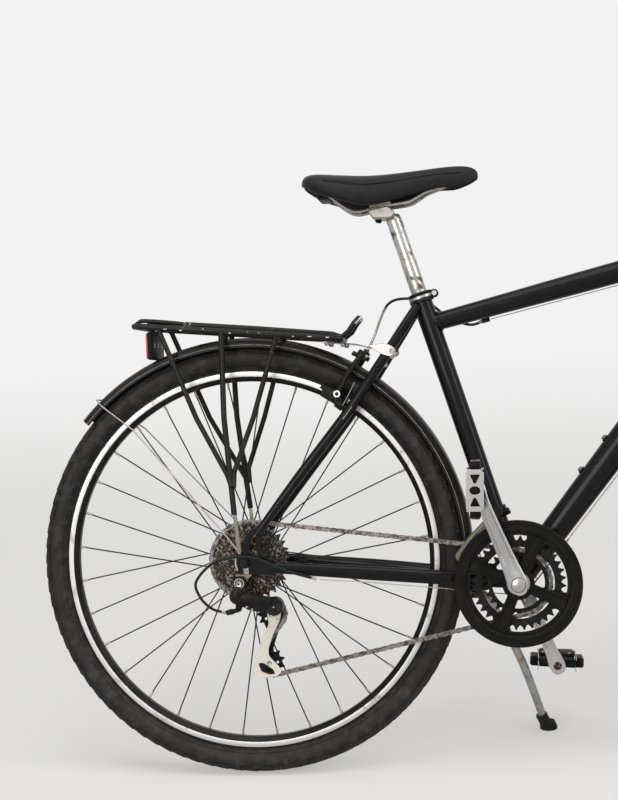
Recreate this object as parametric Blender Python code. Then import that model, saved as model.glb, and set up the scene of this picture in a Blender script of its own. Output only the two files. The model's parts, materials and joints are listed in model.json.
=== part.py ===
"""Hybrid bike with a suspension fork, rack, fenders and a side stand, leaning on its stand.

The bike is drawn upright: origin at the rear axle, +X forwards, +Y to the rider's left, +Z up.
A root empty then leans it to its left, so that both tyres and the stand's foot touch Z = 0.
"""
import math

import bmesh
import bpy
from mathutils import Matrix, Vector

# Clearances
GAP = 0.0003
RUN_GAP = 0.0006

# Wheels
TYRE_RADIUS = 0.357
TYRE_WIDTH = 0.047
RIM_RADIUS = 0.317
RIM_DEPTH = 0.019
RIM_INNER_RADIUS = RIM_RADIUS - RIM_DEPTH
RIM_WIDTH = 0.024
RIM_WELL_DEPTH = 0.008
SPOKE_COUNT = 32
WHEEL_STEPS = 32
SPOKE_RADIUS = 0.0012
FLANGE_RADIUS = 0.026
AXLE_RADIUS = 0.005
REAR_HUB_WIDTH = 0.135
FRONT_HUB_WIDTH = 0.100

# Frame
CHAINSTAY_LENGTH = 0.4436
BB_DROP = 0.0468
WHEELBASE = 1.077
SEAT_ANGLE = math.radians(73.5)
HEAD_ANGLE = math.radians(71.0)
SEAT_TUBE_LENGTH = 0.497
SEAT_TUBE_RADIUS = 0.0165
POST_RADIUS = 0.0136
TOP_TUBE_ON_SEAT_TUBE = 0.445
TOP_TUBE_ON_HEAD_TUBE = 0.072
DOWN_TUBE_ON_HEAD_TUBE = 0.050
HEAD_TUBE_LENGTH = 0.118
HEAD_TUBE_RADIUS = 0.0225
STEERER_RADIUS = 0.0143
BB_SHELL_RADIUS = 0.0205
BB_SHELL_WIDTH = 0.068
BB_BORE_RADIUS = 0.0172
DROPOUT_THICKNESS = 0.006

# Fork
FORK_LENGTH = 0.470
FORK_RAKE = 0.045
FORK_TRAVEL = 0.050
LEG_SPACING = 0.124
STANCHION_RADIUS = 0.014
LOWER_RADIUS = 0.0185
CROWN_DEPTH = 0.025
LOWERS_TOP = -0.150
ARCH_X = 0.018
ARCH_Z = -0.089

# Transmission
CHAIN_PITCH = 0.0127
BIG_TEETH = 48
MIDDLE_TEETH = 36
SMALL_TEETH = 26
COG_TEETH = (11, 13, 15, 18, 21, 24, 28, 32)
PULLEY_TEETH = 11
COG_SPACING = 0.0048
LARGEST_COG_Y = -0.0284
SMALL_RING_Y = -0.0425
RING_SPACING = 0.0075
RING_THICKNESS = 0.002
GUARD_RADIUS = 0.1027
CRANK_LENGTH = 0.170
CRANK_ANGLE = math.radians(110.7)
SPINDLE_RADIUS = 0.0085
CRANK_FACE_Y = 0.082
PEDAL_EYE_Y = 0.090
SMALL_BOLT_RADIUS = 0.0385
PEDAL_CENTRE_Y = 0.142
PEDAL_WIDTH = 0.074
GUIDE_PULLEY = (0.034, -0.090)
TENSION_PULLEY = (0.027, -0.170)
CHAIN_WIDTH = 0.0068
CHAIN_SLOT = 0.0046
CHAIN_HEIGHT = 0.008

# Stand
LEAN = math.radians(9.7)
FOOT_X = 0.483
FOOT_Y = 0.165
STAND_PIVOT = Vector((0.372, 0.034, -0.066))
STAND_AXIS = Vector((-0.207, 0.978, 0.0)).normalized()

# Saddle and post
POST_SHOWING = 0.128
SADDLE_REAR_X = 0.113
SADDLE_LENGTH = 0.292
SADDLE_TOP_Z = 0.636
SADDLE_WIDTH = 0.168

# Fenders and rack
FENDER_RADIUS = 0.3716
FENDER_WIDTH = 0.056
FENDER_WALL = 0.0018
FENDER_DEPTH = 0.012
RACK_HALF_WIDTH = 0.048
RACK_TUBE_RADIUS = 0.0055
RACK_BAR_RADIUS = 0.0040
REAR_BAR_SHARE = 0.07
CLIP_RADIUS = 0.0040
REAR_FENDER_START = math.radians(-1.0)
REAR_FENDER_END = math.radians(138.5)
RACK_REAR = Vector((-0.176, 0.0, 0.398))
RACK_FRONT = Vector((0.168, 0.0, 0.361))

# Brakes
BOSS_ALONG_STAY_X = 0.178
BOSS_HALF_SPACING = 0.040
BOSS_RADIUS = 0.0045
BRAKE_ARM_LENGTH = 0.090
PAD_CLEARANCE = 0.0022
FRONT_BOSS = Vector((0.006, 0.047, -0.170))

# Handlebar
BAR_WIDTH = 0.600
BAR_RADIUS = 0.0111
BAR_CENTRE_RADIUS = 0.0127
BAR_RISE = 0.030
STEM_LENGTH = 0.090
GRIP_LENGTH = 0.125
GRIP_RADIUS = 0.0165
PERCH_Y = BAR_WIDTH / 2 - GRIP_LENGTH - 0.029
POD_INNER_Y = PERCH_Y - 0.040
POD_OUTER_Y = PERCH_Y - 0.003
LEVER_PIVOT_REACH = 0.036
LEVER_PIVOT_DROP = 0.010

# Cables
HOUSING = 0.0025
WIRE = 0.0011
STOP_SHARE = 0.80
WIRE_ROUND_SHELL = 0.0246

BB = Vector((math.sqrt(CHAINSTAY_LENGTH ** 2 - BB_DROP ** 2), 0.0, -BB_DROP))
FRONT_AXLE = Vector((WHEELBASE, 0.0, 0.0))
UP_SEAT = Vector((-math.cos(SEAT_ANGLE), 0.0, math.sin(SEAT_ANGLE)))
UP_HEAD = Vector((-math.cos(HEAD_ANGLE), 0.0, math.sin(HEAD_ANGLE)))
FORWARD_HEAD = Vector((math.sin(HEAD_ANGLE), 0.0, math.cos(HEAD_ANGLE)))
FORK_REACH = math.sqrt(FORK_LENGTH ** 2 - FORK_RAKE ** 2)
CROWN = FRONT_AXLE + UP_HEAD * FORK_REACH - FORWARD_HEAD * FORK_RAKE
HEAD_BOTTOM = 0.005
HEAD_TOP = HEAD_BOTTOM + HEAD_TUBE_LENGTH
BAR_HEIGHT = HEAD_TOP + 0.052
FRONT_AXLE_LOCAL = Vector((FORK_RAKE, 0.0, -FORK_REACH))
SEAT_TOP = BB + UP_SEAT * SEAT_TUBE_LENGTH
DROPOUT_Y = REAR_HUB_WIDTH / 2
AXIS_Y = Vector((0.0, 1.0, 0.0))
STAY_BRIDGE = Vector((0.2331, 0.0, 0.3180))
STAY_DIRECTION = (Vector((0.173, 0.0, 0.235)) - Vector((0.090, 0.0, 0.134))).normalized()
BOSS_OUT = Vector((-STAY_DIRECTION.z, 0.0, STAY_DIRECTION.x))
ARM_DIRECTION = (STAY_DIRECTION + BOSS_OUT * 0.11).normalized()

# The edge of the tread touches the ground on the low side
TREAD_EDGE = (TYRE_RADIUS, TYRE_WIDTH * 0.16)
AXLE_HEIGHT = TREAD_EDGE[0] * math.cos(LEAN) + TREAD_EDGE[1] * math.sin(LEAN)

PALETTE = {
    "black_paint": ((0.012, 0.012, 0.014), 0.25, 0.0),
    "black_plastic": ((0.02, 0.02, 0.02), 0.45, 0.0),
    "black_metal": ((0.02, 0.02, 0.022), 0.35, 0.6),
    "rubber": ((0.015, 0.015, 0.015), 0.85, 0.0),
    "silver": ((0.62, 0.62, 0.62), 0.3, 1.0),
    "steel": ((0.4, 0.39, 0.37), 0.4, 1.0),
    "rusty_steel": ((0.25, 0.16, 0.1), 0.6, 0.8),
    "pale_plastic": ((0.75, 0.73, 0.68), 0.4, 0.0),
    "red_lens": ((0.55, 0.02, 0.02), 0.2, 0.0),
    "saddle_cover": ((0.02, 0.02, 0.02), 0.55, 0.0),
}


def clear_scene():
    for item in list(bpy.data.objects):
        bpy.data.objects.remove(item, do_unlink=True)


def material(name):
    made = bpy.data.materials.get(name)
    if made:
        return made
    colour, roughness, metallic = PALETTE[name]
    made = bpy.data.materials.new(name)
    made.use_nodes = True
    shader = made.node_tree.nodes["Principled BSDF"]
    shader.inputs["Base Color"].default_value = (*colour, 1.0)
    shader.inputs["Roughness"].default_value = roughness
    shader.inputs["Metallic"].default_value = metallic
    return made


def pivot(name, location, parent, tilt=0.0):
    """An empty on a joint's axis; tilt turns it about Y, positive leaning its +Z backwards."""
    empty = bpy.data.objects.new(name, None)
    bpy.context.collection.objects.link(empty)
    empty.parent = parent
    empty.location = location
    empty.rotation_euler = (0.0, -tilt, 0.0)
    return empty


def finish(name, bm, colour, parent, smooth=True):
    bmesh.ops.remove_doubles(bm, verts=bm.verts, dist=1e-7)
    bmesh.ops.recalc_face_normals(bm, faces=bm.faces)
    mesh = bpy.data.meshes.new(name)
    bm.to_mesh(mesh)
    bm.free()
    if smooth:
        mesh.shade_smooth()
        mesh.set_sharp_from_angle(angle=math.radians(40))
    made = bpy.data.objects.new(name, mesh)
    bpy.context.collection.objects.link(made)
    made.parent = parent
    made.data.materials.append(material(colour))
    return made


def ring_of(bm, centre, side, top, half_u, half_v, sides):
    """A closed ring of vertices around a centre; half_u lies along side and half_v along top."""
    verts = []
    for index in range(sides):
        angle = 2 * math.pi * (index + 0.5) / sides
        offset = side * (half_u * math.cos(angle)) + top * (half_v * math.sin(angle))
        verts.append(bm.verts.new(centre + offset))
    return verts


def skin(bm, rings, closed=False):
    pairs = list(zip(rings, rings[1:]))
    if closed:
        pairs.append((rings[-1], rings[0]))
    for first, second in pairs:
        count = len(first)
        for index in range(count):
            after = (index + 1) % count
            bm.faces.new((first[index], first[after], second[after], second[index]))
    if not closed:
        bm.faces.new(list(reversed(rings[0])))
        bm.faces.new(rings[-1])


def add_tube(bm, points, sizes, sides=10, up=Vector((0.0, 0.0, 1.0)), closed=False):
    """A tube along points; each size is a radius or a pair of sideways and upright half sizes."""
    points = [Vector(point) for point in points]
    if not isinstance(sizes, list):
        sizes = [sizes] * len(points)
    rings = []
    side = None
    for index, point in enumerate(points):
        if closed:
            before, after = points[index - 1], points[(index + 1) % len(points)]
        else:
            before, after = points[max(index - 1, 0)], points[min(index + 1, len(points) - 1)]
        direction = (after - before).normalized()
        if side is None:
            side = direction.cross(up if abs(direction.dot(up)) < 0.95 else AXIS_Y)
        side = (side - direction * side.dot(direction)).normalized()
        size = sizes[index]
        half_u, half_v = size if isinstance(size, tuple) else (size, size)
        rings.append(ring_of(bm, point, side, side.cross(direction), half_u, half_v, sides))
    skin(bm, rings, closed)


def add_box(bm, low, high, turn=None):
    size = Vector(high) - Vector(low)
    middle = (Vector(high) + Vector(low)) / 2
    matrix = Matrix.Translation(middle) @ Matrix.Diagonal((*size, 1.0))
    if turn is not None:
        matrix = turn @ matrix
    bmesh.ops.create_cube(bm, size=1.0, matrix=matrix)


def add_cylinder(bm, start, end, radius, sides=12):
    add_tube(bm, [start, end], radius, sides)


def add_turned(bm, profile, steps, closed_profile, centre=Vector((0.0, 0.0, 0.0))):
    """A profile of (radius, y) spun about the Y axis through centre."""
    verts = [bm.verts.new(centre + Vector((radius, y, 0.0))) for radius, y in profile]
    count = len(verts)
    spans = count if closed_profile else count - 1
    edges = [bm.edges.new((verts[i], verts[(i + 1) % count])) for i in range(spans)]
    bmesh.ops.spin(bm, geom=verts + edges, cent=centre, axis=AXIS_Y, angle=2 * math.pi,
                   steps=steps, use_merge=True)
    bmesh.ops.remove_doubles(bm, verts=bm.verts, dist=1e-7)


def add_plate(bm, outline, low_y, high_y):
    """A flat plate: an (x, z) outline pushed along Y."""
    verts = [bm.verts.new((x, low_y, z)) for x, z in outline]
    face = bm.faces.new(verts)
    pushed = bmesh.ops.extrude_face_region(bm, geom=[face])
    moved = [item for item in pushed["geom"] if isinstance(item, bmesh.types.BMVert)]
    bmesh.ops.translate(bm, verts=moved, vec=(0.0, high_y - low_y, 0.0))


def piece(build, *args):
    """A helper object without a parent, for a boolean step."""
    bm = bmesh.new()
    build(bm, *args)
    bmesh.ops.recalc_face_normals(bm, faces=bm.faces)
    mesh = bpy.data.meshes.new("helper")
    bm.to_mesh(mesh)
    bm.free()
    helper = bpy.data.objects.new("helper", mesh)
    bpy.context.collection.objects.link(helper)
    return helper


def combine(target, helpers, operation):
    """Joins or cuts helpers into target, in the target's own coordinates, and removes them."""
    colour = target.data.materials[0]
    for helper in helpers:
        helper.parent = target.parent
        step = target.modifiers.new("step", "BOOLEAN")
        step.operation = operation
        step.object = helper
        step.solver = "EXACT"
        step.use_self = operation == "UNION"
        bpy.context.view_layer.update()
        graph = bpy.context.evaluated_depsgraph_get()
        mesh = bpy.data.meshes.new_from_object(target.evaluated_get(graph))
        target.modifiers.remove(step)
        target.data = mesh
        bpy.data.objects.remove(helper, do_unlink=True)
    target.data.materials.clear()
    target.data.materials.append(colour)
    target.data.shade_smooth()
    target.data.set_sharp_from_angle(angle=math.radians(40))
    return target


def join(target, *helpers):
    return combine(target, helpers, "UNION")


def cut(target, *helpers):
    return combine(target, helpers, "DIFFERENCE")


def flats(radius, sides):
    """Radius to the middle of a faceted circle's flats."""
    return radius * math.cos(math.pi / sides)


def pitch_radius(teeth):
    return CHAIN_PITCH / (2 * math.sin(math.pi / teeth))


def on_circle(radius, angle):
    return (radius * math.cos(angle), radius * math.sin(angle))


def seat_tube_point(along):
    return BB + UP_SEAT * along


def head_point(along, forward=0.0, y=0.0):
    return CROWN + UP_HEAD * along + FORWARD_HEAD * forward + AXIS_Y * y


def smooth_route(points, per_span):
    """Points along a smooth curve through the given points."""
    points = [Vector(point) for point in points]
    route = []
    for index in range(len(points) - 1):
        before = points[max(index - 1, 0)]
        start, end = points[index], points[index + 1]
        after = points[min(index + 2, len(points) - 1)]
        for step in range(per_span):
            t = step / per_span
            route.append(0.5 * ((2 * start) + (end - before) * t
                                + (2 * before - 5 * start + 4 * end - after) * t * t
                                + (3 * start - before - 3 * end + after) * t ** 3))
    route.append(points[-1])
    return route


# Frame


def stay_route(side):
    """Centre line of a chainstay, from the shell to the dropout."""
    return [(BB.x - 0.006, side * 0.022, BB.z), (0.400, side * 0.029, -0.044),
            (0.366, side * 0.0335, -0.0405), (0.330, side * 0.0385, -0.0370),
            (0.200, side * 0.0560, -0.0235), (0.040, side * (DROPOUT_Y + 0.003), -0.0080)]


def seatstay_route(side):
    top = seat_tube_point(SEAT_TUBE_LENGTH - 0.027)
    return [top + Vector((-0.0052, side * 0.0124, 0.0)), (0.268, side * 0.030, 0.368),
            (0.215, side * 0.0425, 0.292), (0.173, side * 0.0480, 0.235),
            (0.090, side * 0.0590, 0.134), (0.020, side * (DROPOUT_Y + 0.003), 0.046)]


def add_dropout(bm, side):
    low, high = sorted((side * DROPOUT_Y, side * (DROPOUT_Y + DROPOUT_THICKNESS)))
    outline = [(0.046, -0.018), (0.052, 0.000), (0.032, 0.012), (0.034, 0.040), (0.024, 0.056),
               (0.010, 0.052), (-0.002, 0.036), (-0.014, 0.026), (-0.014, 0.002), (-0.011, -0.018)]
    if side < 0:
        outline += [(-0.017, -0.026), (-0.017, -0.036), (-0.008, -0.041), (0.001, -0.036),
                    (0.004, -0.026), (0.014, -0.018)]
    add_plate(bm, outline, low, high)


def make_frame(bike):
    """The welded frame: main tubes, stays, dropouts, bridges and brazed fittings."""
    bm = bmesh.new()
    add_cylinder(bm, BB - AXIS_Y * BB_SHELL_WIDTH / 2, BB + AXIS_Y * BB_SHELL_WIDTH / 2,
                 BB_SHELL_RADIUS, 14)
    frame = finish("frame", bm, "black_paint", bike)
    head_low, head_high = head_point(HEAD_BOTTOM), head_point(HEAD_TOP)
    top_rear = seat_tube_point(TOP_TUBE_ON_SEAT_TUBE)
    top_front = head_point(HEAD_BOTTOM + TOP_TUBE_ON_HEAD_TUBE)
    down_front = head_point(HEAD_BOTTOM + DOWN_TUBE_ON_HEAD_TUBE)
    down_middle = BB.lerp(down_front, 0.5)
    brake_stop = top_rear.lerp(top_front, 0.17)
    front_stop = top_rear.lerp(top_front, 0.86)
    parts = [
        piece(add_tube, [BB, seat_tube_point(0.10), SEAT_TOP],
              [0.0175, SEAT_TUBE_RADIUS, SEAT_TUBE_RADIUS], 12),
        piece(add_tube, [head_low, head_high], HEAD_TUBE_RADIUS, 12),
        piece(add_tube, [top_rear, top_rear.lerp(top_front, 0.45), top_front],
              [(0.0155, 0.0145), (0.0165, 0.0175), (0.0175, 0.0195)], 10),
        piece(add_tube, [BB, down_middle, down_front],
              [(0.0185, 0.0200), (0.0200, 0.0245), (0.0185, 0.0240)], 10),
        piece(add_box, brake_stop + Vector((-0.007, 0.006, -0.0215)),
              brake_stop + Vector((0.007, 0.013, -0.012))),
        piece(add_box, front_stop + Vector((-0.007, 0.006, -0.0260)),
              front_stop + Vector((0.007, 0.013, -0.015))),
    ]
    for side in (-1, 1):
        parts.append(piece(add_tube, stay_route(side),
                           [(0.009, 0.012), (0.008, 0.0118), (0.0078, 0.0118), (0.0085, 0.0118),
                            (0.008, 0.0115), (0.0055, 0.009)], 8))
        parts.append(piece(add_tube, seatstay_route(side), [0.008, 0.0085, 0.0085, 0.0085, 0.008, 0.006],
                           7))
        parts.append(piece(add_dropout, side))
        parts.append(piece(add_tube, [boss_base(side), boss_base(side) + BOSS_OUT * 0.010], 0.0080, 6))
        parts.append(piece(add_tube, [boss_base(side), boss_base(side) + BOSS_OUT * 0.027], BOSS_RADIUS, 8))
    parts.append(piece(add_cylinder, (0.385, -0.030, -0.043), (0.385, 0.030, -0.043), 0.007, 8))
    parts.append(piece(add_cylinder, STAY_BRIDGE - AXIS_Y * 0.037, STAY_BRIDGE + AXIS_Y * 0.037, 0.007, 8))
    lug_face = STAND_PIVOT.y - 0.0105
    parts.append(piece(add_box, (STAND_PIVOT.x - 0.012, -0.030, -0.060),
                       (STAND_PIVOT.x + 0.020, lug_face - 0.002, -0.049)))
    parts.append(piece(add_box, (STAND_PIVOT.x - 0.011, 0.012, STAND_PIVOT.z - 0.012),
                       (STAND_PIVOT.x + 0.011, lug_face, -0.053)))
    join(frame, *parts)
    bore = [
        piece(add_cylinder, BB - AXIS_Y * 0.05, BB + AXIS_Y * 0.05, BB_BORE_RADIUS, 12),
        piece(add_tube, [seat_tube_point(SEAT_TUBE_LENGTH - 0.300),
                         seat_tube_point(SEAT_TUBE_LENGTH + 0.01)],
              POST_RADIUS + GAP, 12),
        piece(add_tube, [head_low - UP_HEAD * 0.01, head_high + UP_HEAD * 0.01],
              STEERER_RADIUS + 0.0015, 12),
        piece(add_cylinder, (0, -0.1, 0), (0, 0.1, 0), AXLE_RADIUS + GAP, 12),
        piece(add_box, (-AXLE_RADIUS - GAP, -0.1, -0.030), (AXLE_RADIUS + GAP, 0.1, 0.0)),
        piece(add_cylinder, (-0.0088, -0.1, -0.0310), (-0.0088, -0.05, -0.0310), 0.0050 + GAP, 10),
        piece(add_tube, [cable_line(0.15), cable_line(0.19)], HOUSING + GAP * 2, 8),
        piece(add_tube, [cable_line(0.84), cable_line(0.88)], HOUSING + GAP * 2, 8),
    ]
    return cut(frame, *bore)


def boss_base(side):
    """Where a rear brake boss leaves its seat stay."""
    return Vector((BOSS_ALONG_STAY_X, side * BOSS_HALF_SPACING,
                   0.235 + (BOSS_ALONG_STAY_X - 0.173) * 1.357))


def make_seat_clamp(bike):
    low = SEAT_TUBE_LENGTH - 0.015
    bm = bmesh.new()
    add_tube(bm, [seat_tube_point(low), seat_tube_point(low + 0.017)], SEAT_TUBE_RADIUS + 0.0042, 12)
    clamp = finish("seat_clamp", bm, "black_metal", bike)
    front = seat_tube_point(low + 0.0085) + Vector((math.sin(SEAT_ANGLE), 0, math.cos(SEAT_ANGLE))) * 0.024
    join(clamp, piece(add_tube, [front - AXIS_Y * 0.010, front + AXIS_Y * 0.010], 0.0072, 10))
    return cut(clamp, piece(add_tube, [seat_tube_point(low - 0.01), seat_tube_point(low + 0.0150 + GAP)],
                            SEAT_TUBE_RADIUS + GAP, 12),
               piece(add_tube, [seat_tube_point(low), seat_tube_point(low + 0.03)], POST_RADIUS + GAP, 12))


def make_bottom_bracket(bike):
    bm = bmesh.new()
    inner, lip = SPINDLE_RADIUS + RUN_GAP, BB_SHELL_RADIUS - 0.001
    outer = flats(BB_BORE_RADIUS, 12) - GAP
    half, face = BB_SHELL_WIDTH / 2 + GAP, BB_SHELL_WIDTH / 2 + 0.0035
    add_turned(bm, [(inner, -face), (inner, half - 0.001), (outer, half - 0.001), (outer, -half),
                    (lip, -half), (lip, -face)], 12, True, BB)
    return finish("bottom_bracket_cartridge", bm, "steel", bike)


def make_rear_axle(bike):
    """Axle rod with a hexagonal nut outside each dropout."""
    bm = bmesh.new()
    outside = DROPOUT_Y + DROPOUT_THICKNESS + GAP
    add_cylinder(bm, (0, -outside - 0.012, 0), (0, outside + 0.012, 0), AXLE_RADIUS, 8)
    axle = finish("rear_axle", bm, "steel", bike)
    nuts = [piece(add_cylinder, (0, side * outside, 0), (0, side * (outside + 0.0085), 0), 0.0085, 6)
            for side in (-1, 1)]
    return join(axle, *nuts)


# Wheels


def make_tyre(name, parent):
    half = TYRE_WIDTH / 2
    seat = RIM_WIDTH / 2 - 0.0018
    bed = RIM_RADIUS - RIM_WELL_DEPTH + GAP
    widest = RIM_RADIUS + 0.0165
    shoulder = TYRE_RADIUS - 0.0075
    right = [(bed, seat), (RIM_RADIUS + 0.0010, seat), (widest, half), (shoulder, half * 0.78), TREAD_EDGE]
    profile = right + [(radius, -y) for radius, y in reversed(right)]
    bm = bmesh.new()
    add_turned(bm, profile, WHEEL_STEPS, True)
    return finish(name, bm, "rubber", parent)


def make_rim(name, parent):
    half, wall = RIM_WIDTH / 2, 0.0014
    bed = RIM_RADIUS - RIM_WELL_DEPTH
    profile = [(bed, half - wall), (RIM_RADIUS, half - wall * 0.4), (RIM_RADIUS - 0.012, half),
               (RIM_INNER_RADIUS, half * 0.55)]
    profile += [(radius, -y) for radius, y in reversed(profile)]
    bm = bmesh.new()
    add_turned(bm, profile, WHEEL_STEPS, True)
    return finish(name, bm, "black_metal", parent)


def add_spokes(bm, left_y, right_y):
    """Crossed spokes; each leaves its flange near a tangent and ends just inside the rim."""
    end_radius = flats(RIM_INNER_RADIUS, WHEEL_STEPS) - GAP
    for index in range(SPOKE_COUNT):
        flange = right_y if index % 2 else left_y
        lean = 1 if (index // 2) % 2 else -1
        rim_angle = 2 * math.pi * (index + 0.5) / SPOKE_COUNT
        hub_angle = rim_angle + lean * math.radians(68)
        out = 0.0016 * lean * (1 if flange > 0 else -1)
        hub_x, hub_z = on_circle(FLANGE_RADIUS - 0.004, hub_angle)
        rim_x, rim_z = on_circle(end_radius, rim_angle)
        add_tube(bm, [(hub_x, flange + out, hub_z), (rim_x, flange * 0.06, rim_z)], SPOKE_RADIUS, 3)


def make_hub(name, parent, left_y, right_y, left_end, right_end, bore):
    """Hub shell with two flanges and its spokes, one body."""
    bm = bmesh.new()
    web, shell = 0.0018, 0.0165
    profile = [(bore, right_end), (bore, left_end), (0.0115, left_end), (0.0125, left_y + web + 0.004),
               (FLANGE_RADIUS, left_y + web), (FLANGE_RADIUS, left_y - web), (shell, left_y - web - 0.003),
               (shell, right_y + web + 0.003), (FLANGE_RADIUS, right_y + web),
               (FLANGE_RADIUS, right_y - web), (0.0115, right_end)]
    add_turned(bm, profile, 8, True)
    hub = finish(name, bm, "black_metal", parent)
    return join(hub, piece(add_spokes, left_y, right_y))


def make_rear_wheel(bike):
    axis = pivot("rear_wheel_axis", (0, 0, 0), bike)
    make_tyre("rear_tyre", axis)
    make_rim("rear_rim", axis)
    make_hub("rear_hub_and_spokes", axis, 0.036, -0.0205, DROPOUT_Y - 0.0008, -0.0245,
             AXLE_RADIUS + RUN_GAP)


def toothed_outline(teeth):
    """A simple toothed edge: a root and a tip for each tooth."""
    root, tip = pitch_radius(teeth) - 0.0041, pitch_radius(teeth) + 0.0034
    outline = []
    for tooth in range(teeth):
        outline.append(on_circle(root, 2 * math.pi * tooth / teeth))
        outline.append(on_circle(tip, 2 * math.pi * (tooth + 0.5) / teeth))
    return outline


def add_sprocket(bm, teeth, middle_y, thickness):
    add_plate(bm, toothed_outline(teeth), middle_y - thickness / 2, middle_y + thickness / 2)


def make_cassette(bike):
    """Freehub body with its stack of cogs, largest inboard."""
    axis = pivot("cassette_axis", (0, 0, 0), bike)
    last_y = LARGEST_COG_Y - (len(COG_TEETH) - 1) * COG_SPACING
    outer_end = -DROPOUT_Y + 0.0008
    inner_end = -0.0245 - RUN_GAP
    bm = bmesh.new()
    add_cylinder(bm, (0, outer_end, 0), (0, inner_end, 0), 0.0110, 12)
    cassette = finish("cassette", bm, "rusty_steel", axis)
    join(cassette, piece(add_cylinder, (0, last_y - 0.0022, 0), (0, inner_end - 0.0002, 0), 0.0165, 8))
    for index, teeth in enumerate(reversed(COG_TEETH)):
        y = LARGEST_COG_Y - index * COG_SPACING
        if teeth == COG_TEETH[-1]:
            cog = piece(add_sprocket, teeth, y, 0.0018)
        else:
            cog = piece(add_cylinder, (0, y - 0.0009, 0), (0, y + 0.0009, 0), pitch_radius(teeth) + 0.002,
                        max(10, teeth // 3 + 4))
        join(cassette, cog)
    return cut(cassette, piece(add_cylinder, (0, -0.1, 0), (0, 0, 0), AXLE_RADIUS + RUN_GAP, 12))


# Chain


def direct_tangent(first, second):
    """Unit normal and direction of the belt line that leaves one circle and meets the next.

    A circle is (x, z, radius, turn); turn is 1 where the belt goes round it anticlockwise.
    """
    gap = Vector((second[0] - first[0], second[1] - first[1]))
    spread = math.acos((first[3] * first[2] - second[3] * second[2]) / gap.length)
    angle = math.atan2(gap.y, gap.x) - spread
    return angle


def chain_circles():
    cog, ring, pulley = (pitch_radius(COG_TEETH[-1]), pitch_radius(SMALL_TEETH), pitch_radius(PULLEY_TEETH))
    pulley_y = LARGEST_COG_Y
    return [((BB.x, BB.z, ring, 1), SMALL_RING_Y), ((0.0, 0.0, cog, 1), LARGEST_COG_Y),
            ((*GUIDE_PULLEY, pulley, -1), pulley_y), ((*TENSION_PULLEY, pulley, 1), pulley_y)]


def chain_path():
    """Points along the pitch line, and the straight runs between the wheels."""
    circles = chain_circles()
    count = len(circles)
    angles = [direct_tangent(circles[i][0], circles[(i + 1) % count][0]) for i in range(count)]
    points, runs = [], []
    for index in range(count):
        (x, z, radius, turn), y = circles[index]
        start, end = angles[index - 1], angles[index]
        if turn < 0:
            start, end = start + math.pi, end + math.pi
        sweep = (end - start) % (2 * math.pi) if turn > 0 else -((start - end) % (2 * math.pi))
        steps = max(3, int(abs(sweep) / math.radians(30)) + 1)
        for step in range(steps + 1):
            angle = start + sweep * step / steps
            points.append(Vector((x + radius * math.cos(angle), y, z + radius * math.sin(angle))))
        (next_x, next_z, next_radius, next_turn), next_y = circles[(index + 1) % count]
        leave = points[-1]
        meet_angle = angles[index] + (math.pi if next_turn < 0 else 0.0)
        meet = Vector((next_x + next_radius * math.cos(meet_angle), next_y,
                       next_z + next_radius * math.sin(meet_angle)))
        runs.append((leave, meet))
    return points, runs


def add_chain_side(bm, points, offset):
    """One row of side plates: a strip of the chain's height, offset to one side of the pitch line."""
    half_thick = (CHAIN_WIDTH - CHAIN_SLOT) / 4
    rings = []
    for index, point in enumerate(points):
        along = (points[(index + 1) % len(points)] - points[index - 1]).normalized()
        out = Vector((-along.z, 0.0, along.x)).normalized() * (CHAIN_HEIGHT / 2)
        middle = point + AXIS_Y * offset
        thick = AXIS_Y * half_thick
        rings.append([bm.verts.new(middle + spot) for spot in (out + thick, out - thick, -out - thick,
                                                               -out + thick)])
    skin(bm, rings, True)


def add_chain_bar(bm, leave, meet):
    """Pins and rollers of a straight run, kept clear of the teeth at both ends."""
    along = (meet - leave).normalized()
    clear = 0.028
    start, end = leave + along * clear, meet - along * clear
    if (end - start).dot(along) < 0.004:
        return False
    half = CHAIN_SLOT / 2 + 0.0005
    out = Vector((-along.z, 0.0, along.x)).normalized() * 0.0030
    rings = []
    for point in (start, end):
        rings.append([bm.verts.new(point + spot) for spot in
                      (out + AXIS_Y * half, out - AXIS_Y * half, -out - AXIS_Y * half,
                       -out + AXIS_Y * half)])
    skin(bm, rings)
    return True


def make_chain(bike):
    points, runs = chain_path()
    offset = (CHAIN_WIDTH + CHAIN_SLOT) / 4
    bm = bmesh.new()
    add_chain_side(bm, points, offset)
    chain = finish("chain", bm, "rusty_steel", bike, smooth=False)
    long_runs = [run for run in runs if (run[1] - run[0]).length > 0.07]
    return join(chain, *[piece(add_chain_bar, *run) for run in long_runs],
                piece(add_chain_side, points, -offset))


# Crankset


def make_ring(name, teeth, y, inner, parent, colour, toothed=True):
    """A chainring; its window is left open round the spider's foot."""
    bm = bmesh.new()
    if toothed:
        add_sprocket(bm, teeth, y, RING_THICKNESS)
    else:
        add_cylinder(bm, (0, y - RING_THICKNESS / 2, 0), (0, y + RING_THICKNESS / 2, 0),
                     pitch_radius(teeth) + 0.002, 20)
    ring = finish(name, bm, colour, parent)
    return cut(ring, piece(add_cylinder, (0, y - 0.01, 0), (0, y + 0.01, 0), inner, 16))


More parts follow.
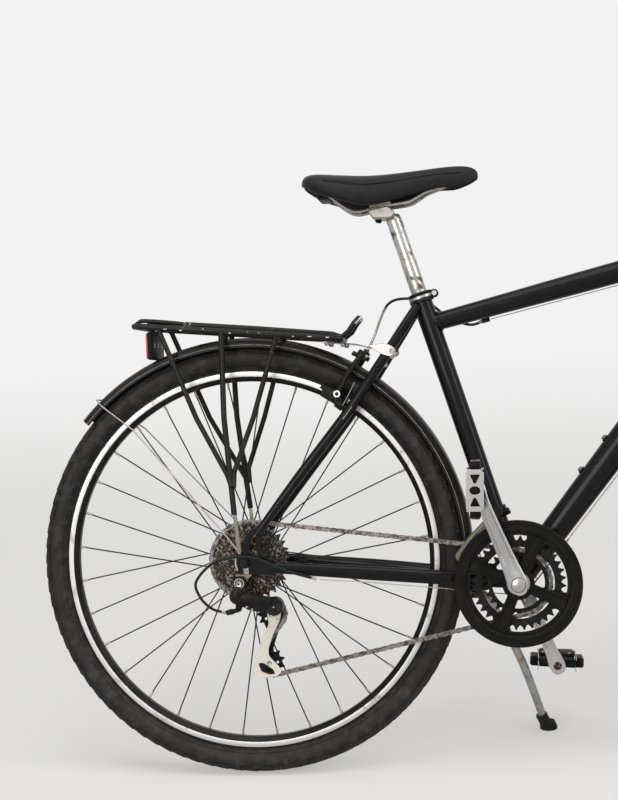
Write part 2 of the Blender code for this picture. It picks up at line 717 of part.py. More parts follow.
def add_arm(bm, side, angle):
    """Crank arm: flat-sided rings along its length, swinging outwards towards the pedal."""
    along_arm = Vector((math.cos(angle), 0.0, math.sin(angle)))
    across = Vector((-math.sin(angle), 0.0, math.cos(angle)))
    outward = PEDAL_EYE_Y - CRANK_FACE_Y + 0.003
    stations = ((-0.0190, 0.0050), (-0.0140, 0.0130), (0.0, 0.0190), (0.0170, 0.0165), (0.0400, 0.0130),
                (CRANK_LENGTH - 0.030, 0.0105), (CRANK_LENGTH, 0.0125), (CRANK_LENGTH + 0.0085, 0.0095),
                (CRANK_LENGTH + 0.0125, 0.0040))
    rings = []
    for along, half in stations:
        share = max(0.0, min(1.0, (along - 0.030) / (CRANK_LENGTH - 0.050)))
        inner = AXIS_Y * side * (0.070 + outward * share)
        outer = AXIS_Y * side * (CRANK_FACE_Y + outward * share)
        spot = along_arm * along
        rings.append([bm.verts.new(spot + corner) for corner in
                      (across * half + inner, across * half + outer, outer - across * half,
                       inner - across * half)])
    skin(bm, rings)


def spider_outline(angle):
    """Four short legs midway between the crank arm and its opposite."""
    outline = []
    for leg in range(4):
        middle = angle + math.radians(45 + 90 * leg)
        for radius, turn in ((0.0210, -45), (0.0500, -9), (0.0530, 0), (0.0500, 9)):
            outline.append(on_circle(radius, middle + math.radians(turn)))
    return outline


def make_crank(name, side, angle, parent):
    """A crank arm with its pedal spindle; the right one has the spider's four legs."""
    eye = on_circle(CRANK_LENGTH, angle)
    bm = bmesh.new()
    add_arm(bm, side, angle)
    crank = finish(name, bm, "silver", parent)
    spindle_start = side * (PEDAL_EYE_Y - 0.004)
    extras = [piece(add_cylinder, (eye[0], spindle_start, eye[1]),
                    (eye[0], side * (PEDAL_CENTRE_Y + PEDAL_WIDTH / 2 - 0.012), eye[1]), 0.0050, 10),
              piece(add_cylinder, (0, side * 0.056, 0), (0, side * 0.074, 0), 0.0170, 8)]
    if side < 0:
        middle = SMALL_RING_Y - 1.5 * RING_SPACING
        thick = RING_SPACING / 2 - RING_THICKNESS / 2 - GAP
        extras.append(piece(add_plate, spider_outline(angle), middle - thick, middle + thick))
        for leg in range(4):
            x, z = on_circle(SMALL_BOLT_RADIUS, angle + math.radians(45 + 90 * leg))
            extras.append(piece(add_cylinder, (x, middle, z),
                                (x, SMALL_RING_Y - RING_THICKNESS / 2 - GAP, z), 0.0036, 6))
    join(crank, *extras)
    cavity = [piece(add_cylinder, (0, side * 0.03, 0), (0, side * (CRANK_FACE_Y - 0.006), 0),
                    SPINDLE_RADIUS + GAP, 12)]
    return cut(crank, *cavity)


def make_guard(parent):
    """Chain guard: a ring with four double-rib arms and a hub, all one moulding."""
    near, far = -0.0660, -0.0610
    bm = bmesh.new()
    rim_inner = 0.083
    add_turned(bm, [(rim_inner, near), (GUARD_RADIUS, near), (GUARD_RADIUS, far), (rim_inner, far)], 24,
               True)
    guard = finish("chain_guard", bm, "black_plastic", parent)
    extras = [piece(add_turned, [(0.0185, near + 0.001), (0.0260, near + 0.001), (0.0260, far),
                                 (0.0185, far)],
                    10, True)]
    for arm in range(4):
        angle = CRANK_ANGLE + math.radians(45 + 90 * arm)
        for half in (-1, 1):
            foot = Matrix.Rotation(-angle - half * math.radians(9), 4, "Y")
            rib = [foot @ Vector((0.0235, 0, 0)), Matrix.Rotation(-angle - half * math.radians(5.5), 4, "Y")
                   @ Vector((0.086, 0, 0))]
            middle = AXIS_Y * (near + far + 0.001) / 2
            extras.append(piece(add_tube, [rib[0] + middle, rib[1] + middle], (0.0022, 0.0022), 4))
        x, z = on_circle((rim_inner + GUARD_RADIUS) / 2 - 0.004, angle)
        seat = SMALL_RING_Y - 2 * RING_SPACING - RING_THICKNESS / 2 - GAP
        extras.append(piece(add_cylinder, (x, (near + far) / 2, z), (x, seat, z), 0.0035, 6))
    return join(guard, *extras)


def make_crankset(bike):
    axis = pivot("crank_axis", BB, bike)
    make_crank("right_crank_arm", -1, CRANK_ANGLE, axis)
    left = make_crank("left_crank_arm", 1, CRANK_ANGLE + math.pi, axis)
    join(left, piece(add_cylinder, (0, 0.007 - CRANK_FACE_Y, 0), (0, CRANK_FACE_Y - 0.004, 0),
                     SPINDLE_RADIUS, 12))
    make_ring("small_chainring", SMALL_TEETH, SMALL_RING_Y, 0.034, axis, "steel")
    make_ring("middle_chainring", MIDDLE_TEETH, SMALL_RING_Y - RING_SPACING, 0.044, axis, "rusty_steel", False)
    make_ring("big_chainring", BIG_TEETH, SMALL_RING_Y - 2 * RING_SPACING, 0.044, axis, "black_metal")
    make_guard(axis)
    for name, side, angle, turn in (("right_pedal", -1, CRANK_ANGLE, math.radians(88)),
                                    ("left_pedal", 1, CRANK_ANGLE + math.pi, math.radians(-4))):
        x, z = on_circle(CRANK_LENGTH, angle)
        make_pedal(name, pivot(name + "_axis", BB + Vector((x, 0, z)), bike, turn), side)


def make_pedal(name, parent, side):
    """Pedal body with a caged plate in front and behind and a reflector on each."""
    half = PEDAL_WIDTH / 2
    middle = side * PEDAL_CENTRE_Y
    bm = bmesh.new()
    add_box(bm, (-0.0140, middle - half + 0.002, -0.0105), (0.0140, middle + half - 0.002, 0.0105))
    pedal = finish(name, bm, "black_plastic", parent)
    extras = []
    for end in (-1, 1):
        low, high = sorted((end * 0.0310, end * 0.0325))
        extras.append(piece(add_box, (low, middle - half, -0.0130), (high, middle + half, 0.0130)))
        bridge_low, bridge_high = sorted((end * 0.010, end * 0.0318))
        for rib in (-1, 1):
            y = middle + rib * (half - 0.0085)
            extras.append(piece(add_box, (bridge_low, y - 0.005, -0.0075),
                                (bridge_high, y + 0.005, 0.0075)))
        lens_low, lens_high = sorted((end * 0.0320, end * 0.0460))
        extras.append(piece(add_box, (lens_low, middle - 0.022, -0.0085),
                            (lens_high, middle + 0.022, 0.0085)))
    low, high = sorted((side * (PEDAL_CENTRE_Y + half - 0.0010), side * (PEDAL_CENTRE_Y + half + 0.0010)))
    extras.append(piece(add_box, (-0.0325, low, -0.0140), (0.0325, high, 0.0140)))
    join(pedal, *extras)
    return cut(pedal, piece(add_cylinder, (0, middle - side * (half + 0.01), 0),
                            (0, middle + side * (half - 0.0085), 0), 0.0050 + RUN_GAP, 10))


# Derailleurs


def make_rear_derailleur(bike):
    """Hanger bolt, linkage body and lower knuckle as one node, the cage as another."""
    bolt = Vector((-0.0088, 0.0, -0.0310))
    knuckle = Vector((0.052, 0.0, -0.073))
    outside = -DROPOUT_Y - DROPOUT_THICKNESS - GAP
    bm = bmesh.new()
    add_tube(bm, [bolt + AXIS_Y * (-DROPOUT_Y), bolt + AXIS_Y * (outside - 0.002)], 0.0048, 8)
    body = finish("rear_derailleur_body", bm, "black_metal", bike)
    extras = [
        piece(add_tube, [bolt + AXIS_Y * outside, bolt + AXIS_Y * (outside - 0.014)], 0.0115, 10),
        piece(add_tube, [bolt + AXIS_Y * (outside - 0.013), bolt + AXIS_Y * (outside - 0.0165)], 0.0060, 6),
        piece(add_tube, [bolt + Vector((0, outside - 0.007, 0)), Vector((-0.004, outside - 0.008, -0.056)),
                         Vector((0.014, outside - 0.006, -0.064))], [0.0072, 0.0090, 0.0085], 8),
        piece(add_tube, [Vector((0.004, outside - 0.006, -0.060)), knuckle + AXIS_Y * (-0.062)],
              [(0.0075, 0.0135), (0.0065, 0.0140)], 8),
        piece(add_tube, [knuckle + AXIS_Y * -0.047, knuckle + AXIS_Y * -0.072], 0.0150, 10),
        piece(add_tube, [Vector((-0.004, outside - 0.006, -0.060)),
                         Vector((-0.0206, outside - 0.006, -0.064))],
              0.0045, 6),
    ]
    join(body, *extras)
    guide = Vector((GUIDE_PULLEY[0], 0, GUIDE_PULLEY[1]))
    tension = Vector((TENSION_PULLEY[0], 0, TENSION_PULLEY[1]))
    outer_y, inner_y = LARGEST_COG_Y - 0.0080, LARGEST_COG_Y + 0.0062
    bm = bmesh.new()
    outline = [(0.060, -0.066), (0.064, -0.080), (0.053, -0.108), (0.043, -0.145), (0.044, -0.166),
               (0.052, -0.180), (0.040, -0.192), (0.010, -0.193), (0.004, -0.186), (0.007, -0.160),
               (0.026, -0.115), (0.030, -0.095), (0.022, -0.080), (0.036, -0.066)]
    add_plate(bm, outline, outer_y - 0.0018, outer_y)
    cage = finish("rear_derailleur_cage", bm, "pale_plastic", bike)
    inner = [(0.038, -0.072), (0.041, -0.090), (0.036, -0.130), (0.036, -0.172), (0.028, -0.183),
             (0.016, -0.176), (0.018, -0.130), (0.021, -0.086), (0.026, -0.074)]
    join(cage, piece(add_plate, inner, inner_y, inner_y + 0.0015),
         piece(add_tube, [knuckle + AXIS_Y * (outer_y - 0.0005), knuckle + AXIS_Y * (-0.047 + GAP)],
               0.0120, 8),
         *[piece(add_tube, [spot + AXIS_Y * (outer_y - 0.0040), spot + AXIS_Y * (inner_y + 0.0025)],
                 0.0032, 6)
           for spot in (guide, tension)])
    for name, spot in (("guide_pulley", guide), ("tension_pulley", tension)):
        axis = pivot(name + "_axis", spot, bike)
        bm = bmesh.new()
        add_sprocket(bm, PULLEY_TEETH, LARGEST_COG_Y, 0.0022)
        pulley = finish(name, bm, "black_plastic", axis)
        join(pulley, piece(add_cylinder, (0, outer_y + 0.0006, 0), (0, inner_y - 0.0006, 0), 0.0080, 8))
        cut(pulley, piece(add_cylinder, (0, -0.1, 0), (0, 0.1, 0), 0.0032 + RUN_GAP, 8))


def make_front_derailleur(bike):
    """Band clamp round the seat tube, link arm and the cage round the chain."""
    low, high = 0.108, 0.124
    bm = bmesh.new()
    add_tube(bm, [seat_tube_point(low), seat_tube_point(high)], SEAT_TUBE_RADIUS + 0.0042, 12)
    changer = finish("front_derailleur", bm, "silver", bike)
    middle = seat_tube_point(0.116)
    cage_y = (SMALL_RING_Y + LARGEST_COG_Y) / 2 - 0.0055
    top = Vector((0.396, 0, 0.060))
    tail = Vector((0.343, 0, -0.004))
    nose = Vector((0.410, 0, 0.048))
    outline = [(top.x, top.z), (nose.x, nose.z), (nose.x - 0.020, nose.z - 0.016),
               (tail.x + 0.024, tail.z + 0.004), (tail.x + 0.006, tail.z - 0.008),
               (tail.x - 0.003, tail.z + 0.002), (tail.x + 0.022, tail.z + 0.034)]
    outer_y, inner_y = cage_y - 0.0090, cage_y + 0.0075
    join(changer,
         piece(add_plate, outline, outer_y - 0.0012, outer_y),
         piece(add_plate, outline, inner_y, inner_y + 0.0012),
         piece(add_box, (top.x - 0.006, outer_y - 0.0006, top.z - 0.008),
               (top.x + 0.008, inner_y + 0.0006, top.z - 0.004)),
         piece(add_tube, [(0.402, inner_y + 0.0004, 0.0497), middle + Vector((0.0040, -0.0150, -0.0040))],
               [0.0048, 0.0061], 6),
         piece(add_tube, [middle + Vector((0.011, -0.0117, -0.0031)),
                          middle + Vector((0.024, -0.014, 0.004))],
               0.0060, 8))
    return cut(changer, piece(add_tube, [seat_tube_point(low - 0.012), seat_tube_point(high + 0.012)],
                              SEAT_TUBE_RADIUS + GAP + 0.0006, 12))


# Seat


def on_post(point):
    """A bike point in the seat post's own coordinates."""
    return Vector(point) - SEAT_TOP


def make_seat(bike):
    top = SEAT_TUBE_LENGTH + POST_SHOWING
    head = seat_tube_point(top)
    axis = pivot("seat_post_axis", SEAT_TOP, bike)
    bm = bmesh.new()
    add_tube(bm, [on_post(seat_tube_point(SEAT_TUBE_LENGTH - 0.190)), on_post(head)], POST_RADIUS - 0.0002,
             12)
    post = finish("seat_post", bm, "silver", axis)
    rail_z = head.z + 0.0170
    cradle = head + Vector((-0.004, 0, 0.006))
    join(post, piece(add_box, on_post(cradle + Vector((-0.022, -0.0280, -0.006))),
                     on_post(Vector((cradle.x + 0.022, 0.0280, rail_z - 0.0035 - GAP)))),
         piece(add_box, on_post((cradle.x - 0.019, -0.0130, rail_z - 0.005)),
               on_post((cradle.x + 0.019, 0.0130, rail_z + 0.0090))),
         piece(add_tube, [on_post(cradle + Vector((-0.010, 0, -0.004))),
                          on_post(cradle + Vector((-0.014, 0, -0.020)))],
               0.0060, 8))
    rail = []
    for side in (-1, 1):
        run = [(SADDLE_REAR_X + 0.048, side * 0.030, SADDLE_TOP_Z - 0.0372),
               (SADDLE_REAR_X + 0.070, side * 0.026, rail_z + 0.002),
               (head.x - 0.040, side * 0.0210, rail_z),
               (head.x + 0.030, side * 0.0210, rail_z), (SADDLE_REAR_X + 0.212, side * 0.0165,
                                                         rail_z + 0.012),
               (SADDLE_REAR_X + 0.240, side * 0.0078, SADDLE_TOP_Z - 0.0238)]
        rail.append([on_post(point) for point in run])
    bm = bmesh.new()
    add_tube(bm, rail[0] + list(reversed(rail[1])), 0.0035, 6)
    finish("saddle_rails", bm, "silver", axis)
    make_saddle(axis)


def make_saddle(parent):
    """Cushion with a raised crown, drawn-in sides and a narrow nose, on stations along its length."""
    stations = ((0.000, 0.052, 0.020, 0.026, 0.008), (0.030, 0.071, 0.010, 0.042, 0.004),
                (0.075, SADDLE_WIDTH / 2, 0.004, 0.058, 0.002), (0.120, 0.074, 0.001, 0.052, 0.0),
                (0.160, 0.045, 0.002, 0.040, 0.0), (0.200, 0.029, 0.002, 0.032, 0.0),
                (0.245, 0.022, 0.001, 0.028, 0.0), (0.275, 0.0175, 0.004, 0.026, 0.0),
                (SADDLE_LENGTH, 0.0100, 0.014, 0.022, 0.0))
    bm = bmesh.new()
    rings = []
    for along, half, drop, wing, sag in stations:
        x = SADDLE_REAR_X + along
        top = SADDLE_TOP_Z - drop
        shape = [(0.0, top - sag), (half * 0.35, top), (half * 0.70, top - wing * 0.12),
                 (half * 0.93, top - wing * 0.40), (half, top - wing * 0.72), (half * 0.94, top - wing),
                 (half * 0.72, top - wing * 0.98), (half * 0.40, top - min(wing * 0.62, 0.026))]
        mirrored = [(-y, z) for y, z in reversed(shape[1:])]
        verts = shape + [(0.0, top - min(wing * 0.58, 0.024))] + mirrored
        rings.append([bm.verts.new(on_post((x, y, z))) for y, z in verts])
    skin(bm, rings)
    return finish("saddle", bm, "saddle_cover", parent)


# Stand, rack and fenders


def make_kickstand(bike):
    foot_ground = Vector((FOOT_X, FOOT_Y, FOOT_Y * math.tan(LEAN) - AXLE_HEIGHT / math.cos(LEAN)))
    leg = (foot_ground - STAND_PIVOT).normalized()
    axis = pivot("kickstand_axis", STAND_PIVOT, bike)
    end = foot_ground - STAND_PIVOT
    bend = Vector((0.004, 0.006, -0.030))
    bm = bmesh.new()
    add_tube(bm, [STAND_AXIS * -0.0075, STAND_AXIS * 0.0120], 0.0120, 10)
    made = finish("kickstand_leg", bm, "silver", axis)
    sleeve_start = end - leg * 0.034
    join(made, piece(add_tube, [Vector((0.0, 0.003, 0.0)), bend, end - leg * 0.018],
                     [0.0085, 0.0080, 0.0070], 10))
    ground = Vector((0.0, -math.sin(LEAN), math.cos(LEAN)))
    bm = bmesh.new()
    add_tube(bm, [sleeve_start, end - leg * 0.012], 0.0105, 12)
    foot = finish("kickstand_foot", bm, "rubber", axis)
    join(foot, piece(add_foot_pad, end, ground))
    bore_start = sleeve_start - leg * 0.01
    return cut(foot, piece(add_tube, [bore_start, end - leg * (0.018 - GAP)], 0.0078 + GAP, 10))


def add_foot_pad(bm, end, ground):
    """Wide pad under the sleeve, flat along the ground plane of the leaning bike."""
    along_x = Vector((1.0, 0.0, 0.0))
    sideways = ground.cross(along_x)
    rings = []
    for height, half_x, half_y in ((0.0, 0.0150, 0.0120), (0.006, 0.0155, 0.0125), (0.016, 0.0110, 0.0105)):
        ring = []
        for step in range(8):
            angle = 2 * math.pi * step / 8
            ring.append(bm.verts.new(end + ground * height + along_x * (half_x * math.cos(angle))
                                     + sideways * (half_y * math.sin(angle))))
        rings.append(ring)
    skin(bm, rings)


def rack_point(share, y=0.0, rise=0.0):
    return RACK_REAR.lerp(RACK_FRONT, share) + Vector((0.0, y, rise))


def make_rack(bike):
    """Platform loop, cross bars and three legs a side, welded."""
    half = RACK_HALF_WIDTH
    loop = [rack_point(0.03, -half), rack_point(0.30, -half), rack_point(0.70, -half),
            rack_point(0.96, -half * 0.92),
            rack_point(1.0, -half * 0.70), rack_point(1.0, half * 0.70), rack_point(0.96, half * 0.92),
            rack_point(0.70, half), rack_point(0.30, half), rack_point(0.03, half),
            rack_point(0.0, half * 0.80), rack_point(0.0, -half * 0.80)]
    bm = bmesh.new()
    add_tube(bm, loop, RACK_TUBE_RADIUS, 6, closed=True)
    rack = finish("rack", bm, "black_paint", bike)
    extras = []
    for share in (REAR_BAR_SHARE, 0.42, 0.72):
        bar = [rack_point(share, -half), rack_point(share, half)]
        extras.append(piece(add_tube, bar, RACK_BAR_RADIUS, 5))
    extras.append(piece(add_tube, [rack_point(0.0, 0.0, -0.001), rack_point(0.5, 0.0, -0.001),
                                   rack_point(1.0, 0.0, -0.001)], (0.014, 0.0030), 4))
    outside = DROPOUT_Y + DROPOUT_THICKNESS + GAP
    for side in (-1, 1):
        foot = Vector((-0.006, side * (outside + 0.0015), 0.020))
        knee = Vector((-0.0135, side * (outside + 0.0040), 0.080))
        extras.append(piece(add_tube, [rack_point(0.43, side * half),
                                       Vector((-0.0270, side * 0.0600, 0.240)), knee],
                            0.0050, 5))
        extras.append(piece(add_tube, [rack_point(0.12, side * half),
                                       Vector((-0.0740, side * 0.0560, 0.2400)),
                                       Vector((-0.0240, side * 0.0670, 0.145)),
                                       knee + Vector((-0.002, 0, 0.045))],
                            0.0045, 5))
        extras.append(piece(add_tube, [rack_point(0.70, side * half),
                                       Vector((0.0215, side * 0.0580, 0.237)),
                                       Vector((-0.0120, side * 0.0690, 0.150)),
                                       knee + Vector((0.001, 0, 0.045))],
                            0.0045, 5))
        low, high = sorted((side * outside, side * (outside + 0.0030)))
        extras.append(piece(add_plate, [(-0.0140, 0.020), (-0.0115, 0.0115), (-0.0025, 0.0115),
                                        (0.0010, 0.020),
                                        (-0.0080, 0.090), (-0.0190, 0.090)], low, high))
    return join(rack, *extras)


def make_rack_struts(bike):
    """Flat strips from under the rack's front to a band round each seat stay, with a cross plate."""
    strip, thin = 0.0060, 0.0010
    start = rack_point(0.93, 0.0, -RACK_TUBE_RADIUS - thin - GAP)
    bm = bmesh.new()
    add_box(bm, start + Vector((-0.008, -0.036, -thin)), start + Vector((0.008, 0.036, thin * 0.9)))
    struts = finish("rack_struts", bm, "silver", bike)
    extras = []
    for side in (-1, 1):
        clamp = seatstay_at(0.336, side)
        direction = (seatstay_at(0.346, side) - seatstay_at(0.326, side)).normalized()
        band = [clamp - direction * 0.007, clamp + direction * 0.007]
        inner = clamp + Vector((-0.0070, 0.0, 0.003))
        extras.append(piece(add_tube, [start + Vector((0, side * 0.031, 0)),
                                       start + Vector((0.050, side * 0.032, -0.006)),
                                       inner + Vector((-0.004, 0, 0))], (strip, thin), 4))
        extras.append(piece(add_tube, band, 0.0116, 8))
    join(struts, *extras)
    bores = []
    for side in (-1, 1):
        direction = (seatstay_at(0.346, side) - seatstay_at(0.326, side)).normalized()
        clamp = seatstay_at(0.336, side)
        bores.append(piece(add_tube, [clamp - direction * 0.02, clamp + direction * 0.02], 0.0097, 8))
    return cut(struts, *bores)


def seatstay_at(height, side):
    route = [Vector(point) for point in seatstay_route(side)]
    for upper, lower in zip(route, route[1:]):
        if lower.z <= height <= upper.z:
            return upper.lerp(lower, (upper.z - height) / (upper.z - lower.z))
    return route[0]


def add_fender(bm, start_angle, end_angle, steps):
    """Thin curved guard: an arched section swept round the wheel from start to end angle."""
    half = FENDER_WIDTH / 2
    base = FENDER_RADIUS - FENDER_DEPTH
    outer = [(base, half), (FENDER_RADIUS - 0.0022, half * 0.70), (FENDER_RADIUS, 0.0)]
    inner = [(base, half - FENDER_WALL), (FENDER_RADIUS - 0.0022 - FENDER_WALL, half * 0.70 - FENDER_WALL),
             (FENDER_RADIUS - FENDER_WALL, 0.0)]
    section = outer + [(r, -y) for r, y in reversed(outer[:-1])]
    section += [(r, -y) for r, y in inner[:-1]] + list(reversed(inner))
    rings = []
    for step in range(steps + 1):
        angle = start_angle + (end_angle - start_angle) * step / steps
        rings.append([bm.verts.new((radius * math.cos(angle), y, radius * math.sin(angle))) for radius,
                      y in section])
    skin(bm, rings)


def make_rear_fender(bike):
    bm = bmesh.new()
    add_fender(bm, REAR_FENDER_START, REAR_FENDER_END, 13)
    fender = finish("rear_fender", bm, "black_plastic", bike)
    rack_tab = rack_point(0.42)
    bridge = STAY_BRIDGE
    toward = bridge.normalized()
    return join(fender,
                piece(add_box, (rack_tab.x - 0.006, -0.008, FENDER_RADIUS - 0.0035),
                      (rack_tab.x + 0.006, 0.008, rack_tab.z - 0.0043)),
                piece(add_tube, [toward * (FENDER_RADIUS - 0.0026), bridge - toward * (0.007 + GAP)],
                      0.0050, 8),
                piece(add_tube, [(FENDER_RADIUS - 0.001, 0, 0.002), (0.3810, 0, 0.0), (0.3850, 0, -0.0345)],
                      (0.006, 0.0012), 4))


def make_rear_fender_stay(bike):
    """One wire: up from each dropout, bent at the fender's edge and across over its top."""
    outside = DROPOUT_Y + DROPOUT_THICKNESS + 0.0034 + GAP
    angle = math.radians(132.0)
    edge_y = FENDER_WIDTH / 2 + 0.0022
    over = FENDER_RADIUS + 0.0024
    points = []
    for side in (-1, 1):
        arm = [(-0.0065, side * (outside + 0.0018), 0.016), (-0.0250, side * (outside + 0.0018), 0.042),
               (-0.1850, side * 0.0440, 0.2250),
               ((FENDER_RADIUS - 0.012) * math.cos(angle), side * (edge_y + 0.002),
                (FENDER_RADIUS - 0.012) * math.sin(angle)),
               (over * math.cos(angle), side * (edge_y - 0.003), over * math.sin(angle))]
        points.append([Vector(point) for point in arm])
    bm = bmesh.new()
    add_tube(bm, points[0] + list(reversed(points[1])), 0.0017, 6)
    return finish("rear_fender_stay", bm, "silver", bike)


def make_reflector(bike):
    """Reflector hanging by its tab from the rack's rearmost cross bar."""
    bar = rack_point(REAR_BAR_SHARE)
    top = bar.z - RACK_BAR_RADIUS - GAP
    bm = bmesh.new()
    add_box(bm, (bar.x - 0.0065, -0.042, bar.z - 0.0545), (bar.x + 0.0065, 0.042, bar.z - 0.0075))
    lens = finish("rear_reflector", bm, "red_lens", bike)
    return join(lens, piece(add_box, (bar.x - 0.004, -0.010, bar.z - 0.020), (bar.x + 0.004, 0.010, top)))


def make_rack_clip(bike):
    """Sprung frame on the platform, hinged near the rear, with a raised front lip."""
    rise = RACK_BAR_RADIUS + CLIP_RADIUS + GAP
    hinge = rack_point(0.26, 0.0, rise)
    axis = pivot("rack_clip_axis", hinge, bike)
    arm = []
    for side in (-1, 1):
        arm.append([rack_point(0.26, side * 0.030, rise) - hinge,
                    rack_point(0.60, side * 0.032, rise) - hinge,
                    rack_point(0.97, side * 0.026, rise) - hinge,
                    rack_point(1.035, side * 0.022, rise + 0.010) - hinge,
                    rack_point(1.085, side * 0.018, rise + 0.026) - hinge])
    bm = bmesh.new()
    add_tube(bm, arm[0] + list(reversed(arm[1])), CLIP_RADIUS, 5)
    clip = finish("rack_spring_clip", bm, "black_paint", axis)
    return join(clip, piece(add_tube, [(0, -0.0421, 0), (0, 0.0421, 0)], CLIP_RADIUS, 6))


# Fork, front wheel and handlebar; their coordinates run along the steering axis


def make_fork(steering):
    """Steerer, crown and the two sliding tubes, pressed together."""
    bm = bmesh.new()
    add_cylinder(bm, (0, 0, -0.010), (0, 0, HEAD_TOP + 0.060), STEERER_RADIUS, 10)
    fork = finish("fork_crown", bm, "black_metal", steering)
    half = LEG_SPACING / 2
    parts = [piece(add_tube, [(0, -half - 0.017, -CROWN_DEPTH / 2 - 0.002),
                              (0, -half, -CROWN_DEPTH / 2 - 0.001),
                              (0, 0, -CROWN_DEPTH / 2), (0, half, -CROWN_DEPTH / 2 - 0.001),
                              (0, half + 0.017, -CROWN_DEPTH / 2 - 0.002)],
                   [(0.0130, 0.0095), (0.0165, 0.0120), (0.0165, 0.0125), (0.0165, 0.0120),
                    (0.0130, 0.0095)], 8),
             piece(add_cylinder, (0, 0, -0.004), (0, 0, HEAD_BOTTOM - GAP), 0.0200, 10)]
    for side in (-1, 1):
        parts.append(piece(add_cylinder, (0, side * half, -0.012), (0, side * half, -0.360),
                           STANCHION_RADIUS, 10))
    return join(fork, *parts)


def make_lowers(lowers):
    """Both lower legs with their arch, dropouts and brake bosses, one casting."""
    half = LEG_SPACING / 2
    bm = bmesh.new()
    right_half = [(0.0165, -half, LOWERS_TOP - 0.012), (0.0230, -0.0600, LOWERS_TOP + 0.010),
                  (0.0230, -0.0540, -0.1140), (ARCH_X, -0.0300, ARCH_Z)]
    left_half = [(x, -y, z) for x, y, z in reversed(right_half)]
    add_tube(bm, right_half + left_half, 0.0070, 6)
    casting = finish("fork_lowers", bm, "black_paint", lowers)
    parts = []
    bores = []
    plate = FRONT_HUB_WIDTH / 2
    axle_z = FRONT_AXLE_LOCAL.z
    for side in (-1, 1):
        y = side * half
        parts.append(piece(add_tube, [(0, y, LOWERS_TOP), (0, y, -0.300), (0.004, y, axle_z + 0.030)],
                           [LOWER_RADIUS, LOWER_RADIUS, LOWER_RADIUS * 0.86], 10))
        low, high = sorted((side * plate, side * (plate + 0.008)))
        parts.append(piece(add_plate, [(-0.006, axle_z + 0.060), (0.020, axle_z + 0.070),
                                       (0.040, axle_z + 0.018),
                                       (FORK_RAKE + 0.013, axle_z + 0.006),
                                       (FORK_RAKE + 0.011, axle_z - 0.014),
                                       (FORK_RAKE - 0.011, axle_z - 0.014),
                                       (FORK_RAKE - 0.018, axle_z + 0.004),
                                       (-0.008, axle_z + 0.022)], low, high))
        boss = Vector((FRONT_BOSS.x, side * FRONT_BOSS.y, FRONT_BOSS.z))
        parts.append(piece(add_tube, [boss, boss + Vector((0.024, 0, 0))], 0.0085, 8))
        parts.append(piece(add_tube, [boss, boss + Vector((0.041, 0, 0))], BOSS_RADIUS, 8))
        bores.append(piece(add_cylinder, (0, y, -0.050), (0, y, -0.425), STANCHION_RADIUS + GAP, 10))
    join(casting, *parts)
    bores.append(piece(add_cylinder, (FORK_RAKE, -0.1, axle_z), (FORK_RAKE, 0.1, axle_z),
                       AXLE_RADIUS + GAP, 12))
    bores.append(piece(add_box, (FORK_RAKE - AXLE_RADIUS - GAP, -0.1, axle_z - 0.030),
                       (FORK_RAKE + AXLE_RADIUS + GAP, 0.1, axle_z)))
    return cut(casting, *bores)


def make_front_axle(lowers):
    outside = FRONT_HUB_WIDTH / 2 + 0.008 + GAP
    x, z = FORK_RAKE, FRONT_AXLE_LOCAL.z
    bm = bmesh.new()
    add_cylinder(bm, (x, -outside - 0.012, z), (x, outside + 0.012, z), AXLE_RADIUS, 8)
    axle = finish("front_axle", bm, "steel", lowers)
    return join(axle, *[piece(add_cylinder, (x, side * outside, z), (x, side * (outside + 0.0085), z),
                              0.0085, 6)
                        for side in (-1, 1)])


def make_front_fender(lowers):
    """Guard with its two wire stays, tied to the arch by a small tab."""
    centre = pivot("front_fender_centre", FRONT_AXLE_LOCAL, lowers)
    start, end = math.radians(33), math.radians(186)
    bm = bmesh.new()
    add_fender(bm, start, end, 14)
    fender = finish("front_fender", bm, "black_plastic", centre)
    angle = math.radians(172)
    x, z = on_circle(FENDER_RADIUS - 0.0075, angle)
    half = FRONT_HUB_WIDTH / 2
    arch_x = ARCH_X - FORK_RAKE
    arch_z = ARCH_Z + FORK_REACH
    tab_low = FENDER_RADIUS - 0.0030
    parts = [piece(add_box, (arch_x - 0.006, -0.010, tab_low - 0.0006),
                   (arch_x + 0.006, 0.010, arch_z - 0.0070 - GAP))]
    for side in (-1, 1):
        parts.append(piece(add_tube, [(-0.013, side * (half + 0.0080 + 0.0020 + GAP), 0.013),
                                      (-0.060, side * (half + 0.0125), 0.018),
                                      (x + 0.060, side * 0.0400, z - 0.006),
                                      (x, side * (FENDER_WIDTH / 2 - 0.0003), z)],
                           0.0022, 4))
    return join(fender, *parts)


def make_front_wheel(lowers):
    axis = pivot("front_wheel_axis", FRONT_AXLE_LOCAL, lowers)
    make_tyre("front_tyre", axis)
    make_rim("front_rim", axis)
    end = FRONT_HUB_WIDTH / 2 - 0.0008
    make_hub("front_hub_and_spokes", axis, 0.034, -0.034, end, -end, AXLE_RADIUS + RUN_GAP)


def bar_point(y):
    """Centre of the bar at a distance from the middle, in steering coordinates."""
    reach = abs(y)
    rising = max(0.0, min(1.0, (reach - 0.040) / 0.070))
    sweep = max(0.0, reach - 0.110) * math.tan(math.radians(8))
    return Vector((STEM_LENGTH - sweep, y, BAR_HEIGHT + BAR_RISE * rising))


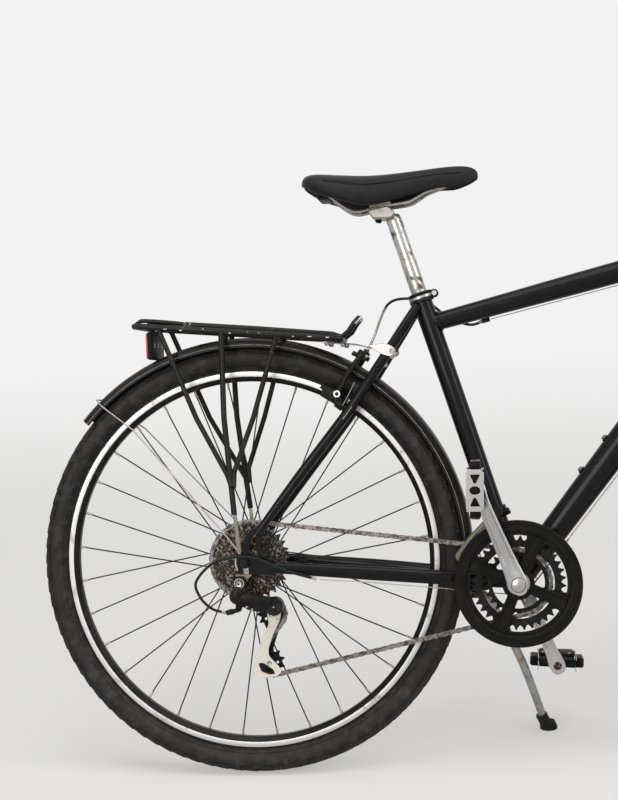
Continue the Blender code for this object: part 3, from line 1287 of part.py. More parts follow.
def make_cockpit(steering):
    low, high = HEAD_TOP + GAP, HEAD_TOP + 0.066
    bm = bmesh.new()
    add_cylinder(bm, (0, 0, low), (0, 0, HEAD_TOP + 0.026), 0.0215, 10)
    stem = finish("stem", bm, "black_metal", steering)
    join(stem, piece(add_cylinder, (0, 0, HEAD_TOP + 0.024), (0, 0, high), 0.0195, 10),
         piece(add_tube, [(0.006, 0, HEAD_TOP + 0.0443), (STEM_LENGTH - 0.012, 0, BAR_HEIGHT)],
               [(0.0163, 0.0187), (0.0163, 0.0160)], 10),
         piece(add_cylinder, (STEM_LENGTH, -0.024, BAR_HEIGHT), (STEM_LENGTH, 0.024, BAR_HEIGHT), 0.0205,
               10))
    cut(stem, piece(add_cylinder, (0, 0, low - 0.01), (0, 0, HEAD_TOP + 0.060 + GAP), STEERER_RADIUS + GAP,
                    10),
        piece(add_cylinder, (STEM_LENGTH, -0.05, BAR_HEIGHT), (STEM_LENGTH, 0.05, BAR_HEIGHT),
              BAR_CENTRE_RADIUS + GAP, 10))
    end = BAR_WIDTH / 2
    spots = [-end, -0.160, -0.112, -0.092, -0.058, -0.038, 0.038, 0.058, 0.092, 0.112, 0.160, end]
    sizes = [BAR_CENTRE_RADIUS if abs(spot) < 0.050 else BAR_RADIUS for spot in spots]
    bm = bmesh.new()
    add_tube(bm, [bar_point(spot) for spot in spots], sizes, 10)
    finish("handlebar", bm, "black_metal", steering)
    for name, side in (("right", -1), ("left", 1)):
        make_grip(name, side, steering)
        make_perch(name, side, steering)
        make_brake_lever(name, side, steering)
        make_trigger(name, side, steering)


def along_bar(start, stop, side):
    return [bar_point(side * start), bar_point(side * stop)]


def make_grip(name, side, steering):
    end = BAR_WIDTH / 2
    bm = bmesh.new()
    add_tube(bm, along_bar(end - GRIP_LENGTH, end + 0.003, side), [GRIP_RADIUS, GRIP_RADIUS * 0.97], 14)
    grip = finish(name + "_grip", bm, "rubber", steering)
    return cut(grip, piece(add_tube, along_bar(end - GRIP_LENGTH - 0.02, end + GAP, side),
                           BAR_RADIUS + GAP, 10))


def lever_pivot(side):
    return bar_point(side * (PERCH_Y + 0.004)) + Vector((LEVER_PIVOT_REACH, 0, -LEVER_PIVOT_DROP))


def trigger_pivot(side):
    return bar_point(side * (PERCH_Y - 0.024)) + Vector((0.012, 0, -0.0310))


def make_perch(name, side, steering):
    """Clamp, lever bracket and gear shifter housing, one assembly on the bar."""
    bm = bmesh.new()
    add_tube(bm, along_bar(PERCH_Y - 0.008, PERCH_Y + 0.008, side), 0.0165, 10)
    perch = finish(name + "_lever_perch", bm, "black_metal", steering)
    hinge = lever_pivot(side)
    middle = bar_point(side * PERCH_Y)
    parts = [piece(add_tube, [middle + Vector((0.008, 0, -0.003)), hinge + Vector((0.003, 0.0, 0.0120))],
                   (0.0080, 0.0034), 6),
             piece(add_tube, [middle + Vector((0.004, 0, -0.0150)), hinge + Vector((0.003, 0.0, -0.0120))],
                   (0.0080, 0.0034), 6),
             piece(add_tube, [hinge + Vector((0, 0, -0.0150)), hinge + Vector((0, 0, 0.0150))], 0.0030, 6),
             piece(add_tube, [middle + Vector((0.017, side * -0.004, -0.004)),
                              middle + Vector((0.022, side * -0.030, 0.000))], 0.0050, 6)]
    pod = bar_point(side * (PERCH_Y - 0.022))
    parts.append(piece(add_box, (pod.x - 0.016, min(side * POD_INNER_Y, side * POD_OUTER_Y), pod.z - 0.0270),
                       (pod.x + 0.026, max(side * POD_INNER_Y, side * POD_OUTER_Y), pod.z - 0.0142)))
    spot = trigger_pivot(side)
    parts.append(piece(add_tube, [spot + Vector((0, 0, 0.006)), spot + Vector((0, 0, -0.0045))], 0.0030, 6))
    join(perch, *parts)
    return cut(perch, piece(add_tube, along_bar(PERCH_Y - 0.02, PERCH_Y + 0.02, side), BAR_RADIUS + GAP,
                            10))


def make_brake_lever(name, side, steering):
    hinge = lever_pivot(side)
    axis = pivot(name + "_brake_lever_axis", hinge, steering)
    bm = bmesh.new()
    add_tube(bm, [(0, 0, -0.0055), (0, 0, 0.0055)], 0.0085, 10)
    lever = finish(name + "_brake_lever", bm, "black_metal", axis)
    blade = smooth_route([(0.004, 0.0, 0.0), (0.017, side * 0.022, -0.003), (0.012, side * 0.055, -0.006),
                          (0.004, side * 0.088, -0.008), (0.008, side * 0.106, -0.008)], 2)
    join(lever, piece(add_tube, blade, (0.0035, 0.0060), 6))
    return cut(lever, piece(add_cylinder, (0, 0, -0.05), (0, 0, 0.05), 0.0030 + RUN_GAP, 8))


def make_trigger(name, side, steering):
    axis = pivot(name + "_shift_trigger_axis", trigger_pivot(side), steering)
    bm = bmesh.new()
    add_cylinder(bm, (0, 0, -0.0035), (0, 0, 0.0030), 0.0075, 8)
    trigger = finish(name + "_shift_trigger", bm, "black_plastic", axis)
    join(trigger, piece(add_tube, [(0, 0, -0.0005), (-0.014, side * -0.004, -0.001),
                                   (-0.031, side * 0.003, -0.004)],
                        [(0.0055, 0.0022), (0.0060, 0.0022), (0.0085, 0.0030)], 6))
    return cut(trigger, piece(add_cylinder, (0, 0, -0.05), (0, 0, 0.05), 0.0030 + RUN_GAP, 6))


# Rim brakes


def make_brake_arm(name, parent, hinge, out, up, centre, side, boss_length):
    """One brake arm: barrel on its boss, the long arm, and a pad on a post facing the rim.

    Vectors are in the parent's coordinates; hinge is the boss's base and centre the wheel's centre.
    """
    axis = pivot(name + "_axis", hinge, parent)
    start, stop = boss_length
    middle = out * ((start + stop) / 2)
    bm = bmesh.new()
    add_tube(bm, [out * start, out * stop], 0.0090, 10, up)
    arm = finish(name, bm, "black_metal", axis)
    side_y = AXIS_Y * side
    top = middle + up * BRAKE_ARM_LENGTH - side_y * 0.004
    radial = (hinge + middle - centre)
    radial.y = 0
    pad_radius = RIM_RADIUS - 0.0058
    toward = radial.normalized()
    tangent = Vector((-toward.z, 0.0, toward.x))
    pad_centre = centre + toward * pad_radius - hinge + tangent * 0.006
    inner = RIM_WIDTH / 2 + PAD_CLEARANCE - abs(hinge.y)
    pad_middle = Vector((pad_centre.x, side * (inner + 0.0050), pad_centre.z))
    post_end = Vector((pad_centre.x, side * 0.004, pad_centre.z))
    face = Matrix.Translation(pad_middle) @ Matrix(((tangent.x, 0, toward.x, 0), (0, 1, 0, 0),
                                                    (tangent.z, 0, toward.z, 0), (0, 0, 0, 1)))
    join(arm,
         piece(add_tube, [middle, middle + up * 0.045 + side_y * 0.006, top], [0.0080, 0.0062, 0.0065], 6,
               AXIS_Y),
         piece(add_tube, [pad_middle, post_end], 0.0045, 6, up),
         piece(add_tube, [post_end, middle + up * 0.020 + side_y * 0.002], 0.0060, 6, AXIS_Y),
         piece(add_box, (-0.0250, -0.0050, -0.0048), (0.0250, 0.0050, 0.0048), face))
    return cut(arm, piece(add_tube, [out * -0.01, out * 0.06], BOSS_RADIUS + RUN_GAP, 8, up))


def make_rim_brakes(bike, lowers):
    for name, side in (("right", -1), ("left", 1)):
        make_brake_arm("rear_brake_arm_" + name, bike, boss_base(side), BOSS_OUT, ARM_DIRECTION,
                       Vector((0, 0, 0)), side, (0.0106, 0.0255))
        boss = Vector((FRONT_BOSS.x, side * FRONT_BOSS.y, FRONT_BOSS.z))
        make_brake_arm("front_brake_arm_" + name, lowers, boss, Vector((1, 0, 0)), Vector((0, 0, 1)),
                       FRONT_AXLE_LOCAL, side, (0.0246, 0.0395))


# Cables


def cable(name, points, parent, radii=None):
    """A cable housing as a bevelled curve; radii scales the bevel at each point."""
    curve = bpy.data.curves.new(name, "CURVE")
    curve.dimensions = "3D"
    curve.bevel_depth = HOUSING
    curve.bevel_resolution = 2
    curve.use_fill_caps = True
    spline = curve.splines.new("POLY")
    spline.points.add(len(points) - 1)
    for index, point in enumerate(points):
        spline.points[index].co = (*point, 1.0)
        spline.points[index].radius = radii[index] / HOUSING if radii else 1.0
    curve.materials.append(material("rubber"))
    made = bpy.data.objects.new(name, curve)
    bpy.context.collection.objects.link(made)
    made.parent = parent
    return made


def cable_line(share):
    """A point on the rear brake wire's line, under the top tube and left of its middle."""
    top_rear = seat_tube_point(TOP_TUBE_ON_SEAT_TUBE)
    top_front = head_point(HEAD_BOTTOM + TOP_TUBE_ON_HEAD_TUBE)
    drop = 0.0183 + 0.0045 * share
    return top_rear.lerp(top_front, share) + Vector((0, 0.0095, -drop))


def make_rear_brake_cable(bike):
    """Bare wire under the top tube, then housing round the seat tube to the noodle at the brake."""
    wire = [cable_line(0.850), cable_line(0.185)]
    top = boss_base(1) + BOSS_OUT * 0.018 + ARM_DIRECTION * (BRAKE_ARM_LENGTH + 0.0050)
    bend = smooth_route([cable_line(0.160), cable_line(0.120), (0.345, 0.0225, 0.3870),
                         (0.303, 0.0290, 0.4120),
                         (0.270, 0.0300, 0.4200), (0.2420, 0.0420, 0.4040), (0.2260, 0.0540, 0.3740),
                         (top.x, 0.0560, 0.3500), (top.x, 0.0510, top.z + 0.0040)], 2)
    across = [(top.x, 0.0450, top.z), (top.x, -0.0400, top.z)]
    points = wire + bend + across
    radii = [WIRE] * len(wire) + [HOUSING] * len(bend) + [WIRE] * len(across)
    return cable("rear_brake_cable", points, bike, radii)


def down_tube_point(share, below, y):
    down_front = head_point(HEAD_BOTTOM + DOWN_TUBE_ON_HEAD_TUBE)
    along = (down_front - BB).normalized()
    under = Vector((along.z, 0.0, -along.x))
    return BB.lerp(down_front, share) + under * below + AXIS_Y * y


def make_shift_cables(bike):
    """Guide under the bottom bracket, both gear wires and the housing to the rear derailleur."""
    guide_top = BB.z - BB_SHELL_RADIUS - GAP
    bm = bmesh.new()
    add_box(bm, (BB.x - 0.014, -0.018, guide_top - 0.0060), (BB.x + 0.014, 0.018, guide_top))
    cables = finish("shift_cables", bm, "black_plastic", bike)
    base = Vector((BB.x, 0.0, guide_top - 0.0035))
    parts = []
    for side in (-1, 1):
        y = side * 0.0065
        around = [BB + Vector((WIRE_ROUND_SHELL * math.cos(math.radians(turn)), y,
                               WIRE_ROUND_SHELL * math.sin(math.radians(turn)))) for turn in (-90, -66,
                                                                                              -42)]
        parts.append(piece(add_tube, around + [down_tube_point(0.12, 0.0264, y),
                                               down_tube_point(0.5, 0.0290, y),
                                               down_tube_point(STOP_SHARE - 0.016, 0.0288, y)], WIRE, 4))
    rear_wire = [base + AXIS_Y * -0.014, (0.405, -0.0270, -0.0655), (0.372, -0.0330, -0.0635),
                 (0.330, -0.0385, -0.0550),
                 (0.200, -0.0560, -0.0385), (0.122, -0.0700, -0.0300)]
    loop = smooth_route([(0.116, -0.0710, -0.0290), (0.070, -0.0840, -0.0130), (0.010, -0.0915, 0.0120),
                         (-0.045, -0.0910, 0.0060), (-0.083, -0.0885, -0.0250), (-0.076, -0.0860, -0.0560),
                         (-0.046, -0.0825, -0.0665), (-0.0220, -0.0798, -0.0645)], 2)
    radii = [WIRE] * len(rear_wire) + [HOUSING] * len(loop)
    parts.append(piece(add_tube, rear_wire + loop, radii, 5))
    return join(cables, *parts)


def in_steering(point):
    """A bike point in the coordinates of the steering axis."""
    gap = Vector(point) - CROWN
    return Vector((gap.dot(FORWARD_HEAD), gap.y, gap.dot(UP_HEAD)))


def make_bar_cables(steering):
    """The housings that hang between the handlebar and the frame or the front brake."""
    starts = {side: bar_point(side * (PERCH_Y - 0.0303)) + Vector((0.0225, 0, 0.0002)) for side in (-1, 1)}
    stop = cable_line(0.872)
    route = [starts[-1], Vector((0.132, -0.085, 0.211)), Vector((0.152, -0.030, 0.204)),
             Vector((0.152, 0.030, 0.166)), Vector((0.112, 0.060, 0.114)), Vector((0.042, 0.056, 0.074)),
             Vector((-0.012, 0.044, 0.061)), in_steering(cable_line(0.935) + AXIS_Y * 0.0070),
             in_steering(cable_line(0.903))]
    cable("rear_brake_loop", smooth_route(route + [in_steering(stop)], 2), steering)
    top = Vector((FRONT_BOSS.x + 0.032, 0.0, FRONT_BOSS.z + BRAKE_ARM_LENGTH))
    route = [starts[1], starts[1] + Vector((0.022, -0.030, 0.006)),
             Vector((0.140, 0.020, BAR_HEIGHT - 0.010)),
             Vector((0.112, -0.035, 0.080)), Vector((0.070, -0.056, 0.020)),
             Vector((0.044, -0.063, -0.030)),
             top + Vector((0.0, -0.062, 0.0180)), top + Vector((0.0, -0.0560, 0.0080))]
    housing = smooth_route(route, 2)
    across = [top + Vector((0.0, -0.048, 0.0050)), top + Vector((0.0, 0.044, 0.0050))]
    cable("front_brake_cable", housing + across, steering, [HOUSING] * len(housing) + [WIRE] * len(across))
    for name, side in (("right", -1), ("left", 1)):
        pod = bar_point(side * POD_INNER_Y)
        begin = Vector((pod.x + 0.020, side * (POD_INNER_Y - 0.0015), pod.z - 0.0200))
        end = in_steering(down_tube_point(STOP_SHARE + 0.016, 0.0288, side * 0.0065))
        leave = in_steering(down_tube_point(STOP_SHARE + 0.075, 0.0330, side * 0.0120))
        route = [begin, begin + Vector((0.012, side * -0.028, -0.010)),
                 Vector((0.078, side * 0.046, BAR_HEIGHT - 0.060)),
                 Vector((0.046, side * 0.052, 0.070)), Vector((0.000, side * 0.040, 0.036)), leave, end]
        cable(name + "_shift_loop", smooth_route(route, 2), steering)


# Assembly


def build():
    clear_scene()
    grip_end = bar_point(BAR_WIDTH / 2)
    centre_y = head_point(grip_end.z, grip_end.x).z * math.sin(LEAN)
    bike = bpy.data.objects.new("bike", None)
    bpy.context.collection.objects.link(bike)
    lean = Matrix.Rotation(-LEAN, 4, "X")
    bike.matrix_world = Matrix.Translation((-WHEELBASE / 2, -centre_y, AXLE_HEIGHT)) @ lean
    make_frame(bike)
    make_seat_clamp(bike)
    make_bottom_bracket(bike)
    make_rear_axle(bike)
    make_rear_wheel(bike)
    make_cassette(bike)
    make_chain(bike)
    make_crankset(bike)
    make_rear_derailleur(bike)
    make_front_derailleur(bike)
    make_seat(bike)
    make_kickstand(bike)
    make_rack(bike)
    make_rack_struts(bike)
    make_rear_fender(bike)
    make_rear_fender_stay(bike)
    make_reflector(bike)
    make_rack_clip(bike)
    steering = pivot("steering_axis", CROWN, bike, math.pi / 2 - HEAD_ANGLE)
    make_fork(steering)
    lowers = pivot("fork_slide", (0, 0, 0), steering)
    make_lowers(lowers)
    make_front_axle(lowers)
    make_front_fender(lowers)
    make_front_wheel(lowers)
    make_cockpit(steering)
    make_rim_brakes(bike, lowers)
    make_rear_brake_cable(bike)
    make_shift_cables(bike)
    make_bar_cables(steering)


if __name__ == "__main__":
    build()
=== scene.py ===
"""Looks of a hybrid bike on its stand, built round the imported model.

Every piece is drawn upright in metres, origin at the rear axle, +X forwards, +Y to the rider's
left, +Z up, and then put in the leaning bike's place. Pieces of the steering are drawn along the
steering axis, with +Z up it.
"""

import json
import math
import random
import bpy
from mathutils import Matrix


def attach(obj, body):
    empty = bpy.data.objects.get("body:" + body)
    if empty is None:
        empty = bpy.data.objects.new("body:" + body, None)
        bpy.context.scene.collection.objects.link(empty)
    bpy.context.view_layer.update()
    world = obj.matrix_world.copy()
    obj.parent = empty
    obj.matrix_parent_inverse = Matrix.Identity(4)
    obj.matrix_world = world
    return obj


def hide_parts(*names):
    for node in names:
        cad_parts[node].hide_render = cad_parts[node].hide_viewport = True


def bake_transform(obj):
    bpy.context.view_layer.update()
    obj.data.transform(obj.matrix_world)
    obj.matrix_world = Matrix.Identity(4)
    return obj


bl_info = {
    "name": "Hybrid bike looks",
    "version": (1, 0, 0),
    "blender": (4, 5, 0),
    "location": "3D View > Sidebar > Bike",
    "description": "Dresses the packed hybrid bike with detailed pieces and finishes",
    "category": "Object",
}

from contextlib import contextmanager

import bmesh
import bpy
from mathutils import Matrix, Vector

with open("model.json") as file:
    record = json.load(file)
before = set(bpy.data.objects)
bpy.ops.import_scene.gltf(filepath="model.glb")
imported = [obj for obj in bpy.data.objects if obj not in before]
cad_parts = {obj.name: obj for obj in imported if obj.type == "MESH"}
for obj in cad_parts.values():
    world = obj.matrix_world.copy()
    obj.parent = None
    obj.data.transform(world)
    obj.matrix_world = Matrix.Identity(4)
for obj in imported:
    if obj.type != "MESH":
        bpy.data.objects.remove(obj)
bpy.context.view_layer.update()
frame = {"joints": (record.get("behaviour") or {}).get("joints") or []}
JOINTS = {joint["name"]: joint for joint in frame["joints"]}

# Places
AXIS_Y = Vector((0.0, 1.0, 0.0))
LEAN_Y = Vector(JOINTS["rear_wheel_spin"]["axis"])
LEAN_Z = Vector((1.0, 0.0, 0.0)).cross(LEAN_Y)


def place(origin, x_axis, y_axis, z_axis):
    columns = [(*x_axis, 0.0), (*y_axis, 0.0), (*z_axis, 0.0), (*origin, 1.0)]
    return Matrix(columns).transposed()


BIKE = place(JOINTS["rear_wheel_spin"]["pos_m"], (1.0, 0.0, 0.0), LEAN_Y, LEAN_Z)
UP_STEER = Vector(JOINTS["steering_turn"]["axis"])
STEER = place(JOINTS["steering_turn"]["pos_m"], LEAN_Y.cross(UP_STEER), LEAN_Y, UP_STEER)
IN_BIKE = BIKE.inverted()


def joint_spot(name):
    """A hinge's place, in bike coordinates."""
    return IN_BIKE @ Vector(JOINTS[name]["pos_m"])


BB = joint_spot("crank_spin")
FRONT_AXLE = STEER.inverted() @ Vector(JOINTS["front_wheel_spin"]["pos_m"])
CROWN = joint_spot("steering_turn")
SEAT_ANGLE = math.radians(73.5)
UP_SEAT = Vector((-math.cos(SEAT_ANGLE), 0.0, math.sin(SEAT_ANGLE)))
FORWARD_SEAT = Vector((math.sin(SEAT_ANGLE), 0.0, math.cos(SEAT_ANGLE)))
UP_HEAD = IN_BIKE.to_3x3() @ UP_STEER
FORWARD_HEAD = AXIS_Y.cross(UP_HEAD)
DROPOUT_Y = 0.0675
OUTSIDE_Y = DROPOUT_Y + 0.0063
CRANK_ANGLE = math.radians(110.7)
CRANK_LENGTH = 0.17
GUIDE_PULLEY = joint_spot("guide_pulley_spin")
TENSION_PULLEY = joint_spot("tension_pulley_spin")
COG_TEETH = (32, 28, 24, 21, 18, 15, 13, 11)
RING_TEETH = (26, 36, 48)
PULLEY_TEETH = 11
LARGEST_COG_Y = -0.0284
COG_SPACING = 0.0048
SMALL_RING_Y = -0.0425
RING_SPACING = 0.0075
CHAIN_PITCH = 0.0127
RIM_RADIUS = 0.317
SPOKES = 32
BAR_HEIGHT = 0.175
BAR_RISE = 0.03
STEM_LENGTH = 0.09
SMOOTH = math.radians(38)


# Mesh tools


def span(side, near, far):
    """Low and high Y between two distances from the middle on one side, which is -1 or 1."""
    return sorted((side * near, side * far))


def vertex(bm, spot):
    return bmesh.ops.create_vert(bm, co=spot)["vert"][0]


def joined(bm, verts, closed=True):
    """Edges from each vertex to the next."""
    return [bm.edges.new(pair) for pair in zip(verts, verts[1:] + verts[:1] if closed else verts[1:])]


def vertices(geom):
    return [item for item in geom if isinstance(item, bmesh.types.BMVert)]


def edges_at(verts):
    """The edges that meet these vertices, once each and in the same order in every run."""
    return list(dict.fromkeys(edge for vert in verts for edge in vert.link_edges))


def skin(bm, rings):
    """Bridges rings of edges, each to the next, and closes both ends."""
    for before, after in zip(rings, rings[1:]):
        bmesh.ops.bridge_loops(bm, edges=before + after)
    for end in (rings[0], rings[-1]):
        bmesh.ops.holes_fill(bm, edges=end, sides=0)


def mirrored(half):
    """A profile of (radius, y) that ends at y = 0, followed by its other half."""
    return half + [(radius, -y) for radius, y in reversed(half[:-1])]


def stations(path, closed=False):
    """A matrix at each point of a path, its Z along the path and without twist."""
    points = [Vector(point) for point in path]
    count = len(points)
    side, found = None, []
    for index, point in enumerate(points):
        if closed:
            before, after = points[index - 1], points[(index + 1) % count]
        else:
            before, after = points[max(index - 1, 0)], points[min(index + 1, count - 1)]
        along = (after - before).normalized()
        if side is None:
            side = along.cross(Vector((0.0, 0.0, 1.0)) if abs(along.z) < 0.95 else AXIS_Y)
        side = (side - along * side.dot(along)).normalized()
        found.append(place(point, side, along.cross(side), along))
    return found


def tube(bm, path, sizes, sides=16, closed=False, caps=True):
    """A tube extruded from station to station; a size is a radius or a (sideways, upright) pair."""
    spots = stations(path, closed)
    if not isinstance(sizes, list):
        sizes = [sizes] * len(spots)
    spots = [spot @ Matrix.Diagonal((*(size if isinstance(size, tuple) else (size, size)), 1.0, 1.0))
        for spot, size in zip(spots, sizes)]
    ring = bmesh.ops.create_circle(bm, segments=sides, radius=1.0, matrix=spots[0])["verts"]
    first = edges = edges_at(ring)
    for before, after in zip(spots, spots[1:]):
        grown = bmesh.ops.extrude_edge_only(bm, edges=edges)["geom"]
        verts = vertices(grown)
        moved = set(verts)
        bmesh.ops.transform(bm, matrix=after @ before.inverted(), verts=verts)
        edges = [item for item in grown if isinstance(item, bmesh.types.BMEdge)
            and moved.issuperset(item.verts)]
    if closed:
        bmesh.ops.bridge_loops(bm, edges=first + edges)
    elif caps:
        bmesh.ops.holes_fill(bm, edges=first, sides=0)
        bmesh.ops.holes_fill(bm, edges=edges, sides=0)


def rod(bm, start, end, radius, sides=16, edge=0.0):
    """A round bar with softened ends."""
    start, end = Vector(start), Vector(end)
    if not edge:
        tube(bm, [start, end], radius, sides)
        return
    step = (end - start).normalized() * edge
    tube(bm, [start, start + step, end - step, end], [radius - edge, radius, radius, radius - edge], sides)


def turned(bm, profile, segments=48, closed=False, centre=(0.0, 0.0, 0.0)):
    """A profile of (radius, y) spun about the Y axis through centre."""
    centre = Vector(centre)
    verts = [vertex(bm, centre + Vector((radius, y, 0.0))) for radius, y in profile]
    bmesh.ops.spin(bm, geom=verts + joined(bm, verts, closed), cent=centre, axis=AXIS_Y, angle=2 * math.pi,
        steps=segments, use_merge=True)


def loop(bm, outline, y):
    return joined(bm, [vertex(bm, (x, y, z)) for x, z in outline])


def plate(bm, outline, low, high, holes=(), soft=0.0):
    """A flat plate in the XZ plane from low to high along Y, with holes through it."""
    edges = loop(bm, outline, low)
    for hole in holes:
        edges += loop(bm, hole, low)
    bmesh.ops.triangle_fill(bm, edges=edges, use_beauty=True)
    seen = dict.fromkeys(face for edge in edges for face in edge.link_faces)
    todo = list(seen)
    while todo:
        for edge in todo.pop().edges:
            for face in edge.link_faces:
                if face not in seen:
                    seen[face] = True
                    todo.append(face)
    grown = bmesh.ops.extrude_face_region(bm, geom=list(seen), use_keep_orig=True)["geom"]
    verts = vertices(grown)
    bmesh.ops.translate(bm, verts=verts, vec=(0.0, high - low, 0.0))
    if soft:
        rims = [item for item in grown if isinstance(item, bmesh.types.BMEdge) and item.verts[0] in verts
            and len(item.link_faces) == 2 and item.calc_face_angle(0.0) > 1.0]
        rims += [edge for edge in edges if edge.is_valid and edge.calc_face_angle(0.0) > 1.0]
        bmesh.ops.bevel(bm, geom=rims, offset=soft, segments=1, profile=0.5, affect="EDGES", material=-1)


def block(bm, low, high, soft=0.0, turn=None, segments=2):
    """A box from corner to corner with bevelled edges."""
    low, high = Vector(low), Vector(high)
    matrix = Matrix.Translation((low + high) / 2) @ Matrix.Diagonal((*(high - low), 1.0))
    made = bmesh.ops.create_cube(bm, size=1.0, matrix=matrix)["verts"]
    if soft:
        bevelled = bmesh.ops.bevel(bm, geom=edges_at(made), offset=soft, segments=segments, profile=0.5,
            affect="EDGES", material=-1)
        made = bevelled["verts"]
    if turn is not None:
        bmesh.ops.transform(bm, matrix=turn, verts=[vert for vert in made if vert.is_valid])


def repeat(bm, geom, count):
    """Copies geometry round the Y axis, so that there are count of it in a full turn."""
    bmesh.ops.spin(bm, geom=geom, cent=(0.0, 0.0, 0.0), axis=AXIS_Y, angle=2 * math.pi * (count - 1) / count,
        steps=count - 1, use_duplicate=True)


@contextmanager
def added(bm):
    """Collects the vertices, edges and faces that are made inside it."""
    before = (set(bm.verts), set(bm.edges), set(bm.faces))
    found = []
    yield found
    for old, new in zip(before, (bm.verts, bm.edges, bm.faces)):
        found.extend(item for item in new if item not in old)


@contextmanager
def painted(bm, index):
    """Gives the faces made inside it a material of their piece."""
    before = set(bm.faces)
    yield
    for face in bm.faces:
        if face not in before:
            face.material_index = index


def circle(x, z, radius, count=16, start=0.0, aspect=1.0):
    """Points of a circle or, with an aspect, an ellipse."""
    angles = [start + 2 * math.pi * index / count for index in range(count)]
    return [(x + radius * math.cos(angle), z + radius * aspect * math.sin(angle)) for angle in angles]


def polar(radius, angle):
    return (radius * math.cos(angle), radius * math.sin(angle))


def curve_through(points, per_span=6):
    """A smooth route through points."""
    points = [Vector(point) for point in points]
    route = []
    for index in range(len(points) - 1):
        before, start = points[max(index - 1, 0)], points[index]
        end, after = points[index + 1], points[min(index + 2, len(points) - 1)]
        for step in range(per_span):
            t = step / per_span
            route.append(0.5 * (2 * start + (end - before) * t + (2 * before - 5 * start + 4 * end
                - after) * t * t + (3 * start - before - 3 * end + after) * t ** 3))
    return route + [points[-1]]


def publish(name, bm, finishes, body, nodes=(), where=BIKE, clean=True, modifiers=(), bend=()):
    """Puts a finished mesh in its place, riding on its body, or fixed where it stands on no body when bend is
    given, and hides its CAD nodes.
    """
    if clean:
        bmesh.ops.remove_doubles(bm, verts=bm.verts, dist=1e-6)
        bmesh.ops.recalc_face_normals(bm, faces=bm.faces)
    bm.transform(where)
    mesh = bpy.data.meshes.new(name)
    bm.to_mesh(mesh)
    bm.free()
    mesh.shade_smooth()
    mesh.set_sharp_from_angle(angle=SMOOTH)
    made = bpy.data.objects.new(name, mesh)
    bpy.context.scene.collection.objects.link(made)
    for finish in ([finishes] if isinstance(finishes, str) else finishes):
        mesh.materials.append(material(finish))
    for kind, settings in modifiers:
        modifier = made.modifiers.new(kind.title(), kind)
        for key, value in settings.items():
            setattr(modifier, key, value)
    if bend:
        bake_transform(made)
    else:
        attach(made, body)
    if nodes:
        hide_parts(*nodes)
    return made


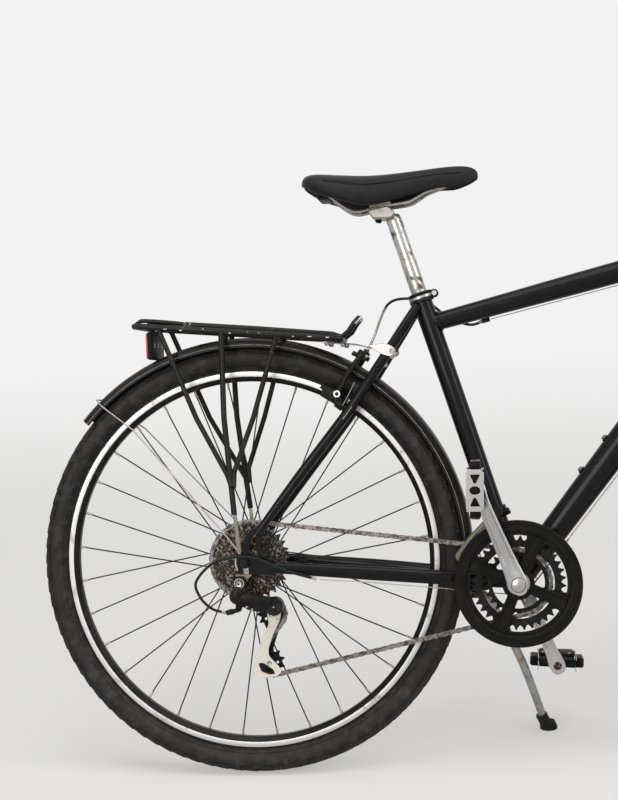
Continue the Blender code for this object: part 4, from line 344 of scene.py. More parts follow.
# Finishes: colour and worn colour, scale of the worn blotches and where the noise starts and ends them
# (spread), the two roughnesses, amount of specular, metal, coat, dust and scratches, and the grain's
# scale and depth, in round cells or not
FINISHES = {
    "paint": dict(colour=(0.0045, 0.0045, 0.005), worn=(0.008, 0.0076, 0.0072), scale=18, rough=(0.2, 0.34),
                  coat=0.08, dust=0.01, scratches=0.04, specular=0.1),
    "rack paint": dict(colour=(0.006, 0.0058, 0.0056), worn=(0.018, 0.016, 0.014), scale=45, specular=0.16,
                       rough=(0.34, 0.6), dust=0.02, scratches=0.25, grain=(420, 0.00006)),
    "black metal": dict(colour=(0.0058, 0.0054, 0.0054), worn=(0.018, 0.016, 0.015), scale=60, specular=0.12,
                        rough=(0.3, 0.55), metallic=0.0, dust=0.02, scratches=0.2, grain=(500, 0.00004)),
    "fender plastic": dict(colour=(0.005, 0.0045, 0.0042), worn=(0.012, 0.01, 0.009), scale=9, specular=0.12,
                           rough=(0.3, 0.46), dust=0.012, scratches=0.1),
    "matte plastic": dict(colour=(0.004, 0.0038, 0.0037), worn=(0.01, 0.009, 0.008), scale=50, specular=0.09,
                          rough=(0.48, 0.7), dust=0.02, scratches=0.1, grain=(700, 0.00006)),
    "tyre": dict(colour=(0.01, 0.0095, 0.0092), worn=(0.034, 0.029, 0.0245), scale=58, rough=(0.62, 0.85),
                 specular=0.22, dust=0.05, spread=(0.46, 0.64), grain=(380, 0.0003)),
    "tread": dict(colour=(0.0125, 0.012, 0.0115), worn=(0.044, 0.038, 0.032), scale=50, rough=(0.75, 0.95),
                  specular=0.2, dust=0.08, grain=(500, 0.00016)),
    "rubber": dict(colour=(0.006, 0.006, 0.006), worn=(0.014, 0.0135, 0.013), scale=60, rough=(0.6, 0.8),
                   specular=0.18, dust=0.02, grain=(500, 0.00008)),
    "housing": dict(colour=(0.006, 0.006, 0.006), worn=(0.012, 0.012, 0.0115), scale=40, rough=(0.38, 0.6),
                    specular=0.18, dust=0.02),
    "leather": dict(colour=(0.0095, 0.009, 0.0092), worn=(0.016, 0.015, 0.015), scale=28, rough=(0.42, 0.58),
                    specular=0.13, dust=0.01, grain=(900, 0.00018), cells=True),
    "silver": dict(colour=(0.43, 0.415, 0.4), worn=(0.24, 0.22, 0.2), scale=70, rough=(0.24, 0.46),
                   metallic=1.0, dust=0.08, scratches=0.35, spread=(0.56, 0.78), grain=(300, 0.00003)),
    "tarnished": dict(colour=(0.42, 0.4, 0.37), worn=(0.1, 0.075, 0.05), scale=48, rough=(0.26, 0.62),
                      metallic=0.9, dust=0.1, scratches=0.5, spread=(0.5, 0.66), grain=(300, 0.00006)),
    "stand alloy": dict(colour=(0.34, 0.32, 0.29), worn=(0.16, 0.14, 0.12), scale=60, rough=(0.42, 0.64),
                        metallic=0.85, dust=0.14, scratches=0.4, spread=(0.5, 0.74), grain=(360, 0.00006)),
    "brake track": dict(colour=(0.5, 0.49, 0.48), worn=(0.15, 0.14, 0.13), scale=34, rough=(0.34, 0.5),
                        metallic=0.85, scratches=0.5, spread=(0.56, 0.78), grain=(260, 0.00003)),
    "steel": dict(colour=(0.31, 0.295, 0.275), worn=(0.17, 0.12, 0.08), scale=110, rough=(0.32, 0.6),
                  metallic=1.0, dust=0.08, scratches=0.2, spread=(0.54, 0.74)),
    "chain": dict(colour=(0.2, 0.185, 0.172), worn=(0.062, 0.046, 0.036), scale=150, rough=(0.34, 0.7),
                  metallic=0.75, dust=0.1, spread=(0.42, 0.64)),
    "grimy cog": dict(colour=(0.032, 0.018, 0.011), worn=(0.155, 0.145, 0.135), scale=190, rough=(0.55, 0.34),
                      metallic=0.8, spread=(0.5, 0.6), grain=(700, 0.0001)),
    "olive steel": dict(colour=(0.15, 0.135, 0.1), worn=(0.3, 0.28, 0.24), scale=60, rough=(0.3, 0.5),
                        metallic=0.8, dust=0.05, spread=(0.5, 0.7)),
    "pinkish alloy": dict(colour=(0.21, 0.165, 0.148), worn=(0.11, 0.08, 0.066), scale=130, rough=(0.38, 0.6),
                          metallic=0.7, dust=0.08, spread=(0.5, 0.74)),
    "ivory": dict(colour=(0.6, 0.56, 0.49), worn=(0.24, 0.15, 0.085), scale=44, rough=(0.34, 0.62),
                  metallic=0.25, dust=0.1, scratches=0.2, spread=(0.58, 0.76)),
    "red lens": dict(colour=(0.42, 0.012, 0.01), worn=(0.3, 0.008, 0.008), scale=80, rough=(0.12, 0.24),
                     coat=0.6, grain=(260, 0.0004), cells=True),
    "amber lens": dict(colour=(0.11, 0.035, 0.012), worn=(0.05, 0.018, 0.008), scale=70, rough=(0.2, 0.4),
                       coat=0.4, grain=(300, 0.0004), cells=True),
    "spoke": dict(colour=(0.009, 0.009, 0.0095), worn=(0.035, 0.034, 0.033), scale=30, rough=(0.3, 0.5),
                  specular=0.16, dust=0.0, spread=(0.58, 0.8)),
    # White paint chips on the rack; the same white also makes a painted highlight line on each seat stay.
    "white chips and painted highlight": dict(colour=(0.55, 0.54, 0.51), worn=(0.32, 0.3, 0.27), scale=200, rough=(0.45, 0.6)),
}


class NodeWriter:
    """Adds nodes to a tree from left to right and links their sockets."""

    def __init__(self, tree):
        self.tree = tree
        self.column = 0

    def add(self, kind, links=None, **settings):
        node = self.tree.nodes.new(kind)
        node.location = (self.column * 190, 0)
        self.column += 1
        for key, value in settings.items():
            setattr(node, key, value)
        for socket, value in (links or {}).items():
            entry = node.inputs[socket]
            if isinstance(value, bpy.types.NodeSocket):
                self.tree.links.new(value, entry)
            else:
                entry.default_value = value
        return node

    def maths(self, operation, *values):
        """The result of one operation on one or two values."""
        return self.add("ShaderNodeMath", dict(enumerate(values)), operation=operation).outputs[0]

    def mixed(self, share, first, second):
        """Two colours mixed."""
        return self.add("ShaderNodeMix", {0: share, 6: first, 7: second}, data_type="RGBA").outputs[2]

    def between(self, value, low, high, start=0.0, stop=1.0, curve="LINEAR"):
        """A value mapped from low..high to start..stop."""
        return self.add("ShaderNodeMapRange", {"Value": value, "From Min": low, "From Max": high,
            "To Min": start, "To Max": stop}, interpolation_type=curve).outputs[0]


SOCKET_KINDS = {"Vector": "NodeSocketVector", "Colour": "NodeSocketColor", "Worn Colour": "NodeSocketColor"}


def group(name, inputs, outputs, fill):
    """A shader node group with named sockets; fill draws its nodes and returns its results."""
    tree = bpy.data.node_groups.get(name)
    if tree:
        return tree
    tree = bpy.data.node_groups.new(name, "ShaderNodeTree")
    for way, labels in (("INPUT", inputs), ("OUTPUT", outputs)):
        for label in labels:
            tree.interface.new_socket(name=label, in_out=way, socket_type=SOCKET_KINDS.get(label,
                "NodeSocketFloat"))
    writer = NodeWriter(tree)
    start = writer.add("NodeGroupInput")
    results = fill(writer, start.outputs)
    writer.add("NodeGroupOutput", results)
    return tree


def worn_colour_group():
    """Two colours and two roughnesses, mixed in soft blotches."""
    def fill(writer, given):
        noise = writer.add("ShaderNodeTexNoise", {"Vector": given["Vector"], "Scale": given["Scale"],
            "Detail": 5.0, "Roughness": 0.62})
        mask = writer.between(noise.outputs[0], given["Start"], given["End"], curve="SMOOTHSTEP")
        mixed = writer.mixed(mask, given["Colour"], given["Worn Colour"])
        rough = writer.add("ShaderNodeMix", {0: mask, 2: given["Roughness"], 3: given["Worn Roughness"]})
        return {"Colour": mixed, "Roughness": rough.outputs[0]}
    return group("Worn Colour", ("Vector", "Colour", "Worn Colour", "Scale", "Start", "End", "Roughness",
        "Worn Roughness"), ("Colour", "Roughness"), fill)


def dust_group():
    """Lays a thin film of dust on what faces up, and some of it everywhere."""
    def fill(writer, given):
        facing = writer.add("ShaderNodeNewGeometry")
        upright = writer.add("ShaderNodeSeparateXYZ", {"Vector": facing.outputs["Normal"]})
        lying = writer.between(upright.outputs["Z"], -0.4, 1.0, 0.35)
        noise = writer.add("ShaderNodeTexNoise", {"Vector": given["Vector"], "Scale": 33.0, "Detail": 6.0})
        patch = writer.between(noise.outputs[0], 0.36, 0.72)
        mask = writer.maths("MULTIPLY", writer.maths("MULTIPLY", lying, patch), given["Amount"])
        mixed = writer.mixed(mask, given["Colour"], (0.3, 0.275, 0.24, 1.0))
        dull = writer.add("ShaderNodeMix", {0: mask, 2: given["Roughness"], 3: 0.95})
        return {"Colour": mixed, "Roughness": dull.outputs[0]}
    return group("Dust", ("Vector", "Colour", "Roughness", "Amount"), ("Colour", "Roughness"), fill)


def scratches_group():
    """Fine scratches: the thin ridges of a warped noise, thinned out in patches."""
    def fill(writer, given):
        noise = writer.add("ShaderNodeTexNoise", {"Vector": given["Vector"], "Scale": 75.0, "Detail": 2.0,
            "Distortion": 1.4})
        ridge = writer.maths("ABSOLUTE", writer.maths("SUBTRACT", noise.outputs[0], 0.5))
        line = writer.between(ridge, 0.0, 0.012, 1.0, 0.0)
        where = writer.add("ShaderNodeTexNoise", {"Vector": given["Vector"], "Scale": 26.0})
        patch = writer.between(where.outputs[0], 0.48, 0.66)
        mask = writer.maths("MULTIPLY", writer.maths("MULTIPLY", line, patch), given["Amount"])
        return {"Colour": writer.mixed(mask, given["Colour"], (0.34, 0.33, 0.31, 1.0))}
    return group("Scratches", ("Vector", "Colour", "Amount"), ("Colour",), fill)


def grain_group(cells):
    """Height of a fine grain, from noise or, for leather and lenses, from rounded cells."""
    def fill(writer, given):
        links = {"Vector": given["Vector"], "Scale": given["Scale"]}
        if cells:
            texture = writer.add("ShaderNodeTexVoronoi", links, feature="SMOOTH_F1")
        else:
            texture = writer.add("ShaderNodeTexNoise", {**links, "Detail": 3.0})
        return {"Height": texture.outputs[0]}
    return group("Cell Grain" if cells else "Noise Grain", ("Vector", "Scale"), ("Height",), fill)


def material(name):
    """The material of a finish, made when it is first asked for."""
    made = bpy.data.materials.get("Bike " + name)
    if made:
        return made
    facts = FINISHES[name]
    looks = bpy.context.scene.bike_looks
    colour = looks.paint_colour if name == "paint" else facts["colour"]
    made = bpy.data.materials.new("Bike " + name)
    made.use_nodes = True
    tree = made.node_tree
    shader = tree.nodes["Principled BSDF"]
    writer = NodeWriter(tree)
    spot = writer.add("ShaderNodeTexCoord").outputs["Object"]
    low, high = facts.get("spread", (0.5, 0.74))
    rough, worn_rough = facts["rough"]
    worn = writer.add("ShaderNodeGroup", {"Vector": spot, "Colour": (*colour, 1.0),
        "Worn Colour": (*facts["worn"], 1.0), "Scale": facts["scale"], "Start": low, "End": high,
        "Roughness": rough, "Worn Roughness": worn_rough}, node_tree=worn_colour_group())
    tint, dull = worn.outputs["Colour"], worn.outputs["Roughness"]
    if facts.get("scratches"):
        marks = writer.add("ShaderNodeGroup", {"Vector": spot, "Colour": tint, "Amount": facts["scratches"]},
            node_tree=scratches_group())
        tint = marks.outputs["Colour"]
    if facts.get("dust"):
        dust = writer.add("ShaderNodeGroup", {"Vector": spot, "Colour": tint, "Roughness": dull,
            "Amount": facts["dust"] * looks.dust}, node_tree=dust_group())
        tint, dull = dust.outputs["Colour"], dust.outputs["Roughness"]
    tree.links.new(tint, shader.inputs["Base Color"])
    tree.links.new(dull, shader.inputs["Roughness"])
    if "grain" in facts:
        scale, depth = facts["grain"]
        grain = writer.add("ShaderNodeGroup", {"Vector": spot, "Scale": scale},
            node_tree=grain_group(facts.get("cells", False)))
        bump = writer.add("ShaderNodeBump", {"Height": grain.outputs["Height"], "Distance": depth})
        tree.links.new(bump.outputs["Normal"], shader.inputs["Normal"])
    shader.inputs["Metallic"].default_value = facts.get("metallic", 0.0)
    shader.inputs["Coat Weight"].default_value = facts.get("coat", 0.0)
    shader.inputs["Coat Roughness"].default_value = 0.12
    shader.inputs["Specular IOR Level"].default_value = facts.get("specular", 0.5)
    return made


# Wheels


def wheel_parts(name, where, flanges, hub_end):
    """Tyre, rim, hub and spokes of one wheel, each its own piece."""
    body = name + "_wheel"
    looks = bpy.context.scene.bike_looks
    bm = bmesh.new()
    right = [(0.3095, 0.0098), (0.3185, 0.01), (0.321, 0.0135), (0.3265, 0.0195), (0.3335, 0.0228),
        (0.341, 0.0226), (0.3475, 0.0196), (0.3495, 0.0178)]
    crown = [(0.3505, 0.0172), (0.3538, 0.0125), (0.3556, 0.006), (0.3561, 0.0)]
    turned(bm, mirrored(right + crown), 160, True)
    tread_start = 0.349
    for face in bm.faces:
        if face.calc_center_median().length > tread_start:
            face.material_index = 1
    knobs, ribs = 88, 120
    with painted(bm, 1):
        for y, width, turn, reach in ((0.0142, 0.0034, 0.35, 0.3512), (0.0068, 0.003, -0.3, 0.3548),
                (0.0, 0.0024, 0.0, 0.3558)):
            for sign in ((-1, 1) if y else (1,)):
                with added(bm) as block_geom:
                    angle = 0.5 * 2 * math.pi / knobs if y and y < 0.01 else 0.0
                    matrix = (Matrix.Rotation(-angle, 4, "Y") @ Matrix.Translation((reach, sign * y, 0.0))
                        @ Matrix.Rotation(sign * y * 22, 4, "Z") @ Matrix.Rotation(sign * turn, 4, "X")
                        @ Matrix.Diagonal((looks.tread_depth * 2, width * 2, 0.0165, 1.0)))
                    bmesh.ops.create_cube(bm, size=1.0, matrix=matrix)
                repeat(bm, block_geom, knobs)
        for sign in (-1, 1):
            with added(bm) as rib:
                matrix = (Matrix.Translation((0.3476, sign * 0.0197, 0.0))
                    @ Matrix.Rotation(sign * 0.55, 4, "Z") @ Matrix.Diagonal((0.0035, 0.0014, 0.006, 1.0)))
                bmesh.ops.create_cube(bm, size=1.0, matrix=matrix)
            repeat(bm, rib, ribs)
    for radius, y in ((0.3238, 0.0172), (0.3452, 0.0212)):
        for sign in (-1, 1):
            turned(bm, [(radius - 0.0005, sign * y), (radius, sign * (y + 0.0009)),
                (radius + 0.0005, sign * y)], 128, True)
    publish(name + "_tyre_rubber", bm, ["tyre", "tread"], body, [name + "_tyre"], where)

    bm = bmesh.new()
    bead = [(0.309, 0.0104), (0.3168, 0.0112), (0.3168, 0.0118), (0.3145, 0.0119)]
    track = [(0.3145, 0.0119), (0.314, 0.01195), (0.307, 0.01195), (0.3064, 0.0118)]
    inner = [(0.3064, 0.0118), (0.305, 0.0112), (0.3005, 0.008), (0.2982, 0.0052), (0.2981, 0.0)]
    turned(bm, mirrored(bead + track[1:] + inner[1:]), 160, True)
    for face in bm.faces:
        middle = face.calc_center_median()
        radius = math.hypot(middle.x, middle.z)
        face.material_index = 1 if 0.3062 < radius < 0.315 and abs(middle.y) > 0.0116 else 0
    with painted(bm, 0):
        turned(bm, [(0.311, 0.01195), (0.3113, 0.01202), (0.3116, 0.01195)], 160)
    publish(name + "_rim_alloy", bm, ["black metal", "brake track"], body, [name + "_rim"],
        where)

    bm = bmesh.new()
    web = 0.0014
    with painted(bm, 1):
        for index in range(SPOKES):
            flange = flanges[1] if index % 2 else flanges[0]
            lean = 1 if (index // 2) % 2 else -1
            rim_angle = 2 * math.pi * (index + 0.5) / SPOKES
            hub_angle = rim_angle + lean * math.radians(68)
            out = (web + 0.001) * lean * (1 if flange > 0 else -1)
            hub_x, hub_z = polar(0.0222, hub_angle)
            rim_x, rim_z = polar(0.2965, rim_angle)
            tube(bm, [(hub_x, flange - out * 0.8, hub_z), (hub_x, flange + out, hub_z),
                (hub_x * 1.02 + rim_x * 0.01, flange + out, hub_z * 1.02 + rim_z * 0.01),
                (rim_x, flange * 0.05, rim_z)], looks.spoke_radius, 8)
    with painted(bm, 2):
        for index in range(SPOKES):
            flange = flanges[1] if index % 2 else flanges[0]
            rim_angle = 2 * math.pi * (index + 0.5) / SPOKES
            outer, middle, start = (polar(r, rim_angle) for r in (0.2976, 0.2905, 0.286))
            tube(bm, [(outer[0], flange * 0.05, outer[1]), (middle[0], flange * 0.07, middle[1]),
                (start[0], flange * 0.09, start[1])], [0.0021, 0.0019, 0.0014], 8)
    left_y, right_y = flanges
    middle_y = (left_y + right_y) / 2
    profile = [(0.0056, hub_end[1]), (0.0112, hub_end[1]), (0.0118, right_y - web - 0.0005),
        (0.015, right_y - web), (0.0256, right_y - web), (0.026, right_y - web + 0.0006),
        (0.026, right_y + web - 0.0006), (0.0256, right_y + web), (0.019, right_y + web),
        (0.016, right_y + web + 0.003), (0.0155, right_y + 0.01), (0.015, middle_y), (0.0155, left_y - 0.01),
        (0.016, left_y - web - 0.003), (0.019, left_y - web), (0.0256, left_y - web),
        (0.026, left_y - web + 0.0006), (0.026, left_y + web - 0.0006), (0.0256, left_y + web),
        (0.015, left_y + web), (0.0122, left_y + web + 0.0008), (0.0112, hub_end[0]), (0.0056, hub_end[0])]
    turned(bm, profile, 64, True)
    with painted(bm, 3):
        turned(bm, [(0.0152, middle_y - 0.004), (0.0158, middle_y - 0.003), (0.0158, middle_y + 0.003),
            (0.0152, middle_y + 0.004)], 48, True)
    publish(name + "_hub_spokes", bm, ["black metal", "spoke", "steel", "rubber"], body,
        [name + "_hub_and_spokes"], where)


def axle_ends(bm, outside):
    """Threaded axle with a hexagonal nut and a washer outside each dropout."""
    with painted(bm, 0):
        rod(bm, (0.0, -outside - 0.0115, 0.0), (0.0, outside + 0.0115, 0.0), 0.0047, 20, 0.0006)
        for index in range(7):
            for sign in (-1, 1):
                y = sign * (outside + 0.0085 + index * 0.0004)
                turned(bm, [(0.0046, y - 0.00015), (0.0049, y), (0.0046, y + 0.00015)], 20, True)
    for sign in (-1, 1):
        turned(bm, [(0.005, sign * outside), (0.0083, sign * outside), (0.0083, sign * (outside + 0.0011)),
            (0.005, sign * (outside + 0.0011))], 36, True)
        low, high = span(sign, outside + 0.0011, outside + 0.0083)
        plate(bm, circle(0.0, 0.0, 0.008, 6, 0.2), low, high, soft=0.0004)


def make_wheels():
    wheel_parts("rear", BIKE, flanges=(0.036, -0.0205), hub_end=(DROPOUT_Y - 0.0008, -0.0245))
    front = STEER @ Matrix.Translation(FRONT_AXLE)
    wheel_parts("front", front, flanges=(0.034, -0.034), hub_end=(0.0492, -0.0492))
    bm = bmesh.new()
    axle_ends(bm, OUTSIDE_Y)
    publish("rear_axle_nuts", bm, "black metal", "root", ["rear_axle"])
    bm = bmesh.new()
    axle_ends(bm, 0.0583)
    publish("front_axle_nuts", bm, "steel", "lowers", ["front_axle"], front)


# Transmission


def pitch_radius(teeth):
    return CHAIN_PITCH / (2 * math.sin(math.pi / teeth))


def tooth_outline(teeth, turn=0.0, tip=0.0036, cut=0.004):
    """A sprocket's edge: round roller seats between narrow teeth with flattened tips."""
    pitch, outline = pitch_radius(teeth), []
    for tooth in range(teeth):
        for share, reach in ((0.0, -cut), (0.14, -cut * 0.82), (0.26, -cut * 0.3), (0.36, tip * 0.45),
                (0.455, tip), (0.545, tip), (0.64, tip * 0.45), (0.74, -cut * 0.3), (0.86, -cut * 0.82)):
            outline.append(polar(pitch + reach, turn + 2 * math.pi * (tooth + share) / teeth))
    return outline


def make_cassette():
    bm = bmesh.new()
    rnd = random.Random(4)
    for index, teeth in enumerate(COG_TEETH):
        y = LARGEST_COG_Y - index * COG_SPACING
        pitch = pitch_radius(teeth)
        holes = [circle(0.0, 0.0, 0.017, 32)]
        if teeth >= 18:
            count = 12 if teeth > 24 else 8
            ring = (pitch - 0.0045 + 0.0185) / 2 + 0.003
            size = min(0.0052, (pitch - 0.0085 - 0.0185) / 2.6)
            for hole in range(count):
                px, pz = polar(ring, 2 * math.pi * (hole + rnd.random() * 0.02) / count)
                holes.append(circle(px, pz, size, 12))
        with painted(bm, 0):
            plate(bm, tooth_outline(teeth, turn=rnd.random()), y - 0.0009, y + 0.0009, holes, 0.0002)
        with painted(bm, 1):
            turned(bm, [(0.0165, y - 0.0012), (0.0185, y - 0.0012), (0.0185, y - COG_SPACING + 0.0012),
                (0.0165, y - COG_SPACING + 0.0012)], 36, True)
    last = LARGEST_COG_Y - 7 * COG_SPACING
    with painted(bm, 1):
        turned(bm, [(0.0056, -0.0667), (0.0105, -0.0667), (0.0108, -0.066), (0.0108, last - 0.0025),
            (0.015, last - 0.0025), (0.015, last - 0.0008), (0.0165, last - 0.0008), (0.0165, -0.0252),
            (0.0056, -0.0252)], 48, True)
        with added(bm) as spline:
            block(bm, (0.011, last - 0.003, -0.0008), (0.0142, last - 0.002, 0.0008), 0.0002)
        repeat(bm, spline, 12)
    publish("cassette_cogs", bm, ["grimy cog", "steel"], "cassette", ["cassette"])


def chain_route():
    """The chain's pitch line, as points one pitch apart with the way it leaves the wheels."""
    circles = [((BB.x, BB.z, pitch_radius(RING_TEETH[0]), 1), SMALL_RING_Y),
        ((0.0, 0.0, pitch_radius(COG_TEETH[0]), 1), LARGEST_COG_Y), ((GUIDE_PULLEY.x, GUIDE_PULLEY.z,
        pitch_radius(PULLEY_TEETH), -1), LARGEST_COG_Y), ((TENSION_PULLEY.x, TENSION_PULLEY.z,
        pitch_radius(PULLEY_TEETH), 1), LARGEST_COG_Y)]
    angles = []
    for index in range(4):
        first, second = circles[index][0], circles[(index + 1) % 4][0]
        gap = Vector((second[0] - first[0], second[1] - first[1]))
        spread = math.acos((first[3] * first[2] - second[3] * second[2]) / gap.length)
        angles.append(math.atan2(gap.y, gap.x) - spread)
    dense = []
    for index in range(4):
        (x, z, radius, turn), y = circles[index]
        start, end = angles[index - 1], angles[index]
        if turn < 0:
            start, end = start + math.pi, end + math.pi
        sweep = (end - start) % (2 * math.pi) if turn > 0 else -((start - end) % (2 * math.pi))
        for step in range(61):
            px, pz = polar(radius, start + sweep * step / 60)
            dense.append(Vector((x + px, y, z + pz)))
    dense.append(dense[0])
    lengths = [0.0]
    for before, after in zip(dense, dense[1:]):
        lengths.append(lengths[-1] + (after - before).length)
    count = 2 * round(lengths[-1] / CHAIN_PITCH / 2)
    points, place_on = [], 0
    for index in range(count):
        wanted = lengths[-1] * index / count
        while lengths[place_on + 1] < wanted:
            place_on += 1
        share = (wanted - lengths[place_on]) / max(lengths[place_on + 1] - lengths[place_on], 1e-9)
        points.append(dense[place_on].lerp(dense[place_on + 1], share))
    return points


def make_chain():
    """Links of waisted side plates, inner and outer in turn, with pins and rollers."""
    points = chain_route()
    bm = bmesh.new()
    for index, point in enumerate(points):
        after = points[(index + 1) % len(points)]
        along = (after - point).normalized()
        out = Vector((-along.z, 0.0, along.x)).normalized()
        across = out.cross(along)
        frame_of_link = place(point, along, across, out)
        inner = index % 2 == 0
        gap = 0.0018 if inner else 0.0027
        pitch = (after - point).length
        outline = []
        for end, turn in ((0.0, 1), (pitch, -1)):
            for step in range(5):
                angle = math.radians(90 + 45 * step) if turn > 0 else math.radians(-90 + 45 * step)
                px, pz = polar(0.0039, angle)
                outline.append((end + px, pz))
            outline.append((pitch / 2, -0.003 if turn > 0 else 0.003))
        with added(bm) as link:
            for sign in (-1, 1):
                low, high = span(sign, gap, gap + 0.0008)
                plate(bm, outline, low, high)
            with painted(bm, 1):
                rod(bm, (0.0, -0.0033, 0.0), (0.0, 0.0033, 0.0), 0.0017, 8)
                rod(bm, (0.0, -0.0018, 0.0), (0.0, 0.0018, 0.0), 0.0036, 10)
        bmesh.ops.transform(bm, matrix=frame_of_link, verts=vertices(link))
    publish("chain_links", bm, ["chain", "steel"], "root", ["chain"], clean=False)


def chainring(name, teeth, y, inner, foot, node):
    """A toothed ring with four feet that reach in to the spider's legs."""
    bm = bmesh.new()
    window = []
    for leg in range(4):
        middle = CRANK_ANGLE + math.radians(45 + 90 * leg)
        spread = math.radians(7.5)
        window.append(polar(inner, middle - spread * 1.6))
        window.append(polar(foot + 0.002, middle - spread))
        window.append(polar(foot, middle))
        window.append(polar(foot + 0.002, middle + spread))
        window.append(polar(inner, middle + spread * 1.6))
        for step in range(1, 12):
            window.append(polar(inner, middle + spread * 1.6 + (math.pi / 2 - spread * 3.2) * step / 12))
    plate(bm, tooth_outline(teeth), y - 0.00095, y + 0.00095, [window], 0.00025)
    publish(name, bm, "black metal", "crankset", [node], BIKE @ Matrix.Translation(BB))


def make_crank_arm(name, side, turn, node):
    """Forged arm with a groove down its face, a domed axle cap and, on the right, the spider."""
    bm = bmesh.new()
    widths = [(-0.0168, 0.0048), (-0.0148, 0.009), (-0.0105, 0.013), (-0.004, 0.0157), (0.005, 0.016),
        (0.017, 0.0149), (0.03, 0.0137), (0.055, 0.0122), (0.09, 0.0112), (0.125, 0.0104), (0.148, 0.0108),
        (0.158, 0.0126), (0.169, 0.0136), (0.177, 0.0118), (0.1825, 0.0078), (0.1845, 0.0024)]
    spot, thick = side * 0.076, 0.0058
    rings = []
    for x, half in widths:
        share = max(0.0, min(1.0, (x - 0.03) / 0.12))
        share = share * share * (3 - 2 * share)
        centre = spot + side * 0.011 * share
        groove = 0.0016 if 0.024 < x < 0.15 else 0.0
        inner = centre - side * thick
        outer = centre + side * thick
        back = groove if side > 0 else 0.0
        section = [(half * 0.55, inner), (half * 0.42, inner + side * back),
            (-half * 0.42, inner + side * back), (-half * 0.55, inner), (-half, inner),
            (-half, outer - side * 0.0018), (-half + 0.002, outer), (-half * 0.62, outer),
            (-half * 0.5, outer - side * groove), (half * 0.5, outer - side * groove), (half * 0.62, outer),
            (half - 0.002, outer), (half, outer - side * 0.0018), (half, inner)]
        if half < 0.004:
            section = [(u * 0.9, v) for u, v in section]
        rings.append([vertex(bm, (x, v, u)) for u, v in section])
    skin(bm, [joined(bm, ring) for ring in rings])
    face = side * 0.0818
    with painted(bm, 1):
        turned(bm, [(0.0, face + side * 0.0012), (0.0096, face + side * 0.0012),
            (0.0104, face + side * 0.0006), (0.0104, face - side * 0.003)], 48)
    with painted(bm, 3):
        turned(bm, [(0.0106, face - side * 0.001), (0.011, face + side * 0.0004),
            (0.012, face + side * 0.0004), (0.0124, face - side * 0.001)], 48, True)
    turned(bm, [(0.0089, side * 0.0565), (0.0168, side * 0.0565), (0.017, side * 0.058),
        (0.0175, side * 0.0712), (0.0089, side * 0.0712)], 48, True)
    eye = (CRANK_LENGTH, 0.0, 0.0)
    top = side * 0.0928
    with painted(bm, 2):
        turned(bm, [(0.0, top - side * 0.006), (0.0042, top - side * 0.006), (0.006, top + side * 0.0002),
            (0.0078, top + side * 0.0002), (0.008, top - side * 0.002)], 36, False, eye)
        rod(bm, (CRANK_LENGTH, side * 0.086, 0.0), (CRANK_LENGTH, side * 0.166, 0.0), 0.0046, 24, 0.0006)
        turned(bm, [(0.0046, side * 0.0934), (0.0078, side * 0.0934), (0.0078, side * 0.0965),
            (0.0046, side * 0.0965)], 8, True, eye)
    with painted(bm, 3):
        turned(bm, [(0.0, side * 0.0808), (0.0066, side * 0.0808), (0.007, side * 0.081),
            (0.0072, side * 0.0818)], 32, False, eye)
    if side < 0:
        middle = SMALL_RING_Y - 1.5 * RING_SPACING
        for leg in range(4):
            angle = math.radians(45 + 90 * leg)
            outline = [polar(r, angle + math.radians(a)) for r, a in ((0.0165, -38), (0.03, -16), (0.048, -9),
                (0.0525, -4), (0.0525, 4), (0.048, 9), (0.03, 16), (0.0165, 38))]
            plate(bm, outline, middle - 0.0024, middle + 0.0024, soft=0.0006)
            x, z = polar(0.0385, angle)
            with painted(bm, 1):
                rod(bm, (x, middle, z), (x, SMALL_RING_Y - 0.0012, z), 0.0034, 16, 0.0004)
            x, z = polar(0.047, angle)
            with painted(bm, 1):
                turned(bm, [(0.0, middle - 0.003), (0.003, middle - 0.003), (0.0042, middle - 0.0022),
                    (0.0042, middle)], 16, False, (x, 0.0, z))
        turned(bm, [(0.0089, -0.0475), (0.0205, -0.0495), (0.0205, -0.0565), (0.0089, -0.057)], 40, True)
    else:
        rod(bm, (0.0, -0.0735, 0.0), (0.0, 0.074, 0.0), 0.0083, 32, 0.0004)
    where = BIKE @ Matrix.Translation(BB) @ Matrix.Rotation(-turn, 4, "Y")
    publish(name, bm, ["silver", "silver", "steel", "grimy cog"], "crankset", [node], where)


